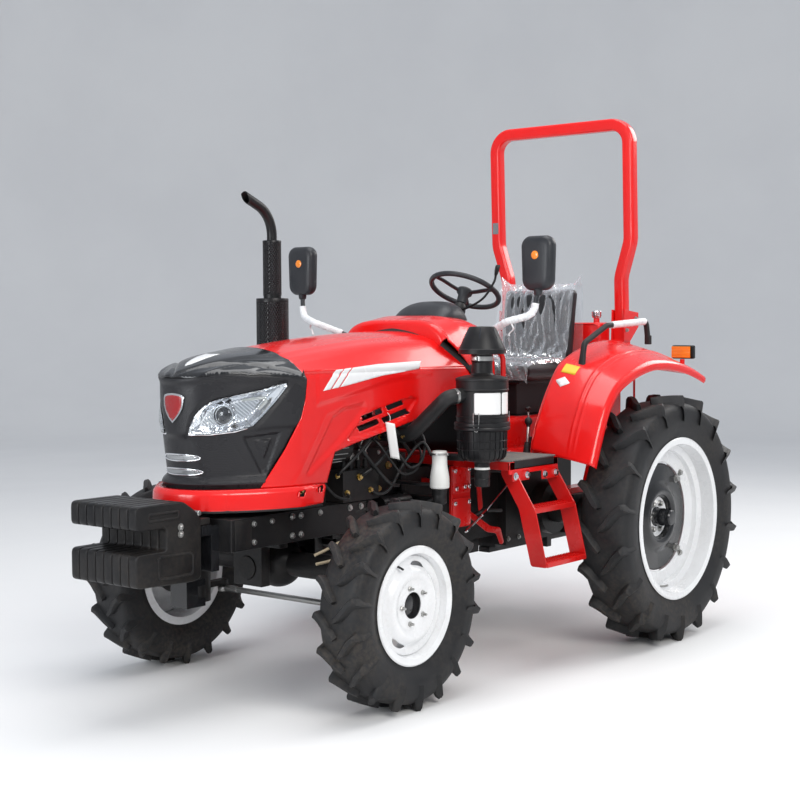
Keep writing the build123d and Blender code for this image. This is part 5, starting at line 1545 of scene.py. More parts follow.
v_lines = np.concatenate([np.linspace(0, 0.52, 14), np.linspace(0.55, 0.74, 20),
                          np.linspace(0.78, 0.94, 6), np.linspace(0.95, 1.0, 6)])
u_grid, v_grid = np.meshgrid(np.linspace(0, 1, arch_rows), v_lines, indexing="ij")
sheet = fender_point(u_grid, v_grid)
hem = sheet[:, -1] + unit(np.stack([-(sheet[:, -1, 0] - rear_wheel[0]), 0 * sheet[:, -1, 0],
                                    -(sheet[:, -1, 2] - rear_radius)], -1)) * 0.030
hem_in = hem + [0, -0.004, 0]
sheet = np.concatenate([sheet, (sheet[:, -1:] * 0.4 + hem[:, None] * 0.6) + [0, 0.0035, 0],
                        hem[:, None], hem_in[:, None]], 1)
wall_top = fender_point(np.linspace(0, 1, arch_rows), np.zeros(arch_rows))
wall_x = np.clip(wall_top[:, 0], wall_rear, wall_front)
wall_rows = np.stack([
    sheet_of(wall_x, fender_inside - 0.001,
             np.minimum(wall_top[:, 2] * (1 - k) + floor_top * k, wall_top[:, 2]))
    for k in np.linspace(0.003, 1, 9)], 1)
keep = (wall_top[:, 0] < wall_front) & (wall_top[:, 0] > wall_rear)
inner_wall = grid(wall_rows[keep])
fender_shape = joined([grid(sheet), inner_wall])
replacing(piece("fender_sheets", both(fender_shape), "red_enamel", "chassis",
                wall=0.003, angle=40), "fenders")
brace = []
for wall_edge in (0.10, 0.86):
    top = fender_point(np.array([wall_edge]), np.array([0.02]))[0]
    brace.append(rod((top[0], 0.503, 0.92), (top[0], 0.503, top[2] - 0.02), 0.006, 8))
lamp_post = rod((back(-0.470), 0.700, 1.250), (back(-0.470), 0.700, 1.310), 0.012)
piece("fender_braces", both(joined(brace + [lamp_post])), "red_enamel", "chassis")


def fender_sticker(name, corners, material):
    """A blank label on the fender, its corners given as (u, v)."""
    label = panel(lambda u, v: fender_point(u, v, 0.0016), np.array(corners), 0.012)
    piece(name, label, material, "chassis", wall=0.0005)


fender_sticker("fender_label_yellow", [(0.300, 0.10), (0.300, 0.34), (0.345, 0.34),
                                       (0.345, 0.10)], "label_yellow")
fender_sticker("fender_label_white", [(0.240, 0.20), (0.262, 0.07), (0.284, 0.20),
                                      (0.262, 0.33)], "label_white")

softened("platform", "red_chassis", 0.004)
mat_u = np.linspace(back(0.616), back(0.978), 120)
mat_y = np.linspace(0.345, 0.645, 4)
rib = 0.906 + 0.0022 * np.sign(np.sin(mat_u * 330)) * np.abs(np.sin(mat_u * 330)) ** 0.4
mat = grid(sheet_of(mat_u[:, None], mat_y[None], rib[:, None]))
piece("floor_mats", both(mat), "grey_mat", "chassis", wall=0.005)
mat_edge = block(back(0.640), back(0.950), 0.646, 0.652, 0.870, 0.902, 0.002, 0.004)
rail_plate = block(back(0.606), back(0.985), 0.640, 0.650, 0.846, 0.900, 0.002, 0.004)
piece("floor_edge_inserts", both(mat_edge), "hose_rubber", "chassis")
piece("floor_edges", both(rail_plate), "red_enamel", "chassis")
step_shapes = []
for x in (back(0.606), back(0.925)):
    outline = [(0.565, 0.864), (0.565, 0.840), (0.658, 0.694), (0.720, 0.452), (0.802, 0.452),
               (0.743, 0.694), (0.650, 0.840), (0.650, 0.864)]
    step_shapes.append(rounded_slab(rounded_outline(outline, 0.012), x - 0.0028, x + 0.0028,
                                    "yz", 0.001, 2))
for z, y_out in ((0.694, 0.743), (0.466, 0.802)):
    step_shapes.append(block(back(0.609), back(0.922), y_out - 0.084, y_out, z - 0.014,
                             z + 0.008, 0.002, 0.004))
    teeth_x = np.linspace(back(0.618), back(0.913), 24)
    for row_y in (y_out - 0.074, y_out - 0.045, y_out - 0.014):
        comb = np.stack([np.repeat(teeth_x, 2), np.tile([z + 0.0135, z + 0.008], 24)], -1)
        comb = np.concatenate([[(teeth_x[0] - 0.004, z + 0.004)], comb,
                               [(teeth_x[-1] + 0.004, z + 0.004)]])
        step_shapes.append(slab(comb, row_y - 0.0015, row_y + 0.0015))
tabs, step_bolts = [], []
for tab_x, tab_z in ((0.606, 0.829), (0.835, 0.837)):
    tab = rounded_outline(oblong(back(tab_x), back(tab_x + 0.130), tab_z - 0.022,
                                 tab_z + 0.024), 0.008)
    tabs.append(rounded_slab(tab, 0.646, 0.652, "xz", 0.001, 3))
    step_bolts.append(bolts([(back(tab_x + 0.020), 0.653, tab_z),
                             (back(tab_x + 0.110), 0.653, tab_z)], y_way, 0.0125, 0.010))
step_shapes += tabs
step_bolts = joined(step_bolts)
replacing(piece("entry_steps", both(joined(step_shapes)), "red_chassis", "chassis",
                angle=35), "steps")
piece("entry_step_bolts", both(step_bolts), "chrome", "chassis")


# ---- seat ------------------------------------------------------------------------------
def pillow_block(low, high, corner, puff, rows=26, stitches=()):
    """A padded block: a box whose faces are pushed out by the product of two arches.

    Each face is a grid; corners are rounded by pulling grid points towards an inner box and
    out again by the corner's radius, and stitched lines sink the top along given places.
    """
    low, high = np.asarray(low, float), np.asarray(high, float)
    centre, half = (low + high) / 2, (high - low) / 2
    t = np.linspace(-1, 1, rows)
    a, b = np.meshgrid(t, t, indexing="ij")
    faces = []
    for axis in range(3):
        for sign in (-1, 1):
            cube = np.empty((rows, rows, 3))
            others = [k for k in range(3) if k != axis]
            cube[..., axis] = sign
            cube[..., others[0]], cube[..., others[1]] = a, b * sign * (1 if axis != 1 else -1)
            faces.append(grid(cube * half))
    points, tables = joined(faces)
    inner = np.maximum(half - corner, 0.001)
    core = np.clip(points, -inner, inner)
    points = core + unit(points - core) * corner
    arch = np.prod(np.clip(1 - (points / half) ** 4, 0, 1)[:, :2], axis=1) ** 0.5
    points[:, 2] += np.where(points[:, 2] > 0, puff * arch, 0)
    for place, way, depth in stitches:
        line = np.exp(-((points[:, way] - place) / 0.008) ** 2)
        points[:, 2] -= depth * line * (points[:, 2] > 0)
    return points + centre, tables


cushion_low, cushion_high = (np.array(c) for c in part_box("seat_cushion"))
cushion = pillow_block(cushion_low + [0.004, 0.004, 0.001], cushion_high - [0.004, 0.004, 0.014],
                       0.034, 0.012, 40, [(-0.12, 1, 0.005), (0.12, 1, 0.005),
                                          (-0.09, 0, 0.004)])
cushion_obj = replacing(piece("seat_cushion_cover", cushion, "seat_vinyl", "chassis",
                              angle=60), "seat_cushion")
rest = pillow_block((-0.184, -0.220, -0.045), (0.184, 0.220, 0.033), 0.030, 0.010, 40,
                    [(-0.12, 1, 0.006), (0.12, 1, 0.006), (0.06, 0, 0.004)])
rest_low = np.array([back(-0.205), 0.0, 1.3055])
rest_high = np.array([back(-0.2585), 0.0, 1.672])
rise = unit(rest_high - rest_low)
ahead = np.cross(rise, [0.0, 1.0, 0.0])
ahead = ahead * np.sign(ahead[0])
rest_middle = (rest_low + rest_high) / 2
rest_points = (rest_middle + rest[0][:, :1] * rise * -1 + rest[0][:, 1:2] * [0, 1, 0]
               + (rest[0][:, 2:] + 0.004) * ahead * 0.92)
rest_obj = replacing(piece("seat_back_cover", (rest_points, rest[1]), "seat_vinyl", "chassis",
                           angle=60), "seat_back")
softened("seat_base", "satin_black", 0.006)


cloth_pressure = 4.0
cloth_frames = 20


def puffed(obj, voxel=0.0075, most=0.012):
    """Blows a cushion up as cloth under pressure; no point moves further than the most."""
    bpy.context.view_layer.objects.active = obj
    even_mesh = obj.modifiers.new("even", "REMESH")
    even_mesh.mode = "VOXEL"
    even_mesh.voxel_size = voxel
    bpy.ops.object.modifier_apply(modifier=even_mesh.name)
    start = np.empty(len(obj.data.vertices) * 3)
    obj.data.vertices.foreach_get("co", start)
    cloth = obj.modifiers.new("pressure", "CLOTH")
    cloth.settings.use_pressure = True
    cloth.settings.uniform_pressure_force = cloth_pressure
    cloth.settings.effector_weights.gravity = 0.0
    for number in range(1, cloth_frames + 1):
        bpy.context.scene.frame_set(number)
    settled = obj.evaluated_get(bpy.context.evaluated_depsgraph_get()).data
    end = np.empty_like(start)
    settled.vertices.foreach_get("co", end)
    obj.modifiers.remove(cloth)
    way = (end - start).reshape(-1, 3)
    reach = np.linalg.norm(way, axis=1, keepdims=True)
    way = way * np.minimum(1, most / np.maximum(reach, 1e-9))
    obj.data.vertices.foreach_set("co", (start.reshape(-1, 3) + way).ravel())
    obj.data.polygons.foreach_set("use_smooth", [True] * len(obj.data.polygons))
    smooth = obj.modifiers.new("soften", "SUBSURF")
    smooth.levels = smooth.render_levels = 1
    bpy.context.scene.frame_set(1)


puffed(cushion_obj)
puffed(rest_obj)


def seat_film():
    """A clear film over the seat: a sheet that falls from the backrest's top to the cushion.

    u runs across, v from behind the backrest over its top, down its front and along the
    cushion; the film stands off by folds, which are sums of sines that fade at the top edge.
    """
    u = np.linspace(-1, 1, 90)
    v = np.linspace(0, 1, 120)
    line = smooth_path([(back(-0.302), 1.300), (back(-0.306), 1.50), (back(-0.297), 1.672),
                        (back(-0.255), 1.694), (back(-0.205), 1.660), (back(-0.165), 1.48),
                        (back(-0.130), 1.345), (back(-0.060), 1.322), (back(0.10), 1.318),
                        (back(0.215), 1.300), (back(0.228), 1.215)], 120)
    half = np.interp(v, [0, 0.3, 0.42, 0.62, 1], [0.222, 0.226, 0.228, 0.230, 0.233])
    uu, vv = np.meshgrid(u, v, indexing="ij")
    x = np.broadcast_to(line[:, 0], uu.shape).copy()
    z = np.broadcast_to(line[:, 1], uu.shape).copy()
    y = uu * half[None]
    ripple = (np.sin(uu * 11 + 5 * np.sin(vv * 9)) * 0.0045
              + np.sin(uu * 27 + 6 * np.sin(vv * 17)) * 0.0022
              + np.sin(vv * 44 + 5 * np.sin(uu * 6)) * 0.0024)
    slack = np.clip((vv - 0.05) * 8, 0, 1)
    normal = np.stack([np.gradient(line[:, 1]), -np.gradient(line[:, 0])], -1)
    normal = unit(normal)
    x += normal[None, :, 0] * np.abs(ripple) * slack * 1.2
    z += normal[None, :, 1] * np.abs(ripple) * slack * 1.2
    z -= 0.018 * np.clip(np.abs(uu) - 0.93, 0, 1) / 0.07 * (vv > 0.62)
    peak = np.exp(-((np.abs(uu) - 1) / 0.09) ** 2) * np.exp(-((vv - 0.30) / 0.035) ** 2)
    z += 0.045 * peak
    y += np.sign(uu) * 0.020 * peak
    return grid(np.stack([x, y, z], -1))


film = piece("seat_film", seat_film(), "clear_film", "chassis", angle=60, facing=False)

# ---- fuel tank, roll bar and rear lamps ------------------------------------------------
tank_rear, tank_front = back(-0.439), back(-0.331)
tank_main = rounded_slab(rounded_outline(oblong(tank_rear, tank_front, 1.206, 1.495), 0.022),
                         -0.304, 0.304, "xz", 0.014, 5)
tank_low = [block(tank_rear, tank_front, -0.189, 0.189, 1.060, 1.215, 0.008, 0.01),
            block(tank_rear, back(-0.263), -0.189, 0.189, 1.001, 1.062, 0.006, 0.01),
            block(back(-0.266), back(-0.191), -0.118, 0.118, 1.041, 1.055, 0.003, 0.004)]
seam = []
for seam_x in (tank_front, tank_rear):
    loop = rounded_outline(oblong(-0.296, 0.296, 1.214, 1.487), 0.03)
    path = np.concatenate([loop, loop[:1]])
    seam.append(carried(sheet_of(seam_x, path[:, 0], path[:, 1]), ring(0.0028, 6), 1.0, False))
neck = lathe([(0, 0.016), (0.010, 0.0155), (0.026, 0.0155)], (back(-0.392), 0.250, 1.492),
             up_way, 28)
replacing(piece("fuel_tank_shell", joined([tank_main] + tank_low + seam + [neck]), "red_enamel",
                "chassis", angle=35), "fuel_tank")
cap = lathe([(-0.002, 0.0), (-0.002, 0.022), (0.004, 0.024), (0.010, 0.0265), (0.013, 0.0265),
             (0.0145, 0.0245), (0.0165, 0.0265), (0.021, 0.0265), (0.0225, 0.0245),
             (0.0245, 0.0265), (0.030, 0.0265), (0.034, 0.0235), (0.0355, 0.018), (0.0358, 0.0)],
            (back(-0.392), 0.250, 1.520), up_way, 40)
piece("fuel_cap", cap, "chrome", "chassis", angle=50)


post_y, hoop_y = 0.350, 0.408


def hoop_corner(y, z):
    """A corner of the roll bar, which leans forward as it rises."""
    return back(-0.478 + 0.035 * (z - 1.486)), y, z


hoop_left = [(post_y, 1.487), (post_y, 1.725), (hoop_y, 1.910), (hoop_y, 2.502)]
hoop = bent_path([hoop_corner(y, z) for y, z in hoop_left]
                 + [hoop_corner(-y, z) for y, z in hoop_left[::-1]],
                 [0.160, 0.160, 0.095, 0.095, 0.160, 0.160], 12)
tube_section = rounded_square(0.0615, 0.0615, 0.013, 5)
hoop_way = unit(np.gradient(hoop, axis=0))
lean_way = unit(np.array([1.0, 0, 0]) - hoop_way * hoop_way[:, :1])
cross_way = np.cross(hoop_way, lean_way)
hoop_grid = (hoop[:, None] + tube_section[None, :, :1] * lean_way[:, None]
             + tube_section[None, :, 1:] * cross_way[:, None])
hinge_plates = []
for side in (1, -1):
    y = side * post_y
    hinge_plates.append(block(back(-0.562), back(-0.480), y - 0.0235, y + 0.0235, 1.4945, 1.5295,
                              0.004, 0.012))
    hinge_plates.append(band(-0.024, 0.024, 0.0105, 0.018, (back(-0.548), y, 1.512), y_way, 28))
replacing(piece("roll_bar_tube", joined([grid(hoop_grid, round_cols=True, cap_rows=True)]
                                        + hinge_plates), "red_enamel", "roll_bar",
                angle=35), "rops_hoop")
softened("rops_posts", "red_enamel", 0.005, 3)
plate_grid = rounded_outline(oblong(-0.018, 0.018, -0.034, 0.034), 0.004)
plate_at = np.array([back(-0.478 + 0.035 * 0.52) + 0.0312, -hoop_y, 2.01])
piece("roll_bar_plate", slab(plate_grid + plate_at[1:], plate_at[0] - 0.001,
                             plate_at[0] + 0.0006, "yz"), "chrome_dull", "roll_bar")
pin_shapes = []
for side in (1, -1):
    y = side * post_y
    for x, z, radius in ((back(-0.548), 1.512, 0.010), (back(-0.455), 1.455, 0.008)):
        pin_shapes.append(bolt((x, y + side * 0.040, z), (0, side, 0), radius, 0.012))
piece("roll_bar_pins", joined(pin_shapes), "zinc", "chassis")
lamp_y = 0.700
lamp_rear, lamp_front = back(-0.499), back(-0.468)
lamp_shapes = []
for side in (1, -1):
    lamp_shapes.append(block(lamp_rear, lamp_front, side * lamp_y - 0.059,
                             side * lamp_y + 0.059, 1.311, 1.379, 0.006, 0.010))
replacing(piece("rear_lamp_bodies", joined(lamp_shapes), "satin_black", "chassis"), "rear_lamps")
lens_shapes = []
rib_z = np.linspace(1.317, 1.373, 24)
for side in (1, -1):
    for x, out in ((lamp_front, 1), (lamp_rear, -1)):
        depth = x + out * (0.014 + 0.0012 * np.sin(rib_z * 900)) * (1 if out > 0 else 0.05)
        ys = np.linspace(side * lamp_y - 0.052, side * lamp_y + 0.052, 4)
        face = sheet_of(depth[:, None], ys[None], rib_z[:, None])
        root = sheet_of(x - out * 0.002, ys[None], rib_z[:, None])
        shell = np.concatenate([face, root[::-1]], 0)
        lens_shapes.append(grid(shell, round_rows=True))
piece("rear_lamp_lenses", joined(lens_shapes), "amber_plastic", "chassis")

# ---- grab rails and mirrors ------------------------------------------------------------
rail = bent_path([(back(0.330), 0.600, 1.262), (back(0.300), 0.600, 1.400),
                  (back(0.100), 0.600, 1.480), (back(-0.280), 0.600, 1.500),
                  (back(-0.300), 0.600, 1.400)], [0.040, 0.060, 0.030], 10)
rail = even(rail, 90)
# the rail is flattened near its front foot
flat = (np.clip((1.36 - rail[:, 2]) / 0.10, 0, 1) * (rail[:, 0] > back(0.2)))[:, None, None]
rail_section = rounded_square(0.026, 0.024, 0.009, 4)
rail_way = unit(np.gradient(rail, axis=0))
rail_side = np.broadcast_to([0.0, 1.0, 0.0], rail.shape)
rail_up = np.cross(rail_way, rail_side)
rail_grid = (rail[:, None]
             + rail_section[None, :, :1] * rail_side[:, None] * (1 + 0.55 * flat)
             + rail_section[None, :, 1:] * rail_up[:, None] * (1 - 0.35 * flat))
rear_foot = block(back(-0.312), back(-0.290), 0.585, 0.615, 1.385, 1.430, 0.003, 0.005)
replacing(piece("grab_rail_tubes", both(joined([grid(rail_grid, round_cols=True, cap_rows=True),
                                                rear_foot])), "hose_rubber", "chassis",
                angle=40), "grab_rails")


def wrap(path, radius, windings, sides=26):
    """Film wound around a bar: its radius steps along a helix and wrinkles at random."""
    path = even(np.asarray(path, float), 120)
    _, side, up = frames(path)
    angle = turns(sides)
    along = np.linspace(0, 1, len(path))[:, None]
    helix = (along * windings - angle[None] / tau) % 1.0
    crumple = rng.normal(0, 1, (len(path), sides))
    crumple = (crumple + np.roll(crumple, 1, 0) + np.roll(crumple, 1, 1)) / 3
    r = radius + 0.0016 * helix + 0.0009 * crumple
    points = (path[:, None] + r[..., None] * (np.cos(angle)[None, :, None] * side[:, None]
                                              + np.sin(angle)[None, :, None] * up[:, None]))
    return grid(points, round_cols=True, cap_rows=True)


rail_middle = rail[(rail[:, 0] < back(0.06)) & (rail[:, 0] > back(-0.262))]
piece("grab_rail_wrap", both(wrap(rail_middle, 0.0155, 11)), "white_wrap", "chassis",
      angle=60)
mirror_y, mirror_z = 0.687, 1.752
mirror_outline = rounded_square(0.160, 0.236, 0.044, 8)
mirror_rows = []
for depth, scale_y, scale_z in ((0.0005, 0.90, 0.93), (0.003, 0.955, 0.97), (0.010, 0.985, 0.99),
                                (0.020, 1.0, 1.0), (0.034, 0.985, 0.992), (0.045, 0.93, 0.955),
                                (0.051, 0.84, 0.89), (0.0545, 0.62, 0.72)):
    taper = 1 + 0.10 * mirror_outline[:, 1:] / 0.118
    flat = mirror_outline * [scale_y, scale_z] * np.concatenate(
        [np.minimum(taper, 1.0), np.ones_like(taper)], 1)
    mirror_rows.append(sheet_of(back(0.795) + depth, mirror_y + flat[:, 0],
                                mirror_z + flat[:, 1]))
mirror_arm = bent_path([(back(0.812), 0.3052, 1.3955), (back(0.812), 0.3866, 1.4327),
                        (back(0.880), 0.560, 1.500), (back(0.835), 0.672, 1.530),
                        (back(0.822), mirror_y, 1.640)], [0.040, 0.060, 0.060], 12)
socket = lathe([(0, 0), (0, 0.016), (0.020, 0.015), (0.030, 0.0115), (0.036, 0.011)],
               mirror_arm[0], mirror_arm[1] - mirror_arm[0], 24)
neck_cup = lathe([(0, 0.012), (0.006, 0.018), (0.026, 0.020), (0.030, 0.016)],
                 (back(0.822), mirror_y, 1.612), up_way, 24)
replacing(piece("mirror_housings", both(joined([
    grid(np.array(mirror_rows), round_cols=True, cap_rows=True), tube(mirror_arm, 0.0108, 16),
    socket, neck_cup])), "grey_plastic", "chassis", angle=40), "mirrors")
glass_outline = rounded_square(0.138, 0.208, 0.036, 8) + [mirror_y, mirror_z]
piece("mirror_glass", both(slab(glass_outline, back(0.7948), back(0.7962), "yz")), "reflector",
      "chassis")
amber = lathe([(0.0, 0.0185), (0.004, 0.018), (0.0062, 0.014), (0.0068, 0.008), (0.007, 0.0)],
              (back(0.8465), mirror_y, 1.786), (1, 0, 0), 40)
piece("mirror_amber_discs", both(amber), "amber_plastic", "chassis", angle=50)
arm_even = even(mirror_arm, 200)
arm_middle = arm_even[52:176]
piece("mirror_arm_wrap", both(wrap(arm_middle, 0.0150, 13)), "white_wrap", "chassis",
      angle=60)
tail_start = arm_even[120]
ribbon_s = np.linspace(0, 1, 24)
ribbon = np.stack([tail_start[0] + 0.004 * np.sin(ribbon_s * 9),
                   tail_start[1] + 0.010 * np.sin(ribbon_s * 5),
                   tail_start[2] - 0.012 - 0.055 * ribbon_s], -1)
ribbon_band = np.stack([ribbon + [0.006, 0, 0], ribbon - [0.006, 0, 0]], 1)
piece("mirror_wrap_tails", both(grid(ribbon_band)), "white_wrap", "chassis",
      wall=0.0006, facing=False)


# ---- exhaust ---------------------------------------------------------------------------
def pierced(centre, radius, z0, z1, around, high, open_share=0.30):
    """A pierced drum: each cell of the developed cylinder is an eight-sided hole in a square.

    A cell's eight outer points lie on its border and its eight inner ones on a circle; cells
    are laid out by whole arrays, every second row shifted by half a cell.
    """
    turn = turns(8) + tau / 16
    border = np.array([(0.5, 0.25), (0.25, 0.5), (-0.25, 0.5), (-0.5, 0.25), (-0.5, -0.25),
                       (-0.25, -0.5), (0.25, -0.5), (0.5, -0.25)])
    hole = np.stack([np.cos(turn), np.sin(turn)], -1) * open_share
    cell = np.stack([border, hole])
    i, j = np.meshgrid(np.arange(around), np.arange(high), indexing="ij")
    shift = (i + 0.5 * (j % 2))[..., None, None]
    angle = (cell[None, None, ..., 0] + shift) / around * tau
    z = z0 + (cell[None, None, ..., 1] + j[..., None, None] + 0.5) / high * (z1 - z0)
    points = np.stack([centre[0] + np.cos(angle) * radius, centre[1] + np.sin(angle) * radius,
                       z], -1).reshape(-1, 3)
    k = np.arange(8)
    ring_faces = np.stack([k, (k + 1) % 8, (k + 1) % 8 + 8, k + 8], -1)
    start = np.arange(around * high)[:, None, None] * 16
    corners = (ring_faces[None] + start).reshape(-1, 4)
    return points, [corners]


pipe_place = np.array([back(1.318), -0.418])
pipe_foot = (*pipe_place, 0)
rows_low = lathe([(1.190, 0.062), (1.190, 0.0725), (1.206, 0.0730), (1.206, 0.0725)],
                 pipe_foot, up_way, 56)
rows_mid = lathe([(1.592, 0.0722), (1.592, 0.0730), (1.606, 0.0730), (1.610, 0.0715),
                  (1.610, 0.040), (1.622, 0.040), (1.622, 0.0415), (1.628, 0.0415)],
                 pipe_foot, up_way, 56)
rows_top = lathe([(1.858, 0.0412), (1.858, 0.0420), (1.868, 0.0420), (1.870, 0.041),
                  (1.870, 0.022)], pipe_foot, up_way, 48)
core = joined([lathe([(low, radius), (high, radius)], pipe_foot, up_way, 32)
               for low, high, radius in ((1.20, 1.60, 0.066), (1.60, 1.86, 0.036))])
curve = bent_path([(*pipe_place, 1.862), (*pipe_place, 1.985),
                   (pipe_place[0] + 0.178, pipe_place[1], 2.060)], [0.140], 18)
curve_even = even(curve, 40)
curve_way, curve_side, curve_up = frames(curve_even)
round_pipe = ring(0.0225, 28)
pipe_points = (curve_even[:, None] + curve_side[:, None] * round_pipe[None, :, :1]
               + curve_up[:, None] * round_pipe[None, :, 1:])
# the mouth is cut upright: points past the cut plane are pulled back along the pipe
mouth_x = pipe_place[0] + 0.150
past = np.clip((pipe_points[..., 0] - mouth_x) - (pipe_points[..., 2] - 2.04) * 0.8, 0, 0.05)
pipe_points = pipe_points - curve_way[:, None] * past[..., None]
inner_points = curve_even[:, None] + (pipe_points - curve_even[:, None]) * 0.88
pipe_shell = joined([grid(pipe_points, round_cols=True),
                     grid(inner_points[18:][::-1], round_cols=True),
                     grid(np.stack([pipe_points[-1], inner_points[-1]]), round_cols=True)])
low_pipe = tube(bent_path([(*pipe_place, 1.195), (*pipe_place, 1.040),
                           (pipe_place[0], -0.134, 1.030)], [0.070], 12), 0.0258, 20)
flange = lathe([(-0.004, 0.02), (-0.004, 0.040), (0.006, 0.040), (0.006, 0.026)],
               (pipe_place[0], -0.140, 1.030), (0, -1, 0), 6)
replacing(piece("exhaust_pipe", joined([pipe_shell, low_pipe, rows_low, rows_mid, rows_top]),
                "satin_black", "chassis", angle=40, facing=False), "exhaust")
# the two pierced tubes around the core
piece("exhaust_guards", joined([pierced(pipe_place, 0.0726, 1.206, 1.592, 38, 36),
                                pierced(pipe_place, 0.0416, 1.628, 1.858, 24, 24)]),
      "satin_black", "chassis", wall=0.0012, facing=False, angle=50)
piece("exhaust_core", core, "lamp_dark", "chassis", facing=False)
piece("exhaust_flange", flange, "cast_black", "chassis")

# ---- air cleaner, intake hose and bottle -----------------------------------------------
cleaner = np.array([back(1.075), 0.570, 0.0])


def around_cleaner(turn, radius, z):
    """A point around the air cleaner's axis."""
    return cleaner + [np.cos(turn) * radius, np.sin(turn) * radius, z]


cap_shape = lathe([(1.364, 0.0), (1.364, 0.095), (1.366, 0.101), (1.384, 0.101),
                   (1.387, 0.0965), (1.392, 0.0955), (1.446, 0.072), (1.474, 0.058),
                   (1.480, 0.052), (1.4815, 0.0)], cleaner, up_way, 64)
cap_slits = []
for turn in turns(6) + 0.5:
    cap_slits.append(tube([around_cleaner(turn, 0.0585, 1.474),
                           around_cleaner(turn, 0.0790, 1.428)], 0.0022, 6))
body_profile = [(1.364, 0.046), (1.332, 0.046), (1.328, 0.0435), (1.284, 0.0455),
                (1.276, 0.052), (1.273, 0.075), (1.267, 0.100), (1.263, 0.1115),
                (1.258, 0.1135), (1.252, 0.1135), (1.250, 0.1115), (1.218, 0.1115),
                (1.216, 0.1135), (1.211, 0.1135), (1.208, 0.108), (1.104, 0.108),
                (1.102, 0.1115), (1.096, 0.1115), (1.094, 0.1095), (1.078, 0.1095),
                (1.075, 0.1185), (1.068, 0.1195), (1.062, 0.1195), (1.059, 0.117),
                (1.055, 0.1195), (1.046, 0.1195), (1.041, 0.112)]
bowl_profile = [(1.041, 0.104), (1.000, 0.1035), (0.955, 0.102), (0.932, 0.098), (0.918, 0.088),
                (0.910, 0.070), (0.906, 0.040), (0.900, 0.0335), (0.884, 0.0335)]
cup_profile = [(0.884, 0.030), (0.872, 0.030), (0.870, 0.0338), (0.840, 0.0338),
               (0.838, 0.0325), (0.834, 0.0325), (0.832, 0.0338), (0.803, 0.033),
               (0.800, 0.030), (0.800, 0.0)]
ribs = []
for turn in turns(26):
    side = np.array([-np.sin(turn), np.cos(turn), 0]) * 0.0022
    line = np.array([(0.1075, 1.038), (0.1070, 0.996), (0.1055, 0.952), (0.101, 0.930),
                     (0.090, 0.917)])
    inner_line = line * [0.0, 1.0] + [0.09, 0.0]
    inner_line[:, 0] = np.minimum(line[:, 0] - 0.010, 0.094)
    rows = []
    for radius, z in np.concatenate([line, inner_line[::-1]]):
        rows += [around_cleaner(turn, radius, z) + side * hand for hand in (-1, 1)]
    fin = np.array(rows).reshape(-1, 2, 3)
    ribs.append(grid(fin, round_rows=True))
    half = len(line)
    faces_low = np.arange(half - 1)
    cap_a = np.stack([faces_low * 2, (faces_low + 1) * 2, (2 * half - 2 - faces_low) * 2,
                      (2 * half - 1 - faces_low) * 2], -1)
    ribs.append((fin.reshape(-1, 3), [cap_a, cap_a[:, ::-1] + 1]))
bands = [lathe([(z, 0.1075), (z + 0.001, 0.1085), (z + 0.005, 0.1085), (z + 0.006, 0.1075)],
               cleaner, up_way, 64, closed=True) for z in (0.996, 0.960)]
mount_plates = [block(back(1.035), back(1.115), 0.342, 0.500, 0.906, 0.930, 0.003, 0.005),
                block(back(1.035), back(1.115), 0.332, 0.345, 0.700, 0.930, 0.002, 0.008),
                block(back(1.055), back(1.095), 0.151, 0.340, 0.700, 0.740, 0.003, 0.006)]
side_port = lathe([(0, 0.0325), (0.060, 0.0325), (0.060, 0.028)],
                  (back(1.135), 0.550, 1.195), (52, -20, -5), 28)
clips = []
for turn in (0.4, 2.5, 4.6):
    way = np.array([np.cos(turn), np.sin(turn), 0])
    base = cleaner + way * 0.1195
    side = np.array([-way[1], way[0], 0]) * 0.012
    wire = [base + side + [0, 0, 1.120], base + side + [0, 0, 1.075] + way * 0.0004,
            base + side * 0.5 + [0, 0, 1.040], base - side * 0.5 + [0, 0, 1.040],
            base - side + [0, 0, 1.075] + way * 0.0004, base - side + [0, 0, 1.120]]
    clips.append(tube(bent_path(wire, [0.008] * 4, 4) - way * 0.003, 0.0018, 6))
replacing(piece("air_cleaner_body", joined(
    [lathe(body_profile, cleaner, up_way, 72), lathe(bowl_profile, cleaner, up_way, 72),
     lathe(cup_profile, cleaner, up_way, 36), cap_shape, side_port] + ribs + bands
    + mount_plates), "satin_black", "chassis", angle=34), "air_cleaner")
piece("air_cleaner_cap_slits", joined(cap_slits), "lamp_dark", "chassis")
clamp_ring = band(1.336, 1.354, 0.0462, 0.0486, cleaner, up_way, 48)
clamp_lug = block(cleaner[0] + 0.044, cleaner[0] + 0.058, cleaner[1] - 0.012,
                  cleaner[1] + 0.012, 1.336, 1.353, 0.002, 0.003)
white_ring = lathe([(0.873, 0.031), (0.8735, 0.0335), (0.883, 0.0335), (0.8835, 0.031)], cleaner,
                   up_way, 36, closed=True)
piece("air_cleaner_clamp", joined([clamp_ring, clamp_lug] + clips), "zinc", "chassis",
      angle=40)
piece("air_cleaner_ring", white_ring, "milky_plastic", "chassis")


def drum_label(name, radius, a0, a1, z0, z1, material):
    """A blank label on a drum: a rounded rectangle over angle and height."""
    flat = rounded_outline(oblong(a0 * radius, a1 * radius, z0, z1), 0.003, 3)
    out = radius + 0.0006
    label = panel(lambda u, v: sheet_of(cleaner[0] + np.cos(u / radius) * out,
                                        cleaner[1] + np.sin(u / radius) * out, v), flat, 0.006)
    piece(name, label, material, "chassis", wall=0.0004)


for label_name, start, end in (("air_cleaner_label_wide", 0.30, 1.42),
                               ("air_cleaner_label_side", 1.48, 2.25)):
    drum_label(label_name, 0.108, start, end, 1.112, 1.203, "label_white")

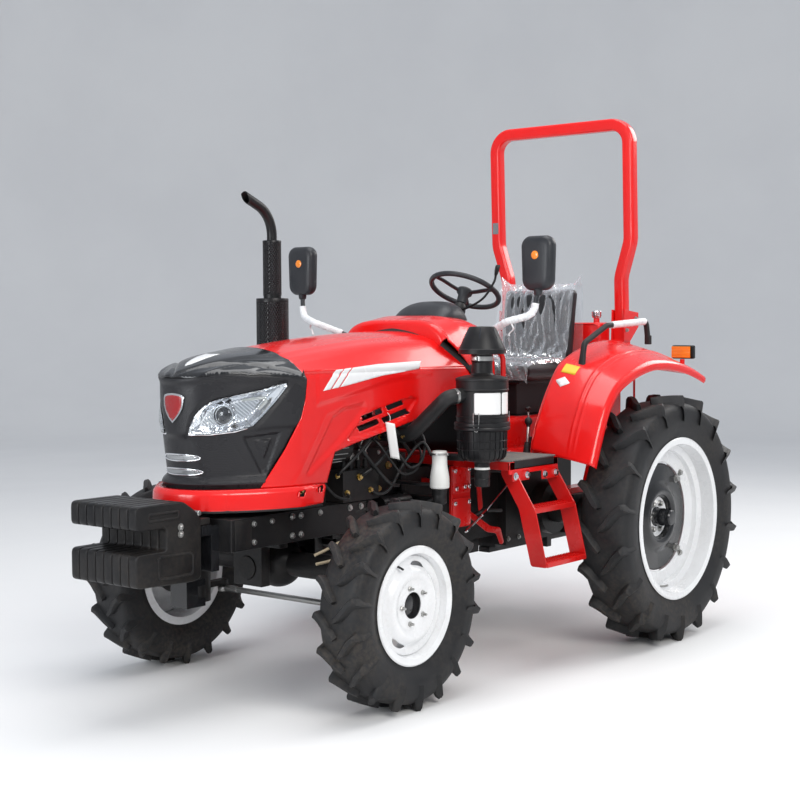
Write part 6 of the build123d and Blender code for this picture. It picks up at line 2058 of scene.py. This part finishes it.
intake_path = bent_path([(back(1.183), 0.531, 1.1903), (back(1.240), 0.510, 1.185),
                       (back(1.265), 0.330, 1.020), (back(1.265), 0.133, 1.020)],
                      [0.040, 0.090], 16)
hose_even = even(intake_path, 70)
replacing(piece("intake_hose_tube", tube(hose_even, 0.0325, 26), "hose_rubber", "chassis",
                angle=60), "intake_hose")
hose_clamps = []
for k in (3, 64):
    way = hose_even[k + 1] - hose_even[k]
    hose_clamps.append(band(-0.006, 0.006, 0.0322, 0.0335, hose_even[k], way, 32))
    hose_clamps.append(bolt(hose_even[k] + np.array([0.010, 0.028, 0.014]), (1, 0.2, 0), 0.005,
                            0.012))
piece("intake_hose_clamps", joined(hose_clamps), "zinc", "chassis")
bottle_place = (back(1.190), 0.430, 0.0)
bottle = lathe([(0.793, 0.0), (0.793, 0.036), (0.797, 0.0412), (0.815, 0.0418), (0.842, 0.0408),
                (0.866, 0.0370), (0.886, 0.0335), (0.904, 0.0322), (0.934, 0.0320),
                (0.937, 0.0350), (0.944, 0.0350), (0.946, 0.031), (0.953, 0.030), (0.954, 0.0)],
               bottle_place, up_way, 48)
bottle_foot = lathe([(0.727, 0.0), (0.727, 0.0265), (0.731, 0.0295), (0.760, 0.0298),
                     (0.764, 0.0285), (0.770, 0.0285), (0.774, 0.0298), (0.794, 0.030),
                     (0.796, 0.036), (0.799, 0.0415), (0.799, 0.0)], bottle_place, up_way, 40)
bottle_arm = block(back(1.165), back(1.215), 0.166, 0.398, 0.801, 0.811, 0.002, 0.003)
replacing(piece("coolant_bottle_shell", bottle, "milky_plastic", "chassis",
                angle=50), "coolant_bottle")
piece("coolant_bottle_foot", joined([bottle_foot, bottle_arm]), "satin_black", "chassis",
      angle=40)
bottle_clamp = band(0.9365, 0.9450, 0.0345, 0.0368, bottle_place, up_way, 36)
bottle_lug = block(bottle_place[0] - 0.006, bottle_place[0] + 0.006, 0.464, 0.478, 0.936, 0.946,
                   0.0015, 0.002)
piece("coolant_bottle_clamp", joined([bottle_clamp, bottle_lug]), "zinc", "chassis")

# ---- weights, carrier and frame rails --------------------------------------------------
weight_pitch = 0.046
nose_x = fore(0.932)
carrier_x = fore(0.562)
hook_x = carrier_x + 0.0003
body_x = carrier_x + 0.0483
weight_outline = rounded_outline([
    (body_x + 0.002, 0.544), (body_x + 0.040, 0.535), (nose_x - 0.012, 0.544),
    (nose_x - 0.001, 0.556), (nose_x - 0.001, 0.656), (nose_x - 0.012, 0.667),
    (nose_x - 0.147, 0.667), (nose_x - 0.147, 0.751), (nose_x - 0.012, 0.751),
    (nose_x - 0.001, 0.762), (nose_x - 0.001, 0.830), (nose_x - 0.012, 0.841),
    (nose_x - 0.232, 0.841), (nose_x - 0.296, 0.799), (body_x, 0.765)], 0.016, 6)
weights = []
for index in range(8):
    low = (index - 4) * weight_pitch
    weights.append(rounded_slab(weight_outline, low + 0.0006, low + 0.0454, "xz", 0.007, 5))
    weights.append(block(hook_x, body_x + 0.012, low + 0.004, low + 0.042, 0.741, 0.767))
for side in (1, -1):
    face_y = side * 0.1838
    low_ridge = rounded_outline([(nose_x - 0.105, 0.566), (nose_x - 0.105, 0.650),
                                 (nose_x - 0.275, 0.646), (nose_x - 0.275, 0.566)], 0.020)
    top_ridge = rounded_outline([(nose_x - 0.060, 0.784), (nose_x - 0.060, 0.808),
                                 (nose_x - 0.205, 0.808), (nose_x - 0.205, 0.784)], 0.010)
    for loop in (low_ridge, top_ridge):
        weights.append(looped(sheet_of(loop[:, 0], face_y - side * 0.003, loop[:, 1]), 0.0075))
replacing(piece("ballast_plates", joined(weights), "cast_black", "chassis",
                angle=35), "front_weights")
tie_bolts = [rod((carrier_x + 0.060, side * 0.150, 0.790), (carrier_x + 0.060, side * 0.186, 0.790),
                 0.010, 14) for side in (1, -1)]
bolt_x, bolt_heights = nose_x - 0.215, (0.722, 0.748)
tie_bolts += [rod((bolt_x, -0.195, z), (bolt_x, 0.195, z), 0.0065, 12) for z in bolt_heights]
tie_bolts += [bolt((bolt_x, side * 0.184, z), (0, side, 0), 0.0105, 0.008) for side in (-1, 1)
              for z in bolt_heights]
piece("ballast_tie_bolts", joined(tie_bolts), "zinc", "chassis")
softened("weight_bracket", "gloss_black", 0.006)
softened("front_bolster", "satin_black", 0.006)
front_plate = block(fore(0.415), fore(0.505), 0.2502, 0.2532, 0.640, 0.750, 0.001, 0.004)
side_bolts = bolts([(fore(x), 0.2505, z) for x in (-0.235, -0.165, 0.135, 0.185)
                    for z in (0.660, 0.735)], y_way, 0.010, 0.010)
carrier_bolts = bolts([(fore(0.40), 0.2505, 0.66), (fore(0.40), 0.2505, 0.73),
                       (fore(0.30), 0.2505, 0.73), (fore(0.02), 0.2505, 0.735)], y_way,
                      0.009, 0.010)
piece("bolster_face_plates", both(front_plate), "cast_black", "chassis")
piece("bolster_bolts", both(joined([side_bolts, carrier_bolts])), "zinc", "chassis")

# ---- front axle and steering -----------------------------------------------------------
for name in ("front_axle", "knuckle_left", "knuckle_right"):
    softened(name, "cast_black", 0.006)
for hand, side in (("left", 1), ("right", -1)):
    drive_bolts = turned(bolt(np.array([fore(0.082), side * 0.5585, 0.407]), (0, -side, 0),
                              0.007, 0.005), front_wheel * [1, side, 1], y_way, turns(12))
    piece("knuckle_bolts_" + hand, drive_bolts, "zinc", "front_knuckle_" + hand)
tie_middle = middle("tie_rod") * [1, 0, 1]
tie_shapes = [rod(tie_middle - [0, 0.440, 0], tie_middle + [0, 0.440, 0], 0.0125, 20)]
for side in (1, -1):
    nut_start, nut_end, eye_middle = (tie_middle + [0, side * y, 0]
                                      for y in (0.395, 0.480, 0.490))
    tie_shapes += [rod(nut_start, nut_end, 0.0148, 6),
                   lathe([(-0.0145, 0.010), (-0.0145, 0.019), (-0.004, 0.0235), (0.006, 0.0235),
                          (0.0145, 0.017), (0.0145, 0.010)], eye_middle, up_way, 28)]
replacing(piece("tie_rod_bar", joined(tie_shapes), "zinc", "steering_tie_rod",
                angle=40), "tie_rod")


# ---- engine and transmission -----------------------------------------------------------
for name in ("engine_block", "engine_equipment", "gearbox", "rear_axle_housing", "radiator"):
    softened(name, "cast_black", 0.007)
softened("front_drive_shaft", "satin_black", 0.004)


def hose(points, radius, sides=12, count=40):
    """A hose or pipe along a smooth path through a few points."""
    return tube(smooth_path(points, count), radius, sides)


def place(back_x, y, z):
    """A point given by its distance ahead of the rear axle, Y and Z, in metres."""
    return back(back_x), y, z


head_bolts = bolts([place(x, y, 1.0905) for x in np.linspace(1.20, 1.78, 7)
                    for y in (-0.105, 0.105)], up_way, 0.008, 0.009)
cover_bolts = bolts([place(x, 0.0, 1.1705) for x in (1.30, 1.50, 1.70)], up_way, 0.010, 0.012)
side_fasteners = bolts([place(x, 0.1655, z) for x in np.linspace(1.19, 1.80, 8)
                        for z in (0.678, 0.940)], y_way, 0.0075, 0.007)
bell_bolts = bolts([place(1.150, 0.178, z) for z in (0.90, 0.80, 0.70, 0.60, 0.54)],
                   (1, 0, 0), 0.008, 0.008)
rear_bolts = bolts([place(x, 0.1805, z) for x in (-0.23, -0.08, 0.07, 0.22, 0.31)
                    for z in (0.45, 0.88)], y_way, 0.009, 0.009)
piece("engine_fasteners", joined([head_bolts, cover_bolts, both(side_fasteners), both(bell_bolts),
                                  both(rear_bolts)]), "zinc", "chassis", angle=40)
pump_x = (fore(-0.020) + back(1.150)) / 2
injectors = []
for k in range(4):
    start = np.array([pump_x + k * 0.048, 0.220, 0.925])
    end = np.array([back(1.25 + k * 0.14), 0.128, 1.075])
    injectors.append(tube(smooth_path([start, start + [0, 0.006, 0.045],
                                       start * 0.5 + end * 0.5 + [0, 0.045, 0.035],
                                       end + [0, 0.030, 0.010], end], 30), 0.0032, 8))
piece("injector_pipes", joined(injectors), "zinc", "chassis", angle=60)
# X ahead of the rear axle, Y, Z, the way it faces, radius and height
fittings = [bolt(place(x, y, z), way, radius, height) for x, y, z, way, radius, height in (
    (1.52, 0.262, 0.860, y_way, 0.011, 0.014), (1.60, 0.262, 0.800, y_way, 0.009, 0.012),
    (1.45, 0.262, 0.800, y_way, 0.009, 0.012), (1.66, 0.262, 0.875, y_way, 0.008, 0.010),
    (1.36, 0.232, 0.795, y_way, 0.010, 0.012), (1.30, 0.192, 1.010, y_way, 0.009, 0.016),
    (1.42, 0.192, 1.025, y_way, 0.009, 0.016), (1.22, 0.170, 0.880, y_way, 0.012, 0.016),
    (1.72, 0.170, 0.900, y_way, 0.010, 0.014), (1.78, 0.170, 0.820, y_way, 0.010, 0.014),
    (1.25, 0.320, 1.035, (0.3, 1, 0), 0.008, 0.018),
    (1.22, 0.335, 1.055, (0.3, 1, 0), 0.007, 0.014),
    (1.29, 0.310, 1.015, (0.2, 1, 0.3), 0.007, 0.016))]
piece("engine_fittings", joined(fittings), "gold_zinc", "chassis", angle=40)
# radius, sides, and the points of each hose: X ahead of the rear axle, Y, Z
hose_table = [
    (0.0075, 12, [(1.30, 0.195, 1.01), (1.33, 0.285, 1.00), (1.42, 0.300, 0.93),
      (1.50, 0.285, 0.88), (1.52, 0.262, 0.862)]),
    (0.0065, 12, [(1.42, 0.200, 1.03), (1.46, 0.280, 1.03), (1.58, 0.305, 0.96),
      (1.66, 0.290, 0.90), (1.66, 0.262, 0.875)]),
    (0.0070, 12, [(1.19, 0.390, 0.93), (1.20, 0.340, 0.985), (1.27, 0.300, 0.90),
      (1.36, 0.295, 0.80), (1.42, 0.280, 0.78), (1.45, 0.262, 0.80)]),
    (0.0070, 12, [(1.19, 0.395, 0.745), (1.22, 0.330, 0.71), (1.32, 0.285, 0.70),
      (1.42, 0.255, 0.72), (1.55, 0.24, 0.71), (1.62, 0.20, 0.70)]),
    (0.0085, 12, [(1.17, 0.25, 0.935), (1.24, 0.285, 0.97), (1.36, 0.285, 1.07),
      (1.55, 0.265, 1.06), (1.74, 0.235, 1.05), (1.80, 0.20, 1.02)]),
    (0.006, 12, [(1.60, 0.262, 0.800), (1.63, 0.300, 0.78), (1.70, 0.285, 0.80),
      (1.76, 0.250, 0.88), (1.78, 0.20, 0.95)]),
    (0.0060, 12, [(1.40, 0.200, 1.06), (1.38, 0.290, 1.02), (1.34, 0.330, 0.94),
      (1.28, 0.345, 0.885), (1.22, 0.360, 0.915), (1.17, 0.330, 1.00), (1.15, 0.25, 1.06)]),
    (0.0050, 12, [(1.46, 0.200, 1.05), (1.45, 0.300, 1.00), (1.40, 0.335, 0.92),
      (1.33, 0.340, 0.862), (1.25, 0.350, 0.872), (1.19, 0.330, 0.94), (1.15, 0.24, 1.00)]),
    (0.0080, 12, [(1.52, 0.190, 1.06), (1.54, 0.270, 1.00), (1.50, 0.300, 0.93),
      (1.43, 0.310, 0.86), (1.36, 0.300, 0.82), (1.26, 0.26, 0.80)]),
    (0.0110, 14, [(1.72, 0.18, 0.90), (1.78, 0.235, 0.93), (1.83, 0.20, 1.00),
      (1.86, 0.16, 1.10)]),
    (0.0075, 12, [(1.30, 0.17, 1.06), (1.34, 0.22, 1.045), (1.46, 0.225, 1.04),
      (1.60, 0.215, 1.045), (1.70, 0.17, 1.05)]),
]
hoses = [hose([place(*point) for point in points], radius, sides)
         for radius, sides, points in hose_table]
piece("engine_hoses", joined(hoses), "hose_rubber", "chassis", angle=60)
upper_coolant = hose([place(1.72, 0.06, 1.16), place(1.80, 0.07, 1.19), place(1.90, 0.09, 1.185),
                      (fore(0.120), 0.10, 1.17), (fore(0.165), 0.10, 1.17)], 0.021, 18)
lower_coolant = hose([place(1.80, 0.13, 0.74), place(1.86, 0.19, 0.75), place(1.95, 0.20, 0.79),
                      (fore(0.165), 0.20, 0.82)], 0.018, 18)
piece("coolant_hoses", joined([upper_coolant, lower_coolant]), "hose_rubber", "chassis",
      angle=60)
alternator = np.array([fore(-0.070), 0.231, 0.990])
alternator_ribs = []
for turn in turns(16):
    near = alternator + np.array([0, np.cos(turn), np.sin(turn)]) * 0.0622
    alternator_ribs.append(tube(np.stack([near - [0.040, 0, 0], near + [0.040, 0, 0]]), 0.0022,
                                6))
piece("alternator_ribs", joined(alternator_ribs), "zinc", "chassis", angle=50)
fan_blades = []
for turn in turns(7):
    r, w = np.meshgrid(np.linspace(0.030, 0.166, 8), np.linspace(-1, 1, 5), indexing="ij")
    a = turn + w * (0.030 + 0.012 * r / 0.166) / r + 0.3 * (r - 0.03) / 0.136
    fan_blades.append(grid(np.stack([fore(0.0935) + w * 0.0065, np.cos(a) * r,
                                     0.970 + np.sin(a) * r], -1)))
piece("fan_blades", joined(fan_blades), "grey_plastic", "chassis", wall=0.0015,
      facing=False)
tag_t = np.linspace(0, 1, 16)
tag_w = np.linspace(-0.021, 0.021, 5)
tag_side = tag_w[None] + 0.022 * tag_t[:, None]
tag_bow = 0.006 * np.sin(tag_t * 3.0)[:, None] + 0.003 * np.cos(tag_w * 60)[None]
tag_grid = sheet_of(back(1.415) - 0.62 * tag_side + 0.78 * tag_bow * 0.5,
                    0.342 + 0.70 * tag_side + 0.62 * tag_bow * 0.5,
                    1.082 - 0.150 * tag_t[:, None] - 0.2 * tag_w[None])
piece("hanging_tag", grid(tag_grid), "label_white", "chassis", wall=0.0006,
      facing=False)
tag_cord = tube(smooth_path([place(1.405, 0.318, 1.125), place(1.408, 0.336, 1.108),
                             place(1.412, 0.339, 1.088)], 8), 0.0012, 6)
piece("hanging_tag_tie", tag_cord, "label_white", "chassis")
steering_pipes = [hose([(fore(x), y, z) for x, y, z in points], 0.006, 10) for points in (
    [(-0.16, 0.262, 0.610), (-0.05, 0.285, 0.605), (0.04, 0.300, 0.590), (0.10, 0.292, 0.575)],
    [(-0.17, 0.262, 0.585), (-0.06, 0.300, 0.570), (0.02, 0.315, 0.548), (0.10, 0.300, 0.540)])]
piece("steering_pipes", both(joined(steering_pipes)), "rope_beige", "chassis", angle=60)
core_low, core_high = (np.array(corner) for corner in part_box("radiator"))
fin_z = np.arange(core_low[2] + 0.050, core_high[2] - 0.055, 0.0095)
fins = [slab([(core_high[0] - 0.001, z + 0.0030), (core_high[0] + 0.0035, z),
              (core_high[0] + 0.0035, z + 0.0014), (core_high[0] - 0.001, z + 0.0046)],
             core_low[1] + 0.035, core_high[1] - 0.035) for z in fin_z]
core_frame = rounded_outline(oblong(core_low[1] + 0.028, core_high[1] - 0.028,
                                    core_low[2] + 0.042, core_high[2] - 0.046), 0.02)
frame_line = sheet_of(core_high[0] + 0.001, core_frame[:, 0], core_frame[:, 1])
piece("radiator_fins", joined(fins), "zinc", "chassis")
piece("radiator_core_frame", looped(frame_line, 0.005), "satin_black", "chassis")
filler = lathe([(-0.002, 0), (-0.002, 0.020), (0.012, 0.020), (0.013, 0.027), (0.024, 0.027),
                (0.026, 0.024), (0.026, 0)], ((core_low[0] + core_high[0]) / 2, -0.08,
                                              core_high[2]), up_way, 24)
piece("radiator_cap", filler, "zinc", "chassis")

# ---- gear cover and boarding handle ----------------------------------------------------
piece("gear_cover", block(back(-0.185), back(0.520), -0.235, 0.235, 0.890, 1.038, 0.018, 0.03),
      "red_chassis", "chassis")
handle_path = bent_path([(back(0.735), 0.322, 1.325), (back(0.680), 0.345, 1.362),
                         (back(0.598), 0.348, 1.362), (back(0.590), 0.348, 0.902)],
                        [0.03, 0.045], 10)
piece("boarding_handle", joined([tube(even(handle_path, 50), 0.0120, 16),
                                 block(back(0.560), back(0.620), 0.325, 0.371, 0.900, 0.906)]),
      "red_chassis", "chassis", angle=50)

# ---- brackets under the floor ----------------------------------------------------------
hanger_bolts = bolts([place(x, 0.3455, z) for x, z in ((0.868, 0.770), (0.900, 0.770),
                                                       (0.962, 0.765), (0.868, 0.700),
                                                       (0.972, 0.700), (0.972, 0.612),
                                                       (0.868, 0.845), (0.972, 0.845))],
                     y_way, 0.0115, 0.010)
hanger_face = [rounded_slab(rounded_outline(oblong(back(0.854), back(0.986), low, high), corner),
                            0.3452, outside, "xz", 0.001, 3)
               for low, high, corner, outside in ((0.596, 0.722, 0.014, 0.3500),
                                                  (0.742, 0.860, 0.010, 0.3482))]
pedal_arm = [(0.840, 0.640), (0.815, 0.655), (0.640, 0.560), (0.560, 0.545), (0.530, 0.470),
             (0.555, 0.462), (0.590, 0.520), (0.665, 0.535)]
pedal_link = [(0.770, 0.830), (0.740, 0.830), (0.715, 0.655), (0.745, 0.640)]
pedal_plates = [rounded_slab(rounded_outline([(back(x), z) for x, z in points], corner),
                             inside, outside, "xz", 0.002, 3)
                for points, corner, inside, outside in ((pedal_arm, 0.012, 0.300, 0.308),
                                                        (pedal_link, 0.010, 0.312, 0.319))]
piece("floor_hangers", both(joined(hanger_face)), "red_chassis", "chassis")
piece("pedal_arms", both(joined(pedal_plates)), "red_chassis", "chassis")
link_rods = joined([rod(place(0.870, 0.330, 0.560), place(0.690, 0.322, 0.640), 0.0055, 12),
                    rod(place(0.860, 0.330, 0.564), place(0.820, 0.328, 0.582), 0.0085, 6),
                    rod(place(0.735, 0.324, 0.620), place(0.695, 0.322, 0.638), 0.0085, 6),
                    rod(place(0.690, 0.322, 0.640), place(0.440, 0.300, 0.770), 0.0040, 10)])
piece("pedal_rods", both(link_rods), "chrome", "chassis")
piece("floor_hanger_bolts", both(hanger_bolts), "chrome", "chassis", angle=40)
brake_lines = [hose([place(*point) for point in points], radius) for radius, points in (
    (0.009, [(0.95, 0.20, 0.66), (0.80, 0.25, 0.60), (0.60, 0.23, 0.62), (0.40, 0.20, 0.60)]),
    (0.007, [(0.95, 0.18, 0.80), (0.75, 0.24, 0.78), (0.55, 0.22, 0.80), (0.34, 0.20, 0.78)]))]
piece("brake_lines", both(joined(brake_lines)), "hose_rubber", "chassis", angle=60)

# ---- levers and pedals -----------------------------------------------------------------
lever_shapes, knob_shapes, boot_shapes, handle_shapes = [], [], [], []
thin_knob, pedal_knob = 0.018, 0.025
# X of the foot ahead of the rear axle, Y, X and Z of the top, radius of the knob: below
# thin_knob it is a T handle, and from pedal_knob on it is a pedal's pad
for foot_x, y, top_x, top_z, knob in ((0.570, 0.460, 0.555, 1.045, 0.020),
                                      (0.300, 0.300, 0.318, 1.085, 0.017),
                                      (0.300, -0.300, 0.350, 1.330, 0.020),
                                      (0.220, -0.330, 0.260, 1.320, 0.020),
                                      (0.600, 0.180, 0.640, 1.040, 0.026),
                                      (0.600, -0.180, 0.640, 1.040, 0.026)):
    foot = np.array(place(foot_x, y, floor_top - 0.0005))
    top = np.array(place(top_x, y, top_z))
    way = unit(top - foot)
    lever_shapes.append(rod(foot + way * 0.012, top - way * knob * 0.5,
                            0.0048 if knob < thin_knob else 0.0066, 12))
    z = np.linspace(0, 0.05, 17)
    boot_shapes.append(lathe([(0, 0)] + [(a, 0.0178 - 0.10 * a + 0.0012 * np.cos(a * 900))
                                         for a in z] + [(0.052, 0.0)], foot, way, 24))
    if knob < thin_knob:
        across = np.array([1.0, 0.0, 0.0])
        handle_shapes.append(joined([
            tube(smooth_path([top - across * 0.017, top + way * 0.004,
                              top + across * 0.017], 12), 0.0062, 12),
            lathe([(-0.014, 0.0), (-0.014, 0.0055), (-0.004, 0.0075), (0.0, 0.0)], top, way, 16)]))
    elif knob < pedal_knob:
        t = np.linspace(0, np.pi, 14)
        knob_shapes.append(lathe(np.stack([-np.cos(t) * knob * 0.99,
                                           np.sin(t) * knob * 0.92 + 1e-6], -1), top, way, 28))
        knob_shapes.append(lathe([(-knob * 1.25, 0.0), (-knob * 1.25, 0.0085),
                                  (-knob * 0.7, 0.0105), (-knob * 0.6, 0.0)], top, way, 20))
    else:
        pad = block(top[0] - 0.020, top[0] + 0.022, y - 0.025, y + 0.025, top[2] - 0.012,
                    top[2] + 0.006, 0.004, 0.008)
        pad_ribs = [rod((top[0] - 0.016 + 0.008 * k, y - 0.021, top[2] + 0.006),
                        (top[0] - 0.016 + 0.008 * k, y + 0.021, top[2] + 0.006), 0.0018, 8,
                        0.0005) for k in range(5)]
        knob_shapes.append(joined([pad] + pad_ribs))
replacing(piece("control_levers", joined(lever_shapes), "zinc", "chassis", angle=50),
          "levers")
piece("control_knobs", joined(knob_shapes + handle_shapes), "satin_black", "chassis",
      angle=50)
piece("lever_boots", joined(boot_shapes), "hose_rubber", "chassis", angle=60)

# ---- linkage, drawbar and power take-off -----------------------------------------------
for name in ("lift_arms", "lift_rods", "lower_links", "top_link"):
    softened(name, "red_chassis", 0.0025)
softened("linkage_bracket", "cast_black", 0.004)
softened("drawbar", "satin_black", 0.004)
pto_height = 0.640
guard_radius = 0.105
angle = turns(72)
radius = 0.0164 + 0.0010 * np.sign(np.sin(angle * 6))
section = np.stack([np.cos(angle), np.sin(angle)], -1) * radius[:, None]
stub_x = np.array([back(-0.2605), back(-0.300), back(-0.318), back(-0.320), back(-0.326),
                   back(-0.328), back(-0.342), back(-0.3448)])
stub_scale = np.array([1, 1, 1, 0.84, 0.84, 1, 1, 0.9])
stub = np.stack([np.broadcast_to(stub_x[:, None], (8, 72)),
                 stub_scale[:, None] * section[None, :, 0],
                 pto_height + stub_scale[:, None] * section[None, :, 1]], -1)
replacing(piece("pto_splines", grid(stub, round_cols=True, cap_rows=True), "zinc", "pto_output",
                angle=40), "pto_shaft")
guard_angle = np.linspace(-0.15 * np.pi, 1.15 * np.pi, 30)
guard_x = np.array([back(-0.2605), back(-0.33)])
guard = sheet_of(guard_x[:, None], guard_radius * np.cos(guard_angle)[None],
                 pto_height + guard_radius * np.sin(guard_angle)[None])
piece("pto_guard", grid(guard), "red_chassis", "chassis", wall=0.004, facing=False)


# ---- camera, floor and light -----------------------------------------------------------
camera_data = bpy.data.cameras.new("view_camera")
camera_data.lens = 65.77
camera_data.sensor_width = 36.0
camera_data.clip_end = 200.0
camera_data.dof.use_dof = False
camera = added("view_camera", camera_data)
looking = Vector((-0.7801, -0.6234, -0.0530)).normalized()
right_hand = looking.cross(Vector((-0.0440, -0.0298, 0.9986))).normalized()
upright = right_hand.cross(looking)
camera.matrix_world = Matrix.Translation((5.266, 4.165, 1.499)) @ Matrix(
    (right_hand, upright, -looking)).transposed().to_4x4()
bpy.context.scene.camera = camera

angle = np.linspace(0, tau / 4, 12)
floor_profile = np.concatenate([[(0, 0.001), (0, 6.0)],
                                np.stack([5 - 5 * np.cos(angle), 13 + 5 * np.sin(angle)], -1),
                                [(9.0, 18.0)]])
floor_shape = lathe(floor_profile, (0, 0, 0), up_way, 96)
floor_rows = [row for table in floor_shape[1] for row in table.tolist()]
floor_mesh = bpy.data.meshes.new("studio_floor")
floor_mesh.from_pydata(floor_shape[0].tolist(), [], floor_rows)
floor_mesh.polygons.foreach_set("use_smooth", [True] * len(floor_mesh.polygons))
floor = added("studio_floor", floor_mesh)
finish("floor_paint", (0.82, 0.82, 0.815), (0.78, 0.78, 0.78), 0.6, relief=0.05, grain=30,
       patch=0.4, dust=0)
floor_mesh.materials.append(materials["floor_paint"])

world = bpy.data.worlds.new("studio")
world.use_nodes = True
sky = world.node_tree.nodes["Background"].inputs
sky["Color"].default_value = (0.86, 0.91, 1.0, 1)
sky["Strength"].default_value = 0.62
bpy.context.scene.world = world
bpy.context.scene.view_settings.view_transform = "Standard"


def softbox(name, place, aim, width, height, power, colour=(1, 1, 1)):
    """A rectangular lamp that faces a point."""
    lamp = bpy.data.lights.new(name, "AREA")
    lamp.shape = "RECTANGLE"
    lamp.size, lamp.size_y, lamp.energy, lamp.color = width, height, power, colour
    way = Vector(aim) - Vector(place)
    added(name, lamp).matrix_world = (Matrix.Translation(place)
                                      @ way.to_track_quat("-Z", "Y").to_matrix().to_4x4())


softbox("key_light", (3.4, 6.5, 5.2), (0.2, 0, 0.9), 4.0, 3.0, 360, (1.0, 0.97, 0.93))
softbox("front_light", (7.0, -0.6, 2.2), (1.2, 0, 0.8), 3.0, 2.6, 170, (0.94, 0.97, 1.0))
softbox("top_light", (0, 0.5, 7.0), (0, 0, 0), 6.0, 4.0, 260)
softbox("rear_light", (-6.0, 2.0, 4.5), (0, 0, 1.0), 3.0, 2.5, 150, (1.0, 0.98, 0.95))
